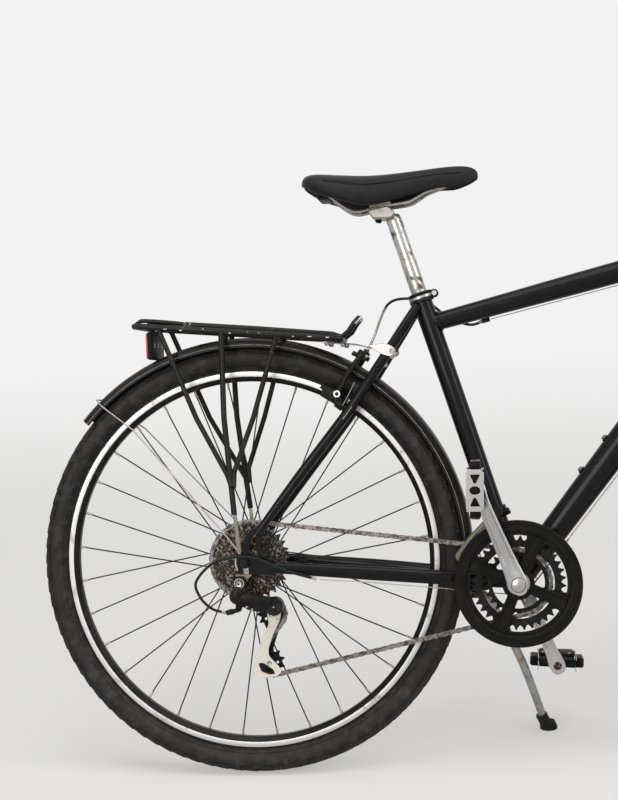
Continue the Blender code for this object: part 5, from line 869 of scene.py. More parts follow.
def make_guard():
    """Plastic ring with a rounded step, four double ribs and a hub."""
    bm = bmesh.new()
    near, far = -0.066, -0.0611
    turned(bm, [(0.0834, near + 0.0006), (0.0842, near), (0.09, near), (0.0908, near + 0.0007),
        (0.096, near + 0.0007), (0.0966, near), (0.1012, near), (0.1022, near + 0.0008),
        (0.1024, far - 0.0004), (0.1016, far), (0.0998, far), (0.0996, far - 0.0018), (0.085, far - 0.0018),
        (0.0846, far), (0.0834, far)], 144, True)
    for arm in range(4):
        angle = CRANK_ANGLE + math.radians(45 + 90 * arm)
        for half in (-1, 1):
            start = polar(0.0235, angle + half * math.radians(17.0))
            end = polar(0.085, angle + half * math.radians(5.6))
            tube(bm, [(start[0], -0.0634, start[1]), ((start[0] + end[0]) / 2, -0.0634,
                (start[1] + end[1]) / 2), (end[0], -0.0634, end[1])], [(0.0021, 0.0021), (0.0017, 0.0021),
                (0.0021, 0.0021)], 12)
        outline = [polar(r, angle + math.radians(a)) for r, a in ((0.023, -17.0), (0.05, -8.6), (0.074, -6.4),
            (0.08, -9.0), (0.0845, -15.0), (0.0845, 15.0), (0.08, 9.0), (0.074, 6.4), (0.05, 8.6),
            (0.023, 17.0))]
        plate(bm, outline, near + 0.003, far - 0.0006, soft=0.0004)
        x, z = polar(0.0888, angle)
        rod(bm, (x, -0.064, z), (x, -0.0589, z), 0.0033, 16)
    turned(bm, [(0.019, near + 0.0012), (0.0255, near + 0.0012), (0.0259, near + 0.0018), (0.0259, far),
        (0.019, far)], 64, True)
    publish("guard_ring", bm, ["matte plastic", "steel"], "crankset", ["chain_guard"],
        BIKE @ Matrix.Translation(BB))


def make_pedal(name, side):
    """Plastic body with a caged silver plate front and back, an end plate and two reflectors."""
    turn = math.radians(88) if side < 0 else math.radians(-4)
    angle = CRANK_ANGLE + (0.0 if side < 0 else math.pi)
    x, z = polar(CRANK_LENGTH, angle)
    where = BIKE @ Matrix.Translation(BB + Vector((x, 0.0, z))) @ Matrix.Rotation(-turn, 4, "Y")
    middle, half = side * 0.142, 0.037
    bm = bmesh.new()
    block(bm, (-0.0095, middle - half + 0.0025, -0.0095), (0.0095, middle + half - 0.004, 0.0095), 0.003)
    for rib in (-1, 1):
        y = middle + rib * (half - 0.0085)
        block(bm, (-0.0308, y - 0.0045, -0.007), (0.0308, y + 0.0045, 0.007), 0.0015)
    block(bm, (-0.0305, middle - 0.0035, -0.005), (0.0305, middle + 0.0035, 0.005), 0.0012)
    with painted(bm, 1):
        for end in (-1, 1):
            x0, x1 = span(end, 0.0311, 0.0324)
            for rail in (-1, 1):
                z0, z1 = span(rail, 0.006, 0.0128)
                block(bm, (x0, middle - half, z0), (x1, middle + half, z1), 0.0004)
            for index in range(9):
                y = middle - half + 0.004 + index * (2 * half - 0.008) / 8
                for rail in (-1, 1):
                    block(bm, (x0, y - 0.0013, rail * 0.0128 - 0.0003), (x1, y + 0.0013,
                        rail * 0.0128 + 0.0003))
        outer = middle + side * half
        outline = [(-0.0322, -0.0085), (-0.0275, -0.0138), (0.0275, -0.0138), (0.0322, -0.0085),
            (0.0322, 0.0085), (0.0275, 0.0138), (-0.0275, 0.0138), (-0.0322, 0.0085)]
        cuts = [circle(0.0, 0.0, 0.0066, 24, aspect=1.25), [(-0.0245, -0.008), (-0.011, -0.0015),
            (-0.011, 0.0015), (-0.0245, 0.008)], [(0.0245, -0.008), (0.0245, 0.008), (0.011, 0.0015),
            (0.011, -0.0015)]]
        plate(bm, outline, outer - 0.0008, outer + 0.0008, cuts, 0.0003)
        for end in (-1, 1):
            rod(bm, (end * 0.0275, outer - 0.0008 * side, 0.0), (end * 0.0275, outer + 0.001 * side, 0.0),
                0.0017, 12)
    with painted(bm, 0):
        for end in (-1, 1):
            x0, x1 = span(end, 0.0322, 0.044)
            block(bm, (x0, middle - 0.0215, -0.0083), (x1, middle + 0.0215, 0.0083), 0.0015)
    with painted(bm, 2):
        for end in (-1, 1):
            x0, x1 = span(end, 0.0436, 0.0458)
            block(bm, (x0, middle - 0.019, -0.0068), (x1, middle + 0.019, 0.0068), 0.0006)
    with painted(bm, 0):
        turned(bm, [(0.0, middle + side * (half - 0.001)), (0.0052, middle + side * (half - 0.001)),
            (0.0062, middle + side * (half - 0.004))], 24)
    publish(name + "_cage", bm, ["matte plastic", "silver", "amber lens"], name, [name],
        where)


def make_pulley(name, spot):
    bm = bmesh.new()
    holes = [circle(*polar(0.0128, 2 * math.pi * index / 5), 0.0024, 12) for index in range(5)]
    holes.append(circle(0.0, 0.0, 0.006, 20))
    plate(bm, tooth_outline(PULLEY_TEETH, tip=0.003, cut=0.0036), LARGEST_COG_Y - 0.0011,
        LARGEST_COG_Y + 0.0011, holes, 0.0003)
    with painted(bm, 1):
        turned(bm, [(0.0039, LARGEST_COG_Y - 0.007), (0.0074, LARGEST_COG_Y - 0.007),
            (0.0078, LARGEST_COG_Y - 0.006), (0.0078, LARGEST_COG_Y + 0.005),
            (0.0039, LARGEST_COG_Y + 0.0055)], 32, True)
    publish(name + "_wheel", bm, ["matte plastic", "steel"], name, [name],
        BIKE @ Matrix.Translation((spot.x, 0.0, spot.z)))


def rounded(points, radius, steps=4):
    """A closed outline with its corners rounded."""
    outline = []
    points = [Vector(point) for point in points]
    for index, corner in enumerate(points):
        before, after = points[index - 1], points[(index + 1) % len(points)]
        back, ahead = before - corner, after - corner
        reach = min(radius, back.length * 0.45, ahead.length * 0.45)
        start, end = corner + back.normalized() * reach, corner + ahead.normalized() * reach
        for step in range(steps + 1):
            t = step / steps
            point = start * (1 - t) ** 2 + corner * (2 * t * (1 - t)) + end * t * t
            outline.append((point.x, point.y))
    return outline


def make_rear_derailleur():
    bolt = Vector((-0.0088, 0.0, -0.031))
    knuckle = Vector((0.0436, 0.0, -0.0728))
    outside = -OUTSIDE_Y
    bm = bmesh.new()
    spot = (bolt.x, 0.0, bolt.z)
    rod(bm, (bolt.x, -DROPOUT_Y - 0.0002, bolt.z), (bolt.x, outside - 0.002, bolt.z), 0.0047, 20)
    turned(bm, [(0.004, outside), (0.0108, outside), (0.0114, outside - 0.001), (0.0114, outside - 0.0125),
        (0.0104, outside - 0.0138), (0.0062, outside - 0.014)], 48, False, spot)
    with painted(bm, 1):
        turned(bm, [(0.0, outside - 0.0125), (0.0026, outside - 0.0125), (0.003, outside - 0.0158),
            (0.0056, outside - 0.0163), (0.006, outside - 0.0155), (0.006, outside - 0.013)], 6, False, spot)
        turned(bm, [(0.0064, outside - 0.0138), (0.0068, outside - 0.0146), (0.0082, outside - 0.0146),
            (0.0086, outside - 0.0136)], 40, True, spot)
    arm = curve_through([bolt + Vector((0, outside - 0.007, -0.002)),
        Vector((-0.013, outside - 0.008, -0.045)), Vector((-0.017, outside - 0.008, -0.055)),
        Vector((-0.006, outside - 0.007, -0.06))], 5)
    tube(bm, arm, [(0.007 + 0.003 * math.sin(math.pi * i / (len(arm) - 1)),) * 2 for i in range(len(arm))],
        20)
    tube(bm, curve_through([(-0.021, outside - 0.004, -0.0545), (-0.004, outside - 0.0045, -0.059),
        (0.02, -0.07, -0.0665), (0.045, -0.064, -0.0715)], 5), [(0.0062, 0.0085)] * 3 + [(0.0062, 0.012)] * 4
        + [(0.0062, 0.0142)] * 9, 24)
    tube(bm, curve_through([(-0.012, outside - 0.0105, -0.053), (0.01, outside - 0.0105, -0.059),
        (0.04, -0.073, -0.0655)], 4), (0.0022, 0.0058), 16)
    with painted(bm, 1):
        for x, z in ((0.001, -0.07), (0.0095, -0.0745)):
            rod(bm, (x, outside - 0.0086, z), (x, outside - 0.004, z), 0.002, 14, 0.0004)
    turned(bm, [(0.0, -0.072), (0.0125, -0.072), (0.0146, -0.07), (0.0149, -0.068), (0.0149, -0.048),
        (0.014, -0.0471), (0.0, -0.0471)], 56, False, (knuckle.x, 0.0, knuckle.z))
    with painted(bm, 1):
        turned(bm, [(0.0, -0.0719), (0.0014, -0.0723), (0.002, -0.0716)], 20, False,
            (knuckle.x, 0.0, knuckle.z))
    tube(bm, [(-0.01, outside - 0.006, -0.059), (-0.013, outside - 0.006, -0.076)], [0.0072, 0.005], 16)
    barrel = [Vector((-0.012, outside - 0.006, -0.0745)), Vector((-0.02, outside - 0.006, -0.0765)),
        Vector((-0.0235, outside - 0.006, -0.0773)), Vector((-0.033, outside - 0.006, -0.0792))]
    tube(bm, barrel, [0.004, 0.0036, 0.0048, 0.0042], 12)
    publish("changer_body", bm, ["black metal", "steel"], "root", ["rear_derailleur_body"])

    outer_y, inner_y = LARGEST_COG_Y - 0.008, LARGEST_COG_Y + 0.0062
    bm = bmesh.new()
    outline = [(0.027, -0.089), (0.03, -0.073), (0.046, -0.068), (0.0515, -0.0801), (0.0485, -0.0976),
        (0.035, -0.1235), (0.0265, -0.147), (0.027, -0.158), (0.0423, -0.1748), (0.048, -0.185),
        (0.0375, -0.193), (0.006, -0.1945), (-0.002, -0.187), (0.002, -0.169), (0.0052, -0.154),
        (0.017, -0.13), (0.029, -0.105)]
    low_window = [(0.0085, -0.1695), (0.0172, -0.1693), (0.033, -0.18), (0.0365, -0.188), (0.0263, -0.189),
        (0.013, -0.1835)]
    plate(bm, rounded(outline, 0.0035), outer_y - 0.0017, outer_y, [rounded(low_window, 0.003, 3)], 0.0004)
    with painted(bm, 2):
        plate(bm, rounded(low_window, 0.003, 3), outer_y - 0.0008, outer_y - 0.0002,
            [rounded([(0.0181, -0.1765), (0.0255, -0.178), (0.0315, -0.184), (0.0235, -0.184)], 0.002, 3)],
            0.0001)
    inner = [(0.037, -0.071), (0.053, -0.077), (0.053, -0.097), (0.042, -0.121), (0.033, -0.145),
        (0.032, -0.176), (0.02, -0.183), (0.01, -0.177), (0.01, -0.143), (0.022, -0.121), (0.025, -0.093)]
    hole = [(0.0265, -0.1225), (0.0305, -0.1245), (0.0255, -0.1445), (0.0195, -0.1465)]
    with painted(bm, 2):
        plate(bm, rounded(inner, 0.003), inner_y, inner_y + 0.0014, [rounded(hole, 0.001, 3)], 0.0002)
    with painted(bm, 1):
        for spot in (GUIDE_PULLEY, TENSION_PULLEY):
            rod(bm, (spot.x, outer_y - 0.001, spot.z), (spot.x, inner_y + 0.0022, spot.z), 0.003, 20)
            turned(bm, [(0.0, outer_y - 0.0032), (0.0024, outer_y - 0.0034), (0.0031, outer_y - 0.0037),
                (0.0036, outer_y - 0.003), (0.0036, outer_y - 0.0015)], 24, False, (spot.x, 0.0, spot.z))
    turned(bm, [(0.003, -0.0466), (0.0112, -0.0466), (0.0118, -0.0458), (0.0118, outer_y - 0.0006),
        (0.003, outer_y - 0.0006)], 44, True, (knuckle.x, 0.0, knuckle.z))
    publish("changer_cage", bm, ["ivory", "steel", "black metal"], "root", ["rear_derailleur_cage"])


def make_front_derailleur():
    bm = bmesh.new()
    clamp = []
    for along in (0.108, 0.1088, 0.1232, 0.124):
        clamp.append(BB + UP_SEAT * along)
    tube(bm, clamp, [0.0192, 0.0204, 0.0204, 0.0192], 40)
    middle = BB + UP_SEAT * 0.116
    cage_y = (SMALL_RING_Y + LARGEST_COG_Y) / 2 - 0.0055
    outer_y, inner_y = cage_y - 0.009, cage_y + 0.0075
    top, tail, nose = Vector((0.396, 0.06)), Vector((0.343, -0.004)), Vector((0.41, 0.048))
    outline = [(top.x, top.y), (nose.x, nose.y), (nose.x - 0.02, nose.y - 0.016),
        (tail.x + 0.024, tail.y + 0.004), (tail.x + 0.006, tail.y - 0.008), (tail.x - 0.003, tail.y + 0.002),
        (tail.x + 0.022, tail.y + 0.034)]
    with painted(bm, 1):
        plate(bm, rounded(outline, 0.007, 5), outer_y - 0.0012, outer_y, soft=0.0003)
        plate(bm, rounded(outline, 0.007, 5), inner_y, inner_y + 0.0012, soft=0.0003)
        block(bm, (top.x - 0.006, outer_y - 0.0006, top.y - 0.008), (top.x + 0.008, inner_y + 0.0006,
            top.y - 0.0045), 0.0006)
        tube(bm, [(tail.x + 0.006, outer_y - 0.0013, tail.y + 0.006), (tail.x + 0.028, outer_y - 0.0013,
            0.03), (top.x - 0.004, outer_y - 0.0013, 0.05)], (0.0006, 0.0012), 8)
    tube(bm, [(0.402, inner_y + 0.0004, 0.0497), Vector((0.402, inner_y + 0.004, 0.0515)),
        middle + Vector((0.004, -0.015, -0.004))], [0.0044, 0.005, 0.006], 16)
    rod(bm, middle + Vector((0.011, -0.0117, -0.0031)), middle + Vector((0.024, -0.014, 0.004)), 0.0056, 16,
        0.0008)
    with painted(bm, 1):
        rod(bm, middle + Vector((0.0225, -0.0137, 0.0032)), middle + Vector((0.0244, -0.0141, 0.0042)),
            0.0034, 6)
    publish("front_changer", bm, ["black metal", "olive steel"], "root", ["front_derailleur"])


def make_transmission():
    make_cassette()
    make_chain()
    chainring("ring_of_26", RING_TEETH[0], SMALL_RING_Y, 0.0425, 0.034, "small_chainring")
    chainring("ring_of_36", RING_TEETH[1], SMALL_RING_Y - RING_SPACING, 0.058, 0.048, "middle_chainring")
    chainring("ring_of_48", RING_TEETH[2], SMALL_RING_Y - 2 * RING_SPACING, 0.0778, 0.048, "big_chainring")
    make_crank_arm("drive_crank", -1, CRANK_ANGLE, "right_crank_arm")
    make_crank_arm("plain_crank", 1, CRANK_ANGLE + math.pi, "left_crank_arm")
    make_guard()
    make_pedal("right_pedal", -1)
    make_pedal("left_pedal", 1)
    make_pulley("guide_pulley", GUIDE_PULLEY)
    make_pulley("tension_pulley", TENSION_PULLEY)
    make_rear_derailleur()
    make_front_derailleur()
    bm = bmesh.new()
    turned(bm, [(0.0091, -0.0372), (0.015, -0.0374), (0.0172, -0.037), (0.0194, -0.0374), (0.0194, -0.0344),
        (0.0164, -0.0342), (0.0164, 0.033), (0.0091, 0.033)], 48, True, BB)
    publish("bb_unit", bm, "steel", "root", ["bottom_bracket_cartridge"])


# Frame


def seat_tube_point(along):
    return BB + UP_SEAT * along


TOP_REAR = BB + UP_SEAT * 0.445
TOP_FRONT = CROWN + UP_HEAD * 0.077
DOWN_FRONT = CROWN + UP_HEAD * 0.055
TOP_ALONG = (TOP_FRONT - TOP_REAR).normalized()
DOWN_ALONG = (DOWN_FRONT - BB).normalized()
DOWN_UP = Vector((-DOWN_ALONG.z, 0.0, DOWN_ALONG.x))
BOSS_OUT = Vector((-0.7726, 0.0, 0.6349))
PLATE_THICKNESS = 0.006
STAY_BRIDGE = (0.2331, 0.318)


def cable_line(share):
    """A point on the rear brake wire's line under the top tube."""
    return TOP_REAR.lerp(TOP_FRONT, share) + Vector((0.0, 0.0095, -0.0183 - 0.0045 * share))


def down_tube_point(share, below, y):
    return BB.lerp(DOWN_FRONT, share) - DOWN_UP * below + AXIS_Y * y


def rear_boss(side):
    """Where a rear brake arm's stud leaves its seat stay."""
    return Vector((0.178, side * 0.04, 0.2418))


def front_boss(side):
    """Where a front brake arm's stud leaves its fork leg, along the steering axis."""
    return Vector((0.006, side * 0.047, -0.17))


def chainstay(side):
    return [Vector(p) for p in ((BB.x - 0.006, side * 0.022, BB.z), (0.4, side * 0.029, -0.044),
        (0.366, side * 0.0335, -0.0405), (0.33, side * 0.0385, -0.037), (0.2, side * 0.056, -0.0235),
        (0.04, side * (DROPOUT_Y + 0.003), -0.008))]


def seatstay(side):
    return [Vector(p) for p in ((0.2965, side * 0.014, 0.4095), (0.267, side * 0.027, 0.3668),
        (0.215, side * 0.0425, 0.292), (0.173, side * 0.048, 0.235), (0.09, side * 0.059, 0.134),
        (0.02, side * (DROPOUT_Y + 0.003), 0.046))]


def sizes_along(sizes, per_span):
    """Sizes in step with curve_through, from one size at each of its points."""
    found = []
    for before, after in zip(sizes, sizes[1:]):
        for step in range(per_span):
            share = step / per_span
            found.append((before[0] + (after[0] - before[0]) * share, before[1]
                + (after[1] - before[1]) * share))
    return found + [sizes[-1]]


def weld(bm, centre, axis, sizes):
    """A bead of weld round a tube of those half sizes where it meets another tube."""
    axis = Vector(axis).normalized()
    side = axis.cross(AXIS_Y)
    if side.length < 0.2:
        side = axis.cross(Vector((1.0, 0.0, 0.0)))
    side.normalize()
    other = axis.cross(side)
    path = []
    for step in range(48):
        angle = 2 * math.pi * step / 48
        path.append(Vector(centre) + other * (sizes[0] * math.cos(angle))
            + side * (sizes[1] * math.sin(angle)))
    beads = [0.0021 * (1.0 + 0.18 * (step % 2)) for step in range(48)]
    tube(bm, path, beads, 8, closed=True)


def socket_bolt(bm, spot, direction, radius, height, index=1):
    """A cap bolt with a hexagon socket; the socket's floor is sunk."""
    direction = Vector(direction).normalized()
    turn = AXIS_Y.rotation_difference(direction).to_matrix().to_4x4()
    with painted(bm, index):
        with added(bm) as head:
            turned(bm, [(radius, 0.0), (radius, height * 0.8), (radius * 0.86, height),
                (radius * 0.52, height)], 24)
            turned(bm, [(radius * 0.52, height), (radius * 0.5, height * 0.35), (0.0, height * 0.35)], 6)
        bmesh.ops.transform(bm, matrix=Matrix.Translation(spot) @ turn, verts=vertices(head))


def make_frame():
    bm = bmesh.new()
    turned(bm, [(0.0174, -0.0339), (0.02, -0.0339), (0.0204, -0.0333), (0.0204, 0.0333), (0.02, 0.0339),
        (0.0174, 0.0339)], 64, True, BB)
    tube(bm, [BB + UP_SEAT * a for a in (0.0, 0.05, 0.1, 0.3, 0.4935, 0.496)],
        [0.0174, 0.0172, 0.0165, 0.0165, 0.0165, 0.016], 48, caps=False)
    tube(bm, [seat_tube_point(0.496), seat_tube_point(0.4955), seat_tube_point(0.3)], [0.016, 0.014, 0.014],
        48, caps=False)
    head = [(0.005, 0.0222), (0.0058, 0.0224), (0.012, 0.0224), (0.0135, 0.02), (0.064, 0.0195),
        (0.1145, 0.02), (0.116, 0.0224), (0.1222, 0.0224), (0.123, 0.0222)]
    tube(bm, [CROWN + UP_HEAD * a for a, _ in head], [r for _, r in head], 48)
    top_sizes = [(0.0155, 0.0145), (0.0165, 0.0175), (0.0175, 0.0192)]
    tube(bm, [TOP_REAR, TOP_REAR.lerp(TOP_FRONT, 0.45), TOP_FRONT], top_sizes, 48)
    tube(bm, [BB, BB.lerp(DOWN_FRONT, 0.5), DOWN_FRONT], [(0.0183, 0.0212), (0.0198, 0.0246),
        (0.0183, 0.0238)], 48)
    for side in (-1, 1):
        tube(bm, curve_through(chainstay(side), 6), sizes_along([(0.009, 0.012), (0.008, 0.0117),
            (0.0076, 0.0117), (0.0083, 0.0117), (0.0078, 0.0114), (0.0054, 0.0088)], 6), 28)
        tube(bm, curve_through(seatstay(side), 6), sizes_along([(0.008, 0.008), (0.0083, 0.0083),
            (0.0083, 0.0083), (0.0083, 0.0083), (0.008, 0.008), (0.006, 0.006)], 6), 28)
        low, high = span(side, DROPOUT_Y, DROPOUT_Y + PLATE_THICKNESS)
        outline = [(0.05, -0.02), (0.051, 0.003), (0.0365, 0.0075), (0.0295, 0.0175), (0.0275, 0.029),
            (0.0285, 0.041), (0.034, 0.054), (0.018, 0.058), (0.004, 0.0465), (-0.0005, 0.034),
            (-0.0025, 0.0275), (-0.012, 0.0265), (-0.0145, 0.02), (-0.014, 0.002), (-0.011, -0.018),
            (-0.0053, -0.018), (-0.0053, 0.0), (-0.004, 0.004), (0.0, 0.0053), (0.004, 0.004), (0.0053, 0.0),
            (0.0053, -0.018)]
        window = rounded([(0.0205, 0.048), (0.0125, 0.043), (0.008, 0.032), (0.0085, 0.02), (0.0145, 0.0125),
            (0.025, 0.0075), (0.021, 0.018), (0.0185, 0.029), (0.019, 0.04)], 0.004, 3)
        plate(bm, outline, low, high, [window, circle(-0.0085, 0.0205, 0.0026, 12)], 0.0006)
        base = rear_boss(side)
        tube(bm, [base, base + BOSS_OUT * 0.008, base + BOSS_OUT * 0.0098], [0.008, 0.008, 0.0072], 24)
        rod(bm, base + BOSS_OUT * 0.009, base + BOSS_OUT * 0.0265, 0.0044, 20)
    with painted(bm, 1):
        hanger = [(-0.015, -0.0175), (-0.017, -0.026), (-0.017, -0.036), (-0.008, -0.0408), (0.0008, -0.036),
            (0.0035, -0.026), (0.012, -0.0182)]
        plate(bm, rounded(hanger, 0.003, 3), -DROPOUT_Y - 0.0059, -DROPOUT_Y - 0.0001,
            [circle(-0.0088, -0.031, 0.0051, 24)], 0.0004)
    rod(bm, (0.385, -0.03, -0.043), (0.385, 0.03, -0.043), 0.0069, 24)
    bridge_x, bridge_z = STAY_BRIDGE
    rod(bm, (bridge_x, -0.036, bridge_z), (bridge_x, 0.036, bridge_z), 0.0069, 24)
    pivot_x, pivot_z = 0.372, -0.066
    block(bm, (pivot_x - 0.012, -0.03, -0.06), (pivot_x + 0.02, 0.0215, -0.049), 0.0015)
    block(bm, (pivot_x - 0.011, 0.012, pivot_z - 0.012), (pivot_x + 0.011, 0.0235, -0.053), 0.0012)
    for share in (0.17, 0.86):
        spot = cable_line(share)
        tube(bm, [spot + TOP_ALONG * a for a in (-0.0068, -0.006, 0.006, 0.0068)],
            [0.0032, 0.0036, 0.0036, 0.0032], 20)
        block(bm, spot + Vector((-0.0055, -0.0028, 0.0015)), spot + Vector((0.0055, 0.0028, 0.0075)), 0.001)
        with painted(bm, 1):
            tube(bm, [spot - TOP_ALONG * 0.0099, spot - TOP_ALONG * 0.007], [0.0029, 0.0031], 20)
    spot = down_tube_point(0.8, 0.0288, 0.0)
    for y in (-0.0065, 0.0065):
        low = spot + AXIS_Y * y
        tube(bm, [low - DOWN_ALONG * 0.008, low + DOWN_ALONG * 0.008], 0.0034, 20)
    for centre, axis, sizes in ((TOP_REAR + TOP_ALONG * 0.0172, TOP_ALONG, (0.0156, 0.015)),
            (TOP_FRONT - TOP_ALONG * 0.0215, TOP_ALONG, (0.0174, 0.0192)),
            (DOWN_FRONT - DOWN_ALONG * 0.0235, DOWN_ALONG, (0.0184, 0.0236)),
            (BB + DOWN_ALONG * 0.02, DOWN_ALONG, (0.0186, 0.0202)), (BB + UP_SEAT * 0.02, UP_SEAT,
            (0.0174, 0.0174))):
        weld(bm, centre, axis, sizes)
    # Painted highlight: a thin white line along the top outer side of each seat stay stands for the lamps'
    # reflection on the paint.
    with painted(bm, 2):
        for side in (-1, 1):
            painted_highlight_line = [stay_at(0.226 + 0.006 * step, side) + Vector((0.0035, side * 0.0076, 0.0025))
                for step in range(6)]
            tube(bm, painted_highlight_line, 0.0005, 6)
    for x, z in ((0.5486, 0.131), (0.5904, 0.18)):
        share = (Vector((x, 0.0, z)) - BB).dot(DOWN_ALONG) / (DOWN_FRONT - BB).length
        spot = BB.lerp(DOWN_FRONT, share) + DOWN_UP * 0.0228
        raised = spot + DOWN_UP * 0.003
        tube(bm, [spot, raised], 0.0062, 20)
        socket_bolt(bm, raised, DOWN_UP, 0.0042, 0.0034)
    publish("frame_tubes", bm, ["paint", "pinkish alloy", "white chips and painted highlight"], "root", ["frame"])

    bm = bmesh.new()
    low = 0.482
    tube(bm, [seat_tube_point(low + a) for a in (0.0005, 0.0012, 0.005, 0.0058, 0.0112, 0.012, 0.016,
        0.0168)], [0.0196, 0.0204, 0.0204, 0.0199, 0.0199, 0.0204, 0.0204, 0.018], 56, caps=False)
    tube(bm, [seat_tube_point(low + 0.0168), seat_tube_point(low + 0.0166)], [0.018, 0.014], 56, caps=False)
    with painted(bm, 1):
        tube(bm, [seat_tube_point(low + 0.006), seat_tube_point(low + 0.0066), seat_tube_point(low + 0.0104),
            seat_tube_point(low + 0.011)], [0.0199, 0.02055, 0.02055, 0.0199], 56, caps=False)
    front = seat_tube_point(low + 0.0085) + FORWARD_SEAT * 0.0235
    for sign in (-1, 1):
        y0, y1 = span(sign, 0.0012, 0.008)
        rod(bm, front + AXIS_Y * y0, front + AXIS_Y * y1, 0.0068, 28, 0.0008)
        block(bm, (front.x - 0.008, y0, front.z - 0.005), (front.x, y1, front.z + 0.0035), 0.0012)
    socket_bolt(bm, front - AXIS_Y * 0.0078, (0.0, -1.0, 0.0), 0.0044, 0.0026)
    publish("seat_collar", bm, ["black metal", "silver"], "root", ["seat_clamp"])


# Seat


SADDLE_REAR_X, SADDLE_TOP_Z = 0.113, 0.636
SADDLE_STATIONS = ((0.0005, 0.026, 0.012, 0.0085, 0.0), (0.004, 0.044, 0.0052, 0.0175, 0.0005),
    (0.011, 0.056, 0.0008, 0.027, 0.001), (0.023, 0.064, -0.0007, 0.036, 0.0015),
    (0.04, 0.0705, 0.0008, 0.042, 0.002), (0.06, 0.0745, 0.0032, 0.046, 0.002),
    (0.08, 0.0755, 0.005, 0.051, 0.0015), (0.098, 0.0725, 0.0063, 0.056, 0.001),
    (0.112, 0.067, 0.0068, 0.0555, 0.0005), (0.128, 0.058, 0.0067, 0.052, 0.0),
    (0.145, 0.05, 0.0058, 0.049, 0.0), (0.165, 0.04, 0.0044, 0.045, 0.0),
    (0.188, 0.0325, 0.0026, 0.0405, 0.0), (0.21, 0.028, 0.0009, 0.0365, 0.0),
    (0.231, 0.025, -0.0008, 0.0355, 0.0), (0.25, 0.0228, -0.0016, 0.0385, 0.0),
    (0.264, 0.0205, -0.0013, 0.0345, 0.0), (0.277, 0.017, 0.0002, 0.0285, 0.0),
    (0.2865, 0.012, 0.0042, 0.0195, 0.0), (0.2918, 0.007, 0.0105, 0.0105, 0.0))


def make_saddle():
    bm = bmesh.new()
    rings = []
    for along, half, drop, wing, sag in SADDLE_STATIONS:
        x, top = SADDLE_REAR_X + along, SADDLE_TOP_Z - drop - 0.0003
        shape = [(0.0, top - sag), (half * 0.35, top), (half * 0.7, top - wing * 0.12),
            (half * 0.93, top - wing * 0.4), (half, top - wing * 0.72), (half * 0.94, top - wing),
            (half * 0.72, top - wing * 0.98), (half * 0.4, top - min(wing * 0.62, 0.026))]
        under = [(0.0, top - min(wing * 0.58, 0.024))]
        section = shape + under + [(-y, z) for y, z in reversed(shape[1:])]
        rings.append(joined(bm, [vertex(bm, (x, y, z)) for y, z in section]))
    skin(bm, rings)
    bmesh.ops.recalc_face_normals(bm, faces=bm.faces)
    for face in bm.faces:
        if face.normal.z < -0.5:
            face.material_index = 1
    made = publish("saddle_cushion", bm, ["leather", "matte plastic"], "seat", ["saddle"],
        clean=False, modifiers=(("SUBSURF", {"levels": 2, "render_levels": 2}),))
    bm = bmesh.new()
    for side in (-1, 1):
        seam = [(SADDLE_REAR_X + along, side * half * 0.9, SADDLE_TOP_Z - drop - wing * 0.36) for along, half,
            drop, wing, _ in SADDLE_STATIONS[4:-3]]
        tube(bm, curve_through(seam, 4), 0.0007, 8)
    block(bm, (SADDLE_REAR_X + 0.026, -0.032, SADDLE_TOP_Z - 0.044),
        (SADDLE_REAR_X + 0.046, 0.032, SADDLE_TOP_Z - 0.036), 0.004)
    publish("saddle_trim", bm, "matte plastic", "seat")

    bm = bmesh.new()
    for side in (-1, 1):
        run = [(0.15, side * 0.031, 0.606), (0.16, side * 0.03, 0.597), (0.17, side * 0.03, 0.5885),
            (0.187, side * 0.027, 0.5755), (0.203, side * 0.0235, 0.5695), (0.228, side * 0.021, 0.573),
            (0.256, side * 0.021, 0.5772), (0.288, side * 0.021, 0.5805), (0.303, side * 0.019, 0.587),
            (0.318, side * 0.016, 0.5955), (0.343, side * 0.01, 0.6035), (0.353, side * 0.008, 0.608)]
        tube(bm, curve_through(run, 5), 0.0028, 16)
    publish("seat_rails", bm, "stand alloy", "seat", ["saddle_rails"])

    bm = bmesh.new()
    post = [0.307, 0.4, 0.5, 0.552, 0.555, 0.5565, 0.626, 0.632, 0.635]
    tube(bm, [seat_tube_point(a) for a in post], [0.0132, 0.0132, 0.0132, 0.0132, 0.0128, 0.0126, 0.0126,
        0.012, 0.01], 48)
    with painted(bm, 1):
        cradle = rounded([(0.2225, 0.5665), (0.2245, 0.572), (0.256, 0.5762), (0.2675, 0.564), (0.26, 0.556),
            (0.23, 0.5565)], 0.004, 4)
        plate(bm, cradle, -0.0265, 0.0265, soft=0.0018)
        for sign in (-1, 1):
            low, high = span(sign, 0.0135, 0.0275)
            plate(bm, rounded([(0.225, 0.5745), (0.225, 0.579), (0.26, 0.5835), (0.26, 0.579)], 0.0015, 3),
                low, high, soft=0.0008)
        plate(bm, rounded([(0.229, 0.57), (0.229, 0.586), (0.256, 0.589), (0.256, 0.57)], 0.003, 3), -0.013,
            0.013, soft=0.0015)
    with painted(bm, 2):
        rod(bm, (0.238, 0.0, 0.558), (0.2365, 0.0, 0.5515), 0.0052, 24, 0.0012)
        block(bm, (0.232, -0.0235, 0.58), (0.252, 0.0235, 0.5845), 0.0015)
    publish("post_and_clamp", bm, ["tarnished", "stand alloy", "matte plastic"], "seat", ["seat_post"])


# Rack, fenders and stand


RACK_REAR, RACK_FRONT, RACK_HALF = Vector((-0.176, 0.0, 0.398)), Vector((0.168, 0.0, 0.361)), 0.048


def rack_point(share, y=0.0, rise=0.0):
    return RACK_REAR.lerp(RACK_FRONT, share) + Vector((0.0, y, rise))


def stay_at(height, side):
    route = seatstay(side)
    for upper, lower in zip(route, route[1:]):
        if lower.z <= height <= upper.z:
            return upper.lerp(lower, (upper.z - height) / (upper.z - lower.z))
    return route[0]


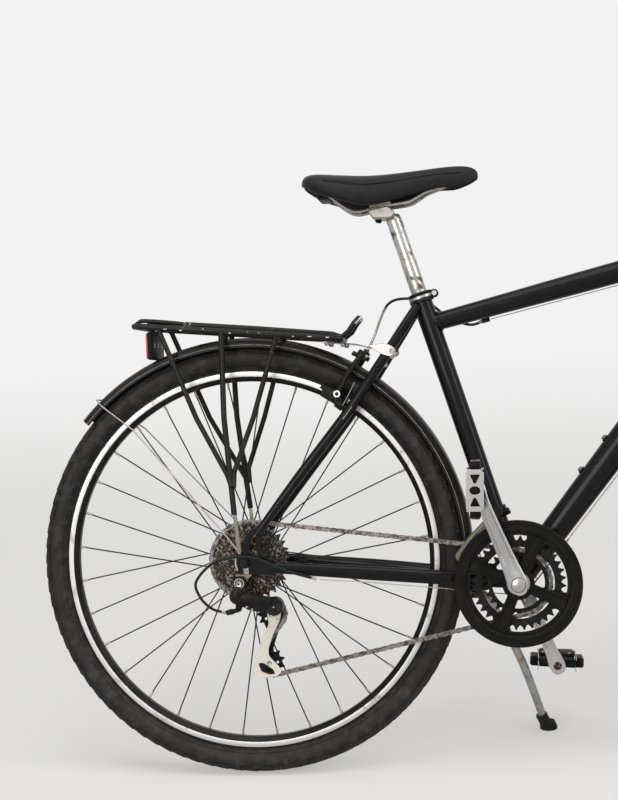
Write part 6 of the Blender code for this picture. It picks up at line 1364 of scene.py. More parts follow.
def make_rack():
    half = RACK_HALF
    bm = bmesh.new()
    corner = [rack_point(0.03, -half), rack_point(0.3, -half), rack_point(0.7, -half),
        rack_point(0.96, -half * 0.92), rack_point(1.0, -half * 0.7), rack_point(1.0, half * 0.7),
        rack_point(0.96, half * 0.92), rack_point(0.7, half), rack_point(0.3, half), rack_point(0.03, half),
        rack_point(0.0, half * 0.8), rack_point(0.0, -half * 0.8)]
    tube(bm, corner, 0.0053, 20, closed=True)
    for share in (0.07, 0.42, 0.72):
        rod(bm, rack_point(share, -half), rack_point(share, half), 0.0038, 16)
    for side in (-1, 1):
        rail = [(-0.012, side * 0.034, -0.002), (0.02, side * 0.036, 0.007), (0.055, side * 0.036, 0.0105),
            (0.24, side * 0.036, 0.009), (0.262, side * 0.036, 0.003)]
        tube(bm, curve_through([rack_point(*spot) for spot in rail], 4), 0.0036, 14)
    tube(bm, [rack_point(0.0, 0.0, -0.001), rack_point(0.5, 0.0, -0.001), rack_point(1.0, 0.0, -0.001)],
        (0.0095, 0.002), 16)
    for side in (-1, 1):
        knee = Vector((-0.0135, side * (OUTSIDE_Y + 0.004), 0.08))
        legs = (([rack_point(0.43, side * half), Vector((-0.027, side * 0.06, 0.24)), knee], 0.0048),
            ([rack_point(0.12, side * half), Vector((-0.074, side * 0.056, 0.24)),
            Vector((-0.024, side * 0.067, 0.145)), knee + Vector((-0.002, 0, 0.045))], 0.0043),
            ([rack_point(0.7, side * half), Vector((0.0215, side * 0.058, 0.237)),
            Vector((-0.012, side * 0.069, 0.15)), knee + Vector((0.001, 0, 0.045))], 0.0043))
        for route, radius in legs:
            tube(bm, route, radius, 16)
        low, high = span(side, OUTSIDE_Y, OUTSIDE_Y + 0.0029)
        with painted(bm, 1):
            outline = [(-0.0125, 0.02), (-0.011, 0.015), (-0.006, 0.015), (-0.0045, 0.02), (-0.0106, 0.085),
                (-0.0158, 0.085)]
            plate(bm, rounded(outline, 0.003, 3), low, high, [circle(-0.0085, 0.0205, 0.0027, 12)], 0.0006)
            socket_bolt(bm, (-0.0085, side * (OUTSIDE_Y + 0.0026), 0.0205), (0.0, side, 0.0), 0.0042, 0.0004,
                1)
        for share in (0.12, 0.43, 0.7):
            spot = rack_point(share, side * half, -0.0052)
            with painted(bm, 2):
                block(bm, spot + Vector((-0.0042, -0.0016, -0.0006)), spot + Vector((0.0042, 0.0016, 0.0016)),
                    0.0005)
    rnd = random.Random(9)
    with painted(bm, 2):
        for share in (0.05, 0.16, 0.235, 0.345, 0.385, 0.475, 0.56, 0.615, 0.78, 0.86, 0.945):
            spot = rack_point(share, -half - 0.0046, rnd.uniform(-0.0022, 0.0024))
            length = rnd.uniform(0.0012, 0.0034)
            block(bm, spot + Vector((-length, -0.0005, -0.0008)), spot + Vector((length, 0.0009, 0.0008)),
                0.0003)
    publish("rack_tubes", bm, ["rack paint", "olive steel", "white chips and painted highlight"], "root", ["rack"])

    bm = bmesh.new()
    start = rack_point(0.93, 0.0, -0.0068)
    block(bm, start + Vector((-0.008, -0.036, -0.001)), start + Vector((0.008, 0.036, 0.0009)), 0.0004)
    for side in (-1, 1):
        clamp = stay_at(0.336, side)
        direction = (stay_at(0.346, side) - stay_at(0.326, side)).normalized()
        end = clamp + Vector((-0.011, 0.0, 0.003))
        tube(bm, [start + Vector((0.0, side * 0.031, 0.0)), start + Vector((0.05, side * 0.032, -0.006)),
            end], (0.0056, 0.0009), 12)
        face = sorted((clamp.y + side * 0.008, clamp.y + side * 0.0102))
        outline = rounded([(0.2166, 0.348), (0.24, 0.35), (0.25, 0.347), (0.259, 0.34), (0.259, 0.332),
            (0.25, 0.3275), (0.238, 0.331), (0.2165, 0.3455)], 0.004, 3)
        plate(bm, outline, face[0], face[1], soft=0.0006)
        tube(bm, [clamp - direction * 0.0068, clamp - direction * 0.0062, clamp + direction * 0.0062,
            clamp + direction * 0.0068], [0.0088, 0.0094, 0.0094, 0.0088], 32, caps=False)
        with painted(bm, 1):
            socket_bolt(bm, (0.2535, face[0] if side < 0 else face[1], 0.3365), (0.0, side, 0.0), 0.0046,
                0.003, 1)
        for offset in (0.0, 0.026):
            socket_bolt(bm, start + Vector((offset + 0.002, side * 0.0312, 0.0002 - offset * 0.12)),
                (0.0, 0.0, -1.0), 0.004, 0.0062)
    publish("rack_strip", bm, ["silver", "steel"], "root", ["rack_struts"])

    bm = bmesh.new()
    rise = 0.0083
    arm = [[rack_point(share, side * y, rise + extra) for share, y, extra in ((0.26, 0.03, 0.0),
        (0.6, 0.032, 0.0), (0.96, 0.027, -0.0015), (1.005, 0.024, -0.005), (1.04, 0.022, 0.005),
        (1.066, 0.02, 0.019), (1.088, 0.016, 0.028))] for side in (-1, 1)]
    route = arm[0] + list(reversed(arm[1]))
    tube(bm, route, 0.0049, 16)
    for face in bm.faces:
        if face.calc_center_median().x > rack_point(1.083).x:
            face.material_index = 1
    tube(bm, [rack_point(0.26, -0.042, rise), rack_point(0.26, 0.042, rise)], 0.0038, 16)
    with painted(bm, 1):
        for side in (-1, 1):
            coil = []
            for step in range(61):
                angle = 2 * math.pi * step / 12
                coil.append(rack_point(0.26, side * (0.033 + 0.008 * step / 60), rise)
                    + Vector((0.0052 * math.cos(angle), 0.0, 0.0052 * math.sin(angle))) * 0.9)
            tube(bm, coil, 0.0007, 6)
    publish("spring_clip", bm, ["rack paint", "tarnished"], "rack_clip", ["rack_spring_clip"])


def fender_shell(bm, start_angle, end_angle, steps):
    """A thin arched shell swept round the wheel, with rolled edges and a line near each edge."""
    outer = [(0.3548, 0.0276), (0.36, 0.028), (0.366, 0.0262), (0.3692, 0.0205), (0.3708, 0.012),
        (0.3714, 0.0)]
    inner = [(0.3548, 0.0266), (0.364, 0.0252), (0.3674, 0.0196), (0.369, 0.0115), (0.3697, 0.0)]
    section = mirrored(outer) + mirrored(inner)[::-1]
    verts = [vertex(bm, (r * math.cos(start_angle), y, r * math.sin(start_angle))) for r, y in section]
    first = joined(bm, verts)
    swept = bmesh.ops.spin(bm, geom=verts + first, cent=(0, 0, 0), axis=AXIS_Y,
        angle=-(end_angle - start_angle), steps=steps)
    last = [item for item in swept["geom_last"] if isinstance(item, bmesh.types.BMEdge)]
    bmesh.ops.holes_fill(bm, edges=first, sides=0)
    bmesh.ops.holes_fill(bm, edges=last, sides=0)
    with painted(bm, 1):
        for sign in (-1, 1):
            line = []
            for step in range(steps + 1):
                angle = start_angle + (end_angle - start_angle) * step / steps
                line.append((0.359 * math.cos(angle), sign * 0.0277, 0.359 * math.sin(angle)))
            tube(bm, line, (0.0004, 0.0004), 6)


def make_fenders():
    bm = bmesh.new()
    fender_shell(bm, math.radians(-1.0), math.radians(138.5), 112)
    tab = rack_point(0.42)
    bridge = Vector((STAY_BRIDGE[0], 0.0, STAY_BRIDGE[1]))
    toward = bridge.normalized()
    with painted(bm, 2):
        block(bm, (tab.x - 0.0058, -0.0075, 0.3685), (tab.x + 0.0058, 0.0075, tab.z - 0.0045), 0.0006)
        rod(bm, toward * 0.3692, bridge - toward * 0.0074, 0.0048, 20)
        tube(bm, [(0.3708, 0, 0.0018), (0.38, 0, 0.0), (0.3845, 0, -0.034)], (0.0055, 0.0011), 12)
    publish("rear_guard", bm, ["fender plastic", "stand alloy", "black metal"], "root", ["rear_fender"])

    outside = OUTSIDE_Y + 0.0034
    angle = math.radians(132.0)
    edge_y, over = 0.0302, 0.374
    points = []
    for side in (-1, 1):
        points.append([Vector(p) for p in ((-0.0065, side * (outside + 0.0018), 0.016),
            (-0.025, side * (outside + 0.0018), 0.042), (-0.185, side * 0.044, 0.225),
            (0.3596 * math.cos(angle), side * (edge_y + 0.002), 0.3596 * math.sin(angle)),
            (over * math.cos(angle), side * (edge_y - 0.003), over * math.sin(angle)))])
    bm = bmesh.new()
    tube(bm, points[0] + list(reversed(points[1])), 0.0012, 12)
    publish("rear_guard_stay", bm, "stand alloy", "root", ["rear_fender_stay"])

    bm = bmesh.new()
    bar = rack_point(0.07)
    block(bm, (bar.x - 0.0028, -0.0418, bar.z - 0.0543), (bar.x + 0.0062, 0.0418, bar.z - 0.0077), 0.002)
    block(bm, (bar.x - 0.0038, -0.0095, bar.z - 0.02), (bar.x + 0.0038, 0.0095, bar.z - 0.0045), 0.001)
    with painted(bm, 1):
        block(bm, (bar.x - 0.0063, -0.0395, bar.z - 0.0525), (bar.x - 0.0026, 0.0395, bar.z - 0.0095), 0.0015)
    for y in (-0.028, 0.0, 0.028):
        socket_bolt(bm, (bar.x + 0.0058, y, bar.z - 0.03), (1.0, 0.0, 0.0), 0.0036, 0.0006, 2)
    publish("reflector_unit", bm, ["matte plastic", "red lens", "steel"], "root", ["rear_reflector"])

    front = STEER @ Matrix.Translation(FRONT_AXLE)
    bm = bmesh.new()
    fender_shell(bm, math.radians(33), math.radians(186), 120)
    arch_x, arch_z = 0.018 - FRONT_AXLE.x, -0.089 - FRONT_AXLE.z
    with painted(bm, 2):
        block(bm, (arch_x - 0.0056, -0.0095, 0.3682), (arch_x + 0.0056, 0.0095, arch_z - 0.0074), 0.0008)
    x, z = polar(0.3641, math.radians(172))
    with painted(bm, 1):
        for side in (-1, 1):
            tube(bm, [(-0.013, side * 0.0603, 0.013), (-0.06, side * 0.0625, 0.018),
                (x + 0.06, side * 0.04, z - 0.006), (x, side * 0.0277, z)], 0.0015, 12)
    publish("front_guard", bm, ["fender plastic", "stand alloy", "black metal"], "lowers", ["front_fender"],
        front)


def make_stand():
    pivot_spot = joint_spot("kickstand_fold")
    axis = Vector((-0.207, 0.978, 0.0)).normalized()
    tilt = math.asin(-LEAN_Y.z)
    foot = Vector((0.483, 0.165, 0.0))
    ground_height = -BIKE.translation.z
    ground = Vector((0.0, -math.sin(tilt), math.cos(tilt)))
    foot.z = (foot.y * math.sin(tilt) + ground_height) / math.cos(tilt)
    leg = (foot - pivot_spot).normalized()
    end = foot - pivot_spot
    bm = bmesh.new()
    tube(bm, [axis * -0.0074, axis * -0.006, axis * 0.0105, axis * 0.0118], [0.0105, 0.0118, 0.0118, 0.01],
        36)
    route = curve_through([Vector((0.0, 0.003, 0.0)), Vector((0.012, 0.0055, -0.012)),
        Vector((0.024, 0.011, -0.027)), end * 0.5 + Vector((0.012, 0.0, 0.004)), end - leg * 0.02], 8)
    count = len(route)
    tube(bm, route, [(0.0064 - 0.0008 * i / count, 0.008 - 0.0012 * i / count) for i in range(count)], 28)
    side = leg.cross(AXIS_Y).normalized()
    with painted(bm, 0):
        for sign in (-1, 1):
            ridge = [p + AXIS_Y * -0.0052 + side * sign * 0.003 for p in route[10:-8]]
            tube(bm, ridge, 0.0009, 8)
    socket_bolt(bm, axis * 0.0112, axis, 0.0052, 0.0008)
    publish("stand_leg", bm, ["stand alloy", "steel"], "kickstand", ["kickstand_leg"],
        BIKE @ Matrix.Translation(pivot_spot))
    bm = bmesh.new()
    tube(bm, [end - leg * a for a in (0.0338, 0.033, 0.03, 0.0285, 0.012)],
        [0.0094, 0.0102, 0.0102, 0.0098, 0.0104], 36)
    along = Vector((1.0, 0.0, 0.0))
    sideways = ground.cross(along)
    pad = []
    for height, half_x, half_y in ((0.0002, 0.0138, 0.011), (0.0012, 0.0149, 0.0119), (0.006, 0.0152, 0.0122),
            (0.011, 0.013, 0.0112), (0.0158, 0.0108, 0.0103)):
        ring = []
        for step in range(36):
            turn = 2 * math.pi * step / 36
            around = along * (half_x * math.cos(turn)) + sideways * (half_y * math.sin(turn))
            ring.append(vertex(bm, end + ground * height + around))
        pad.append(joined(bm, ring))
    skin(bm, pad)
    publish("stand_shoe", bm, "rubber", "kickstand", ["kickstand_foot"],
        BIKE @ Matrix.Translation(pivot_spot))


# Brakes


STAY_UP = Vector((0.6349, 0.0, 0.7726))
ARM_UP = (STAY_UP + BOSS_OUT * 0.11).normalized()


def brake_arm(hinge, out, up, centre, side, start, stop, bow, shift):
    """One rim brake arm: barrel, cast arm, pad holder with its washers, spring and cable end."""
    middle = out * ((start + stop) / 2)
    side_y = AXIS_Y * side
    bm = bmesh.new()
    tube(bm, [out * (start + 0.0001), out * (start + 0.001), out * (stop - 0.001), out * (stop - 0.0001)],
        [0.008, 0.0088, 0.0088, 0.0076], 40)
    radial = hinge + middle - centre
    radial.y = 0.0
    toward = radial.normalized()
    tangent = Vector((-toward.z, 0.0, toward.x))
    pad_centre = centre + toward * (RIM_RADIUS - 0.0058) - hinge + tangent * shift
    inner = 0.012 + 0.0022 - abs(hinge.y)
    pad_middle = Vector((pad_centre.x, side * (inner + 0.005), pad_centre.z))
    post_end = Vector((pad_centre.x, side * 0.004, pad_centre.z))
    top = middle + up * 0.0905 + out * bow - side_y * 0.004
    elbow = middle + up * 0.011 + out * bow
    route = curve_through([middle, elbow + side_y * 0.003, middle + up * 0.03 + out * bow * 1.15
        + side_y * 0.0055, middle + up * 0.048 + out * bow * 1.15 + side_y * 0.006,
        middle + up * 0.074 + out * bow + side_y * 0.0028, top], 5)
    count = len(route) - 1
    sizes = [(0.0098 - 0.0046 * min(1.0, 1.6 * i / count), 0.0052 - 0.0012 * i / count)
        for i in range(count + 1)]
    tube(bm, route, sizes, 24)
    tube(bm, [top - up * 0.012, top, top + up * 0.003], [0.0056, 0.0072, 0.0052], 20)
    rod(bm, top - out * 0.01 - up * 0.006, top + out * 0.014 - up * 0.0105, 0.004, 16, 0.0008)
    tube(bm, [post_end, elbow + side_y * 0.002], 0.0056, 20)
    with painted(bm, 1):
        socket_bolt(bm, out * (stop - 0.0014), out, 0.0048, 0.0012)
        tube(bm, [out * (stop - 0.0022), out * (stop - 0.0004)], [0.0066, 0.0064], 28)
        rod(bm, pad_middle, post_end, 0.003, 16)
        nut = elbow + side_y * 0.0112
        turned(bm, [(0.0022, nut.y), (0.0034, nut.y + side * 0.0016), (0.0056, nut.y + side * 0.0016),
            (0.0062, nut.y + side * 0.0008), (0.0062, nut.y - side * 0.008)], 28, False, (nut.x, 0.0, nut.z))
        bolt = top - up * 0.004
        rod(bm, bolt - out * 0.006 - side_y * 0.0038, bolt + out * 0.0062 - side_y * 0.0038, 0.0042, 24,
            0.0008)
        spring = [middle + up * -0.002 + out * -0.0052 + side_y * 0.0074,
            middle + up * 0.02 + out * -0.005 + side_y * 0.0108, middle + up * 0.044 + out * -0.003
            + side_y * 0.0112]
        tube(bm, curve_through(spring, 6), 0.0008, 8)
    tube(bm, [post_end - side_y * 0.0035, post_end - side_y * 0.0015], [0.0044, 0.0044], 24)
    tube(bm, [post_end + side_y * 0.0012, post_end + side_y * 0.0032], [0.0042, 0.0042], 6)
    face = Matrix.Translation(pad_middle) @ place((0, 0, 0), (tangent.x, 0, tangent.z), (0, 1, 0),
        (toward.x, 0, toward.z))
    with painted(bm, 2):
        # Painted shade: a dark disc just inside the nut's opening stands for the shade in its socket.
        turned(bm, [(0.0, nut.y - side * 0.0004), (0.0028, nut.y - side * 0.0004)], 6, False,
            (nut.x, 0.0, nut.z))
        block(bm, (-0.0248, -0.0049, -0.0046), (0.0248, 0.0049, 0.0046), 0.0014, face)
        low, high = span(side, 0.0046, 0.0086)
        block(bm, (-0.0165, low, -0.015), (0.019, high, 0.0052), 0.003, face)
    return bm


def make_brakes():
    for label, side in (("right", -1), ("left", 1)):
        base, boss = rear_boss(side), front_boss(side)
        rear = brake_arm(base, BOSS_OUT, ARM_UP, Vector((0, 0, 0)), side, start=0.0106, stop=0.0255,
            bow=0.0125, shift=0.02)
        front = brake_arm(boss, Vector((1, 0, 0)), Vector((0, 0, 1)), FRONT_AXLE, side, start=0.0246,
            stop=0.0395, bow=0.0, shift=0.006)
        for end, bm, where, hinge in (("rear", rear, BIKE, base), ("front", front, STEER, boss)):
            node = end + "_brake_arm_" + label
            publish(end + "_caliper_" + label, bm, ["black metal", "silver", "rubber"], node, [node],
                where @ Matrix.Translation(hinge))


# Fork and handlebar, drawn along the steering axis


def make_fork():
    bm = bmesh.new()
    half = 0.062
    tube(bm, [(0, 0, -0.006), (0, 0, 0.181), (0, 0, 0.1825)], [0.0142, 0.0142, 0.013], 32)
    crown = [(0, y, z) for y, z in ((-half - 0.0168, -0.0145), (-half - 0.01, -0.014), (-half, -0.0135),
        (-0.03, -0.0128), (0, -0.0125), (0.03, -0.0128), (half, -0.0135), (half + 0.01, -0.014),
        (half + 0.0168, -0.0145))]
    tube(bm, crown, [(0.0105, 0.008), (0.015, 0.0108), (0.0162, 0.0119), (0.015, 0.012), (0.0163, 0.0123),
        (0.015, 0.012), (0.0162, 0.0119), (0.015, 0.0108), (0.0105, 0.008)], 32)
    tube(bm, [(0, 0, -0.004), (0, 0, 0.003), (0, 0, 0.0046)], [0.0198, 0.0198, 0.018], 40)
    for side in (-1, 1):
        with painted(bm, 1):
            tube(bm, [(0, side * half, -0.02), (0, side * half, -0.3598)], 0.0139, 32)
        with painted(bm, 2):
            tube(bm, [(0, side * half, -0.004), (0, side * half, -0.002), (0, side * half, -0.0012)],
                [0.0118, 0.0114, 0.009], 28)
    publish("fork_top", bm, ["black metal", "silver", "matte plastic"], "steering", ["fork_crown"],
        STEER)

    bm = bmesh.new()
    axle_x, axle_z = FRONT_AXLE.x, FRONT_AXLE.z
    right = [(0.0165, -half, -0.162), (0.0215, -0.061, -0.148), (0.023, -0.06, -0.14),
        (0.023, -0.054, -0.114), (0.0185, -0.031, -0.0898)]
    arch = right + [(0.018, 0.0, -0.0868)] + [(x, -y, z) for x, y, z in reversed(right)]
    arch = curve_through(arch, 5)
    tube(bm, arch, [(0.006, 0.0067)] * len(arch), 20)
    for side in (-1, 1):
        y = side * half
        legs = [(0, y, -0.1503), (0, y, -0.153), (0, y, -0.172), (0, y, -0.175), (0, y, -0.3),
            (0.0015, y, axle_z + 0.07), (0.0037, y, axle_z + 0.034), (0.004, y, axle_z + 0.0302)]
        tube(bm, legs, [0.0172, 0.0184, 0.0184, 0.0176, 0.018, 0.0172, 0.0158, 0.0148], 36)
        with painted(bm, 1):
            tube(bm, [(0, y, -0.1502), (0, y, -0.1475), (0, y, -0.1465)], [0.0176, 0.0168, 0.0145], 32)
        low, high = span(side, 0.05, 0.0579)
        outline = [(-0.006, axle_z + 0.06), (0.02, axle_z + 0.07), (0.04, axle_z + 0.018),
            (axle_x + 0.013, axle_z + 0.006), (axle_x + 0.011, axle_z - 0.0135),
            (axle_x + 0.0053, axle_z - 0.0135), (axle_x + 0.0053, axle_z), (axle_x + 0.004, axle_z + 0.004),
            (axle_x, axle_z + 0.0053), (axle_x - 0.004, axle_z + 0.004), (axle_x - 0.0053, axle_z),
            (axle_x - 0.0053, axle_z - 0.0135), (axle_x - 0.011, axle_z - 0.0135),
            (axle_x - 0.018, axle_z + 0.004), (-0.008, axle_z + 0.022)]
        plate(bm, outline, low, high, soft=0.001)
        boss = front_boss(side)
        tube(bm, [boss, boss + Vector((0.0225, 0, 0)), boss + Vector((0.0238, 0, 0))],
            [0.0083, 0.0083, 0.0074], 24)
        rod(bm, boss + Vector((0.02, 0, 0)), boss + Vector((0.0405, 0, 0)), 0.0044, 20)
    publish("fork_casting", bm, ["paint", "rubber"], "lowers", ["fork_lowers"], STEER)


def bar_point(y):
    reach = abs(y)
    rising = max(0.0, min(1.0, (reach - 0.04) / 0.07))
    return Vector((STEM_LENGTH - max(0.0, reach - 0.11) * math.tan(math.radians(8)), y,
        BAR_HEIGHT + BAR_RISE * rising))


def along_bar(start, stop, side, steps=1):
    return [bar_point(side * (start + (stop - start) * step / steps)) for step in range(steps + 1)]


def make_bar():
    bm = bmesh.new()
    spots = [-0.3, -0.23, -0.16, -0.118, -0.11, -0.102, -0.09, -0.06, -0.05, -0.042, -0.034, -0.025]
    spots = spots + [0.0] + [-spot for spot in reversed(spots)]
    sizes = [0.0126 if abs(spot) < 0.036 else 0.011 for spot in spots]
    tube(bm, [bar_point(spot) for spot in spots], sizes, 32)
    publish("bar_tube", bm, "black metal", "steering", ["handlebar"], STEER)

    bm = bmesh.new()
    for a, b, r in ((0.1234, 0.129, 0.0213), (0.1294, 0.136, 0.0213), (0.1364, 0.1488, 0.021)):
        tube(bm, [(0, 0, a), (0, 0, a + 0.0006), (0, 0, b - 0.0006), (0, 0, b)],
            [r - 0.0008, r, r, r - 0.0008], 44)
    tube(bm, [(0, 0, 0.147), (0, 0, 0.15), (0, 0, 0.186), (0, 0, 0.1882)], [0.0193, 0.0193, 0.0193, 0.0178],
        40)
    body = curve_through([(0.006, 0, 0.1673), (0.03, 0, 0.1695), (0.06, 0, 0.173), (0.078, 0, BAR_HEIGHT)], 4)
    tube(bm, body, [(0.0161, 0.0184 - 0.0026 * i / len(body)) for i in range(len(body))], 32)
    turned(bm, [(0.0129, -0.0236), (0.0196, -0.0236), (0.0203, -0.0228), (0.0203, 0.0228), (0.0196, 0.0236),
        (0.0129, 0.0236)], 44, True, (STEM_LENGTH, 0.0, BAR_HEIGHT))
    with painted(bm, 1):
        tube(bm, [(0, 0, 0.188), (0, 0, 0.1888), (0, 0, 0.1889)], [0.0172, 0.016, 0.012], 40)
        for sign in (-1, 1):
            for lift in (-1, 1):
                socket_bolt(bm, (STEM_LENGTH + 0.0168, sign * 0.0165, BAR_HEIGHT + lift * 0.0095), (1, 0, 0),
                    0.0033, 0.0026)
    publish("stem_and_cap", bm, ["black metal", "steel"], "steering", ["stem"], STEER)

    for name, side in (("right", -1), ("left", 1)):
        bm = bmesh.new()
        path = along_bar(0.1752, 0.3028, side, 60)
        radii = []
        for step in range(61):
            ridge = 0.0007 if 3 < step < 57 and step % 2 else 0.0
            collar = 0.0012 if step < 3 or step > 58 else 0.0
            radii.append(0.015 + ridge + collar - 0.0002 * step / 60 if 0 < step < 60 else 0.0146)
        tube(bm, path, radii, 32)
        publish(name + "_grip_rubber", bm, "rubber", "steering", [name + "_grip"], STEER)
        hinge = bar_point(side * 0.15) + Vector((0.036, 0, -0.01))
        middle = bar_point(side * 0.146)
        bm = bmesh.new()
        tube(bm, along_bar(0.1381, 0.1539, side, 3), [0.0158, 0.0164, 0.0164, 0.0158], 40)
        tube(bm, curve_through([middle + Vector((0.008, 0, -0.003)), middle + Vector((0.022, 0, 0.0002)),
            hinge + Vector((0.003, 0.0, 0.012))], 4), (0.0078, 0.0033), 20)
        tube(bm, curve_through([middle + Vector((0.004, 0, -0.015)), middle + Vector((0.02, 0, -0.02)),
            hinge + Vector((0.003, 0.0, -0.012))], 4), (0.0078, 0.0033), 20)
        tube(bm, [middle + Vector((0.017, side * -0.004, -0.004)), middle
            + Vector((0.0195, side * -0.018, -0.002)), middle + Vector((0.0198, side * -0.02, -0.002)),
            middle + Vector((0.022, side * -0.03, 0.0))], [0.0048, 0.0046, 0.004, 0.0034], 20)
        with painted(bm, 1):
            rod(bm, hinge + Vector((0, 0, -0.0149)), hinge + Vector((0, 0, 0.0149)), 0.0029, 20, 0.0005)
            socket_bolt(bm, middle + Vector((-0.014, 0.0, -0.003)), (-1, 0, 0), 0.0034, 0.0022)
        pod = bar_point(side * 0.124)
        y0, y1 = span(side, 0.1064, 0.1426)
        with painted(bm, 2):
            block(bm, (pod.x - 0.0156, y0, pod.z - 0.0268), (pod.x + 0.0256, y1, pod.z - 0.0144), 0.0042,
                segments=4)
            spot = bar_point(side * 0.122) + Vector((0.012, 0, -0.031))
            rod(bm, spot + Vector((0, 0, 0.006)), spot + Vector((0, 0, -0.0044)), 0.0029, 16)
            tube(bm, [(pod.x + 0.02, side * 0.1066, pod.z - 0.02), (pod.x + 0.02, side * 0.1062,
                pod.z - 0.02)], [0.0036, 0.0032], 16)
        publish(name + "_perch_and_shifter", bm, ["black metal", "steel", "matte plastic"], "steering",
            [name + "_lever_perch"], STEER)

        bm = bmesh.new()
        tube(bm, [(0, 0, -0.0054), (0, 0, -0.0048), (0, 0, 0.0048), (0, 0, 0.0054)],
            [0.0076, 0.0084, 0.0084, 0.0076], 32)
        blade = curve_through([(0.004, 0.0, 0.0), (0.017, side * 0.022, -0.003),
            (0.012, side * 0.055, -0.006), (0.004, side * 0.088, -0.008), (0.008, side * 0.106, -0.008)], 7)
        count = len(blade) - 1
        tube(bm, blade, [(0.0034 - 0.0006 * i / count, 0.0056 - 0.0008 * math.sin(math.pi * i / count))
            for i in range(count)] + [(0.0016, 0.003)], 20)
        publish(name + "_lever_blade", bm, "black metal", name + "_brake_lever", [name + "_brake_lever"],
            STEER @ Matrix.Translation(hinge))

        bm = bmesh.new()
        tube(bm, [(0, 0, -0.0034), (0, 0, -0.0028), (0, 0, 0.0024), (0, 0, 0.0029)],
            [0.0066, 0.0074, 0.0074, 0.0066], 28)
        paddle = curve_through([(0, 0, -0.0005), (-0.014, side * -0.004, -0.001),
            (-0.031, side * 0.003, -0.004)], 6)
        count = len(paddle) - 1
        tube(bm, paddle, [(0.005 + 0.0032 * (i / count) ** 2, 0.0021 + 0.0006 * i / count)
            for i in range(count)] + [(0.006, 0.0016)], 20)
        spot = bar_point(side * 0.122) + Vector((0.012, 0, -0.031))
        publish(name + "_trigger_paddle", bm, "matte plastic", name + "_shift_trigger",
            [name + "_shift_trigger"], STEER @ Matrix.Translation(spot))


# Cables


def in_steering(point):
    gap = Vector(point) - CROWN
    return Vector((gap.dot(FORWARD_HEAD), gap.y, gap.dot(UP_HEAD)))


def housing(bm, route):
    """Cable housing through points with a metal ferrule at each end."""
    route = curve_through(route, 7)
    tube(bm, route, bpy.context.scene.bike_looks.housing_radius, 12)
    with painted(bm, 1):
        for first, second in ((route[0], route[1]), (route[-1], route[-2])):
            along = (second - first).normalized()
            tube(bm, [first + along * a for a in (0.0002, 0.0006, 0.0085)], [0.00245, 0.00252, 0.00252], 14)


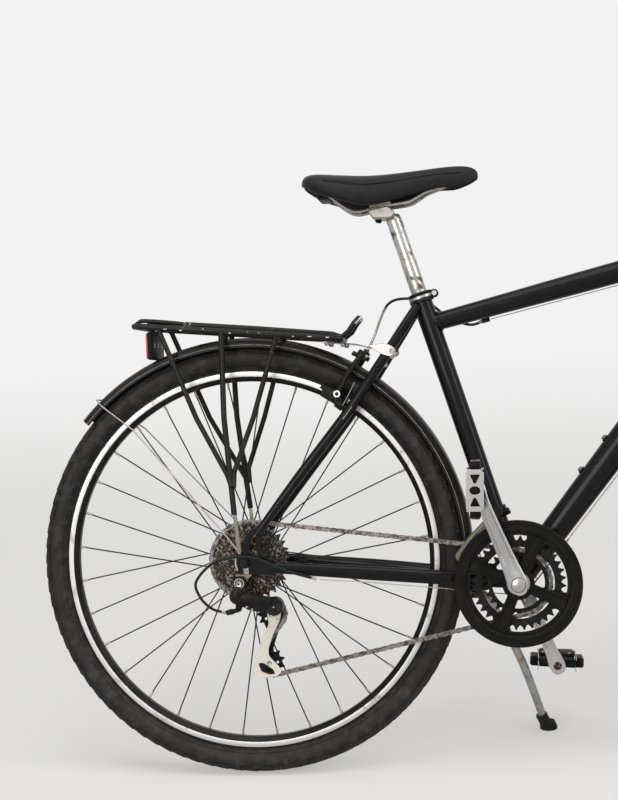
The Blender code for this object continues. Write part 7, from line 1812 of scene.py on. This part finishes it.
def make_cables():
    finishes = ["housing", "silver"]
    top = rear_boss(1) + BOSS_OUT * 0.0305 + ARM_UP * 0.095
    bm = bmesh.new()
    with painted(bm, 1):
        rod(bm, cable_line(0.85), cable_line(0.185), 0.0008, 8)
    housing(bm, [cable_line(0.16), cable_line(0.12), (0.345, 0.0225, 0.39), (0.31, 0.029, 0.419),
        (0.283, 0.03, 0.425), (0.259, 0.035, 0.425), (0.244, 0.042, 0.4185), (0.235, 0.048, 0.407)])
    with painted(bm, 1):
        noodle = curve_through([(0.235, 0.048, 0.407), (0.227, 0.052, 0.39), (0.217, 0.055, 0.366),
            (top.x, 0.0515, top.z + 0.004), (top.x, 0.044, top.z)], 7)
        tube(bm, noodle, 0.0023, 16)
        rod(bm, (top.x, 0.044, top.z), (top.x, -0.0395, top.z), 0.0008, 8)
    bellows = [(top.x, 0.03 - 0.0022 * step, top.z) for step in range(22)]
    tube(bm, bellows, [0.0024 if step % 2 else 0.0019 for step in range(22)], 14)
    publish("rear_brake_line", bm, finishes, "root", ["rear_brake_cable"])

    bm = bmesh.new()
    guide_top = BB.z - 0.0208
    with painted(bm, 2):
        block(bm, (BB.x - 0.0138, -0.0178, guide_top - 0.0058), (BB.x + 0.0138, 0.0178, guide_top), 0.0012)
    with painted(bm, 1):
        for y in (-0.0065, 0.0065):
            around = [BB + Vector((0.0246 * math.cos(math.radians(t)), y, 0.0246 * math.sin(math.radians(t))))
                for t in (-90, -82, -74, -66, -58, -50, -42)]
            tube(bm, around + [down_tube_point(0.12, 0.0264, y), down_tube_point(0.5, 0.029, y),
                down_tube_point(0.784, 0.0288, y)], 0.0008, 8)
        tube(bm, [Vector((BB.x, -0.014, guide_top - 0.0035)), (0.405, -0.027, -0.0655),
            (0.372, -0.033, -0.0635), (0.33, -0.0385, -0.055), (0.2, -0.056, -0.0385), (0.122, -0.07, -0.03)],
            0.0008, 8)
    housing(bm, [(0.116, -0.071, -0.029), (0.07, -0.084, -0.013), (0.01, -0.0915, 0.012),
        (-0.045, -0.091, 0.006), (-0.079, -0.0885, -0.025), (-0.0745, -0.087, -0.051),
        (-0.056, -0.0845, -0.071), (-0.033, -0.0798, -0.0792)])
    publish("gear_lines", bm, finishes + ["matte plastic"], "root", ["shift_cables"])

    starts = {side: bar_point(side * 0.1157) + Vector((0.0225, 0, 0.0002)) for side in (-1, 1)}
    bm = bmesh.new()
    housing(bm, [starts[-1], (0.132, -0.085, 0.211), (0.152, -0.03, 0.204), (0.152, 0.03, 0.166),
        (0.112, 0.06, 0.114), (0.042, 0.056, 0.074), (-0.012, 0.044, 0.061),
        in_steering(cable_line(0.935) + AXIS_Y * 0.007), in_steering(cable_line(0.903)),
        in_steering(cable_line(0.872))])
    publish("rear_brake_loop_line", bm, finishes, "steering", ["rear_brake_loop"], STEER,
        bend=("root", STEER @ Vector((0, 0, 0.155)), STEER @ Vector((0, 0, 0.07))))

    over = Vector((0.038, 0.0, -0.08))
    bm = bmesh.new()
    housing(bm, [starts[1], starts[1] + Vector((0.022, -0.03, 0.006)), (0.14, 0.02, BAR_HEIGHT - 0.01),
        (0.112, -0.035, 0.08), (0.07, -0.056, 0.02), (0.044, -0.063, -0.03),
        over + Vector((0.0, -0.062, 0.018)), over + Vector((0.0, -0.056, 0.008))])
    with painted(bm, 1):
        rod(bm, over + Vector((0.0, -0.056, 0.0075)), over + Vector((0.0, -0.048, 0.005)), 0.0022, 14)
        rod(bm, over + Vector((0.0, -0.048, 0.005)), over + Vector((0.0, 0.0435, 0.005)), 0.0008, 8)
    publish("front_brake_line", bm, finishes, "steering", ["front_brake_cable"], STEER,
        bend=("lowers", STEER @ Vector((0, 0, 0.1)), STEER @ Vector((0, 0, -0.06))))

    for name, side in (("right", -1), ("left", 1)):
        pod = bar_point(side * 0.106)
        begin = Vector((pod.x + 0.02, side * 0.1045, pod.z - 0.02))
        bm = bmesh.new()
        housing(bm, [begin, begin + Vector((0.012, side * -0.028, -0.01)),
            (0.078, side * 0.046, BAR_HEIGHT - 0.06), (0.046, side * 0.052, 0.07), (0.0, side * 0.04, 0.036),
            in_steering(down_tube_point(0.875, 0.033, side * 0.012)), in_steering(down_tube_point(0.816,
            0.0288, side * 0.0065))])
        publish(name + "_gear_loop_line", bm, finishes, "steering", [name + "_shift_loop"],
            STEER, bend=("root", STEER @ Vector((0, 0, 0.14)), STEER @ Vector((0, 0, 0.04))))


# Stage


def seen_directly(writer):
    """1 for rays from the camera, also those through glass or off a mirror, else 0."""
    path = writer.add("ShaderNodeLightPath").outputs
    seen = writer.maths("MAXIMUM", path["Is Camera Ray"], path["Is Glossy Ray"])
    return writer.maths("MAXIMUM", seen, path["Is Transmission Ray"])


def backdrop_material(colour):
    """Matte floor that keeps the shadow near the bicycle and, further away, glows to the camera with painted
    light and shade: darker grey on the floor nearby, brighter further off and up the wall.
    """
    made = bpy.data.materials.new("Stage cloth")
    made.use_nodes = True
    tree = made.node_tree
    shader = tree.nodes["Principled BSDF"]
    writer = NodeWriter(tree)
    spot = writer.add("ShaderNodeTexCoord").outputs["Object"]
    noise = writer.add("ShaderNodeTexNoise", {"Vector": spot, "Scale": 1.2, "Detail": 2.0})
    darker = tuple(channel * 0.985 for channel in colour)
    tree.links.new(writer.mixed(noise.outputs[0], (*colour, 1.0), (*darker, 1.0)),
        shader.inputs["Base Color"])
    shader.inputs["Roughness"].default_value = 0.9
    shader.inputs["Specular IOR Level"].default_value = 0.1
    parts = writer.add("ShaderNodeSeparateXYZ", {0: spot})
    far = writer.between(parts.outputs["Y"], 0.5, 3.2, 0.55, curve="SMOOTHSTEP")
    high = writer.between(parts.outputs["Y"], 0.3, 4.5)
    reach = writer.add("ShaderNodeVectorMath", {0: spot}, operation="LENGTH")
    around = writer.between(reach.outputs["Value"], 2.6, 6.0, curve="SMOOTHSTEP")
    far = writer.maths("MAXIMUM", far, around)
    high = writer.maths("MAXIMUM", high, around)
    # Painted light and shade: the glow is a darker grey on the floor near the bicycle and brighter far off
    # and up the wall, as the lamps would leave it.
    painted_backdrop_light = writer.mixed(high, (0.7, 0.695, 0.69, 1.0), (0.885, 0.885, 0.885, 1.0))
    glow = writer.add("ShaderNodeEmission", {"Color": painted_backdrop_light, "Strength": 1.0})
    share = writer.maths("MULTIPLY", seen_directly(writer), far)
    surface = writer.add("ShaderNodeMixShader", {0: share, 1: shader.outputs[0], 2: glow.outputs[0]})
    tree.links.new(surface.outputs[0], tree.nodes["Material Output"].inputs["Surface"])
    return made


def add_light(name, spot, target, size, power):
    lamp = bpy.data.lights.new(name, "AREA")
    lamp.shape = "RECTANGLE"
    lamp.size, lamp.size_y = size
    lamp.energy = power * bpy.context.scene.bike_looks.light_strength
    made = bpy.data.objects.new(name, lamp)
    bpy.context.scene.collection.objects.link(made)
    made.location = spot
    made.rotation_euler = (Vector(target) - Vector(spot)).to_track_quat("-Z", "Y").to_euler()
    return made


def make_stage():
    looks = bpy.context.scene.bike_looks
    bm = bmesh.new()
    half, wall_y, bend = 24.0, 16.0, 2.4
    profile = [(-half, 0.0), (wall_y, 0.0)]
    for angle in range(6, 91, 6):
        y, z = polar(bend, math.radians(angle - 90))
        profile.append((wall_y + y, bend + z))
    profile.append((wall_y + bend, 16.0))
    edges = joined(bm, [vertex(bm, (-half, y, z)) for y, z in profile], False)
    grown = bmesh.ops.extrude_edge_only(bm, edges=edges)["geom"]
    bmesh.ops.translate(bm, verts=vertices(grown), vec=(2 * half, 0.0, 0.0))
    bmesh.ops.recalc_face_normals(bm, faces=bm.faces)
    if sum(face.normal.z for face in bm.faces) < 0:
        bmesh.ops.reverse_faces(bm, faces=bm.faces)
    mesh = bpy.data.meshes.new("backdrop")
    bm.to_mesh(mesh)
    bm.free()
    mesh.shade_smooth()
    floor = bpy.data.objects.new("backdrop", mesh)
    bpy.context.scene.collection.objects.link(floor)
    mesh.materials.append(backdrop_material(looks.floor_colour))

    world = bpy.data.worlds.new("Soft room")
    bpy.context.scene.world = world
    world.use_nodes = True
    tree = world.node_tree
    background = tree.nodes["Background"]
    output = tree.nodes["World Output"]
    writer = NodeWriter(tree)
    shown = writer.add("ShaderNodeBackground", {"Color": (0.9, 0.9, 0.9, 1.0), "Strength": 1.0})
    mixed = writer.add("ShaderNodeMixShader", {0: seen_directly(writer), 1: background.outputs[0],
        2: shown.outputs[0]})
    tree.links.new(mixed.outputs[0], output.inputs["Surface"])
    background.inputs["Color"].default_value = (1.0, 1.0, 1.0, 1.0)
    background.inputs["Strength"].default_value = looks.room_light
    lights = [add_light("Overhead", (-0.4, -1.0, 3.6), (-0.3, 0.0, 0.4), (3.6, 2.4), 74),
        add_light("Camera side", (-1.6, -3.6, 1.9), (-0.4, 0.0, 0.5), (1.8, 1.8), 56),
        add_light("Far side", (2.6, -1.2, 2.2), (-0.2, 0.0, 0.5), (1.4, 2.0), 34)]
    make_camera()
    bpy.context.scene.view_settings.view_transform = "Standard"


def make_camera():
    """The photo's camera, measured in bike coordinates."""
    tilt = math.radians(-1.0)
    turn = Vector((0.00224, 0.13113, -0.02641))
    base = Matrix.Rotation(turn.length, 3, turn.normalized()) @ Matrix(((1, 0, 0), (0, 0, -1), (0, 1, 0)))
    trim = Matrix(((math.cos(tilt), 0, math.sin(tilt)), (0, 1, 0), (-math.sin(tilt), 0, math.cos(tilt))))
    rows = base @ trim
    spot = trim.transposed() @ Vector((0.43208, -2.49558, 0.26564))
    right, down, forward = rows[0], rows[1], rows[2]
    camera = bpy.data.cameras.new("Photo camera")
    focal_pixels, photo_height, sensor = 1503.52, 800.0, 36.0
    camera.sensor_width = sensor
    camera.sensor_fit = "AUTO"
    camera.lens = focal_pixels * sensor / photo_height
    made = bpy.data.objects.new("Photo camera", camera)
    bpy.context.scene.collection.objects.link(made)
    made.matrix_world = BIKE @ place(spot, right, -down, -forward)
    bpy.context.scene.camera = made


# Add-on


class BikeLooks(bpy.types.PropertyGroup):
    """Sizes and colours that can be changed before the pieces are made"""
    paint_colour: bpy.props.FloatVectorProperty(name="Frame paint", description="Colour of the frame's paint",
        subtype="COLOR", size=3, min=0.0, max=1.0, default=(0.0045, 0.0045, 0.005))
    floor_colour: bpy.props.FloatVectorProperty(name="Backdrop",
        description="Colour of the floor and backdrop", subtype="COLOR", size=3, min=0.0, max=1.0,
        default=(0.79, 0.785, 0.775))
    dust: bpy.props.FloatProperty(name="Dust", description="How much dust lies on the bike", default=1.0,
        min=0.0, max=4.0)
    spoke_radius: bpy.props.FloatProperty(name="Spoke radius", description="Radius of a spoke",
        default=0.00115, min=0.0006, max=0.0012, subtype="DISTANCE", unit="LENGTH", precision=5)
    housing_radius: bpy.props.FloatProperty(name="Cable housing radius",
        description="Radius of the brake and gear housings", default=0.0023, min=0.0015, max=0.0025,
        subtype="DISTANCE", unit="LENGTH", precision=5)
    tread_depth: bpy.props.FloatProperty(name="Tread depth", description="Half the height of a tread block",
        default=0.0011, min=0.0004, max=0.0011, subtype="DISTANCE", unit="LENGTH", precision=5)
    light_strength: bpy.props.FloatProperty(name="Lights", description="Strength of the soft lamps",
        default=1.0, min=0.0, max=10.0)
    room_light: bpy.props.FloatProperty(name="Room light", description="Strength of the light from all round",
        default=0.5, min=0.0, max=4.0)


class BikeOperator:
    """Runs the class's pieces in turn"""
    bl_options = {"REGISTER", "UNDO"}
    steps = ()

    def execute(self, context):
        for step in self.steps:
            step()
        return {"FINISHED"}


class BIKE_OT_wheels(BikeOperator, bpy.types.Operator):
    """Makes both wheels with their tyres, rims, spokes, hubs and axle nuts"""
    bl_idname = "bike.wheels"
    bl_label = "Wheels"
    steps = (make_wheels,)


class BIKE_OT_transmission(BikeOperator, bpy.types.Operator):
    """Makes the cranks, rings, guard, pedals, chain, cassette and both derailleurs"""
    bl_idname = "bike.transmission"
    bl_label = "Transmission"
    steps = (make_transmission,)


class BIKE_OT_frame(BikeOperator, bpy.types.Operator):
    """Makes the welded frame and the seat collar"""
    bl_idname = "bike.frame"
    bl_label = "Frame"
    steps = (make_frame,)


class BIKE_OT_saddle(BikeOperator, bpy.types.Operator):
    """Makes the saddle, its rails and the seat post"""
    bl_idname = "bike.saddle"
    bl_label = "Saddle"
    steps = (make_saddle,)


class BIKE_OT_rack(BikeOperator, bpy.types.Operator):
    """Makes the rack, its clip, the fenders and the reflector"""
    bl_idname = "bike.rack"
    bl_label = "Rack and fenders"
    steps = (make_rack, make_fenders)


class BIKE_OT_stand(BikeOperator, bpy.types.Operator):
    """Makes the side stand"""
    bl_idname = "bike.stand"
    bl_label = "Stand"
    steps = (make_stand,)


class BIKE_OT_brakes(BikeOperator, bpy.types.Operator):
    """Makes the four rim brake arms"""
    bl_idname = "bike.brakes"
    bl_label = "Brakes"
    steps = (make_brakes,)


class BIKE_OT_front(BikeOperator, bpy.types.Operator):
    """Makes the fork, stem, handlebar, levers and shifters"""
    bl_idname = "bike.front"
    bl_label = "Fork and handlebar"
    steps = (make_fork, make_bar)


class BIKE_OT_cables(BikeOperator, bpy.types.Operator):
    """Makes every cable and its housing"""
    bl_idname = "bike.cables"
    bl_label = "Cables"
    steps = (make_cables,)


class BIKE_OT_stage(BikeOperator, bpy.types.Operator):
    """Makes the backdrop, the lights and the photo's camera"""
    bl_idname = "bike.stage"
    bl_label = "Stage"
    steps = (make_stage,)


PIECE_OPERATORS = (BIKE_OT_wheels, BIKE_OT_transmission, BIKE_OT_frame, BIKE_OT_saddle, BIKE_OT_rack,
    BIKE_OT_stand, BIKE_OT_brakes, BIKE_OT_front, BIKE_OT_cables, BIKE_OT_stage)


class BIKE_PT_looks(bpy.types.Panel):
    """Sizes, colours and the pieces of the bike"""
    bl_idname = "BIKE_PT_looks"
    bl_label = "Hybrid bike"
    bl_space_type = "VIEW_3D"
    bl_region_type = "UI"
    bl_category = "Bike"

    def draw(self, context):
        looks = context.scene.bike_looks
        for name in BikeLooks.__annotations__:
            self.layout.prop(looks, name)
        for operator in PIECE_OPERATORS:
            self.layout.operator(operator.bl_idname)


CLASSES = (BikeLooks, *PIECE_OPERATORS, BIKE_PT_looks)


def register():
    for cls in CLASSES:
        bpy.utils.register_class(cls)
    bpy.types.Scene.bike_looks = bpy.props.PointerProperty(type=BikeLooks)


def unregister():
    del bpy.types.Scene.bike_looks
    for cls in reversed(CLASSES):
        bpy.utils.unregister_class(cls)


def main():
    register()
    bpy.ops.bike.wheels()
    bpy.ops.bike.transmission()
    bpy.ops.bike.frame()
    bpy.ops.bike.saddle()
    bpy.ops.bike.rack()
    bpy.ops.bike.stand()
    bpy.ops.bike.brakes()
    bpy.ops.bike.front()
    bpy.ops.bike.cables()
    bpy.ops.bike.stage()


if __name__ == "__main__":
    main()
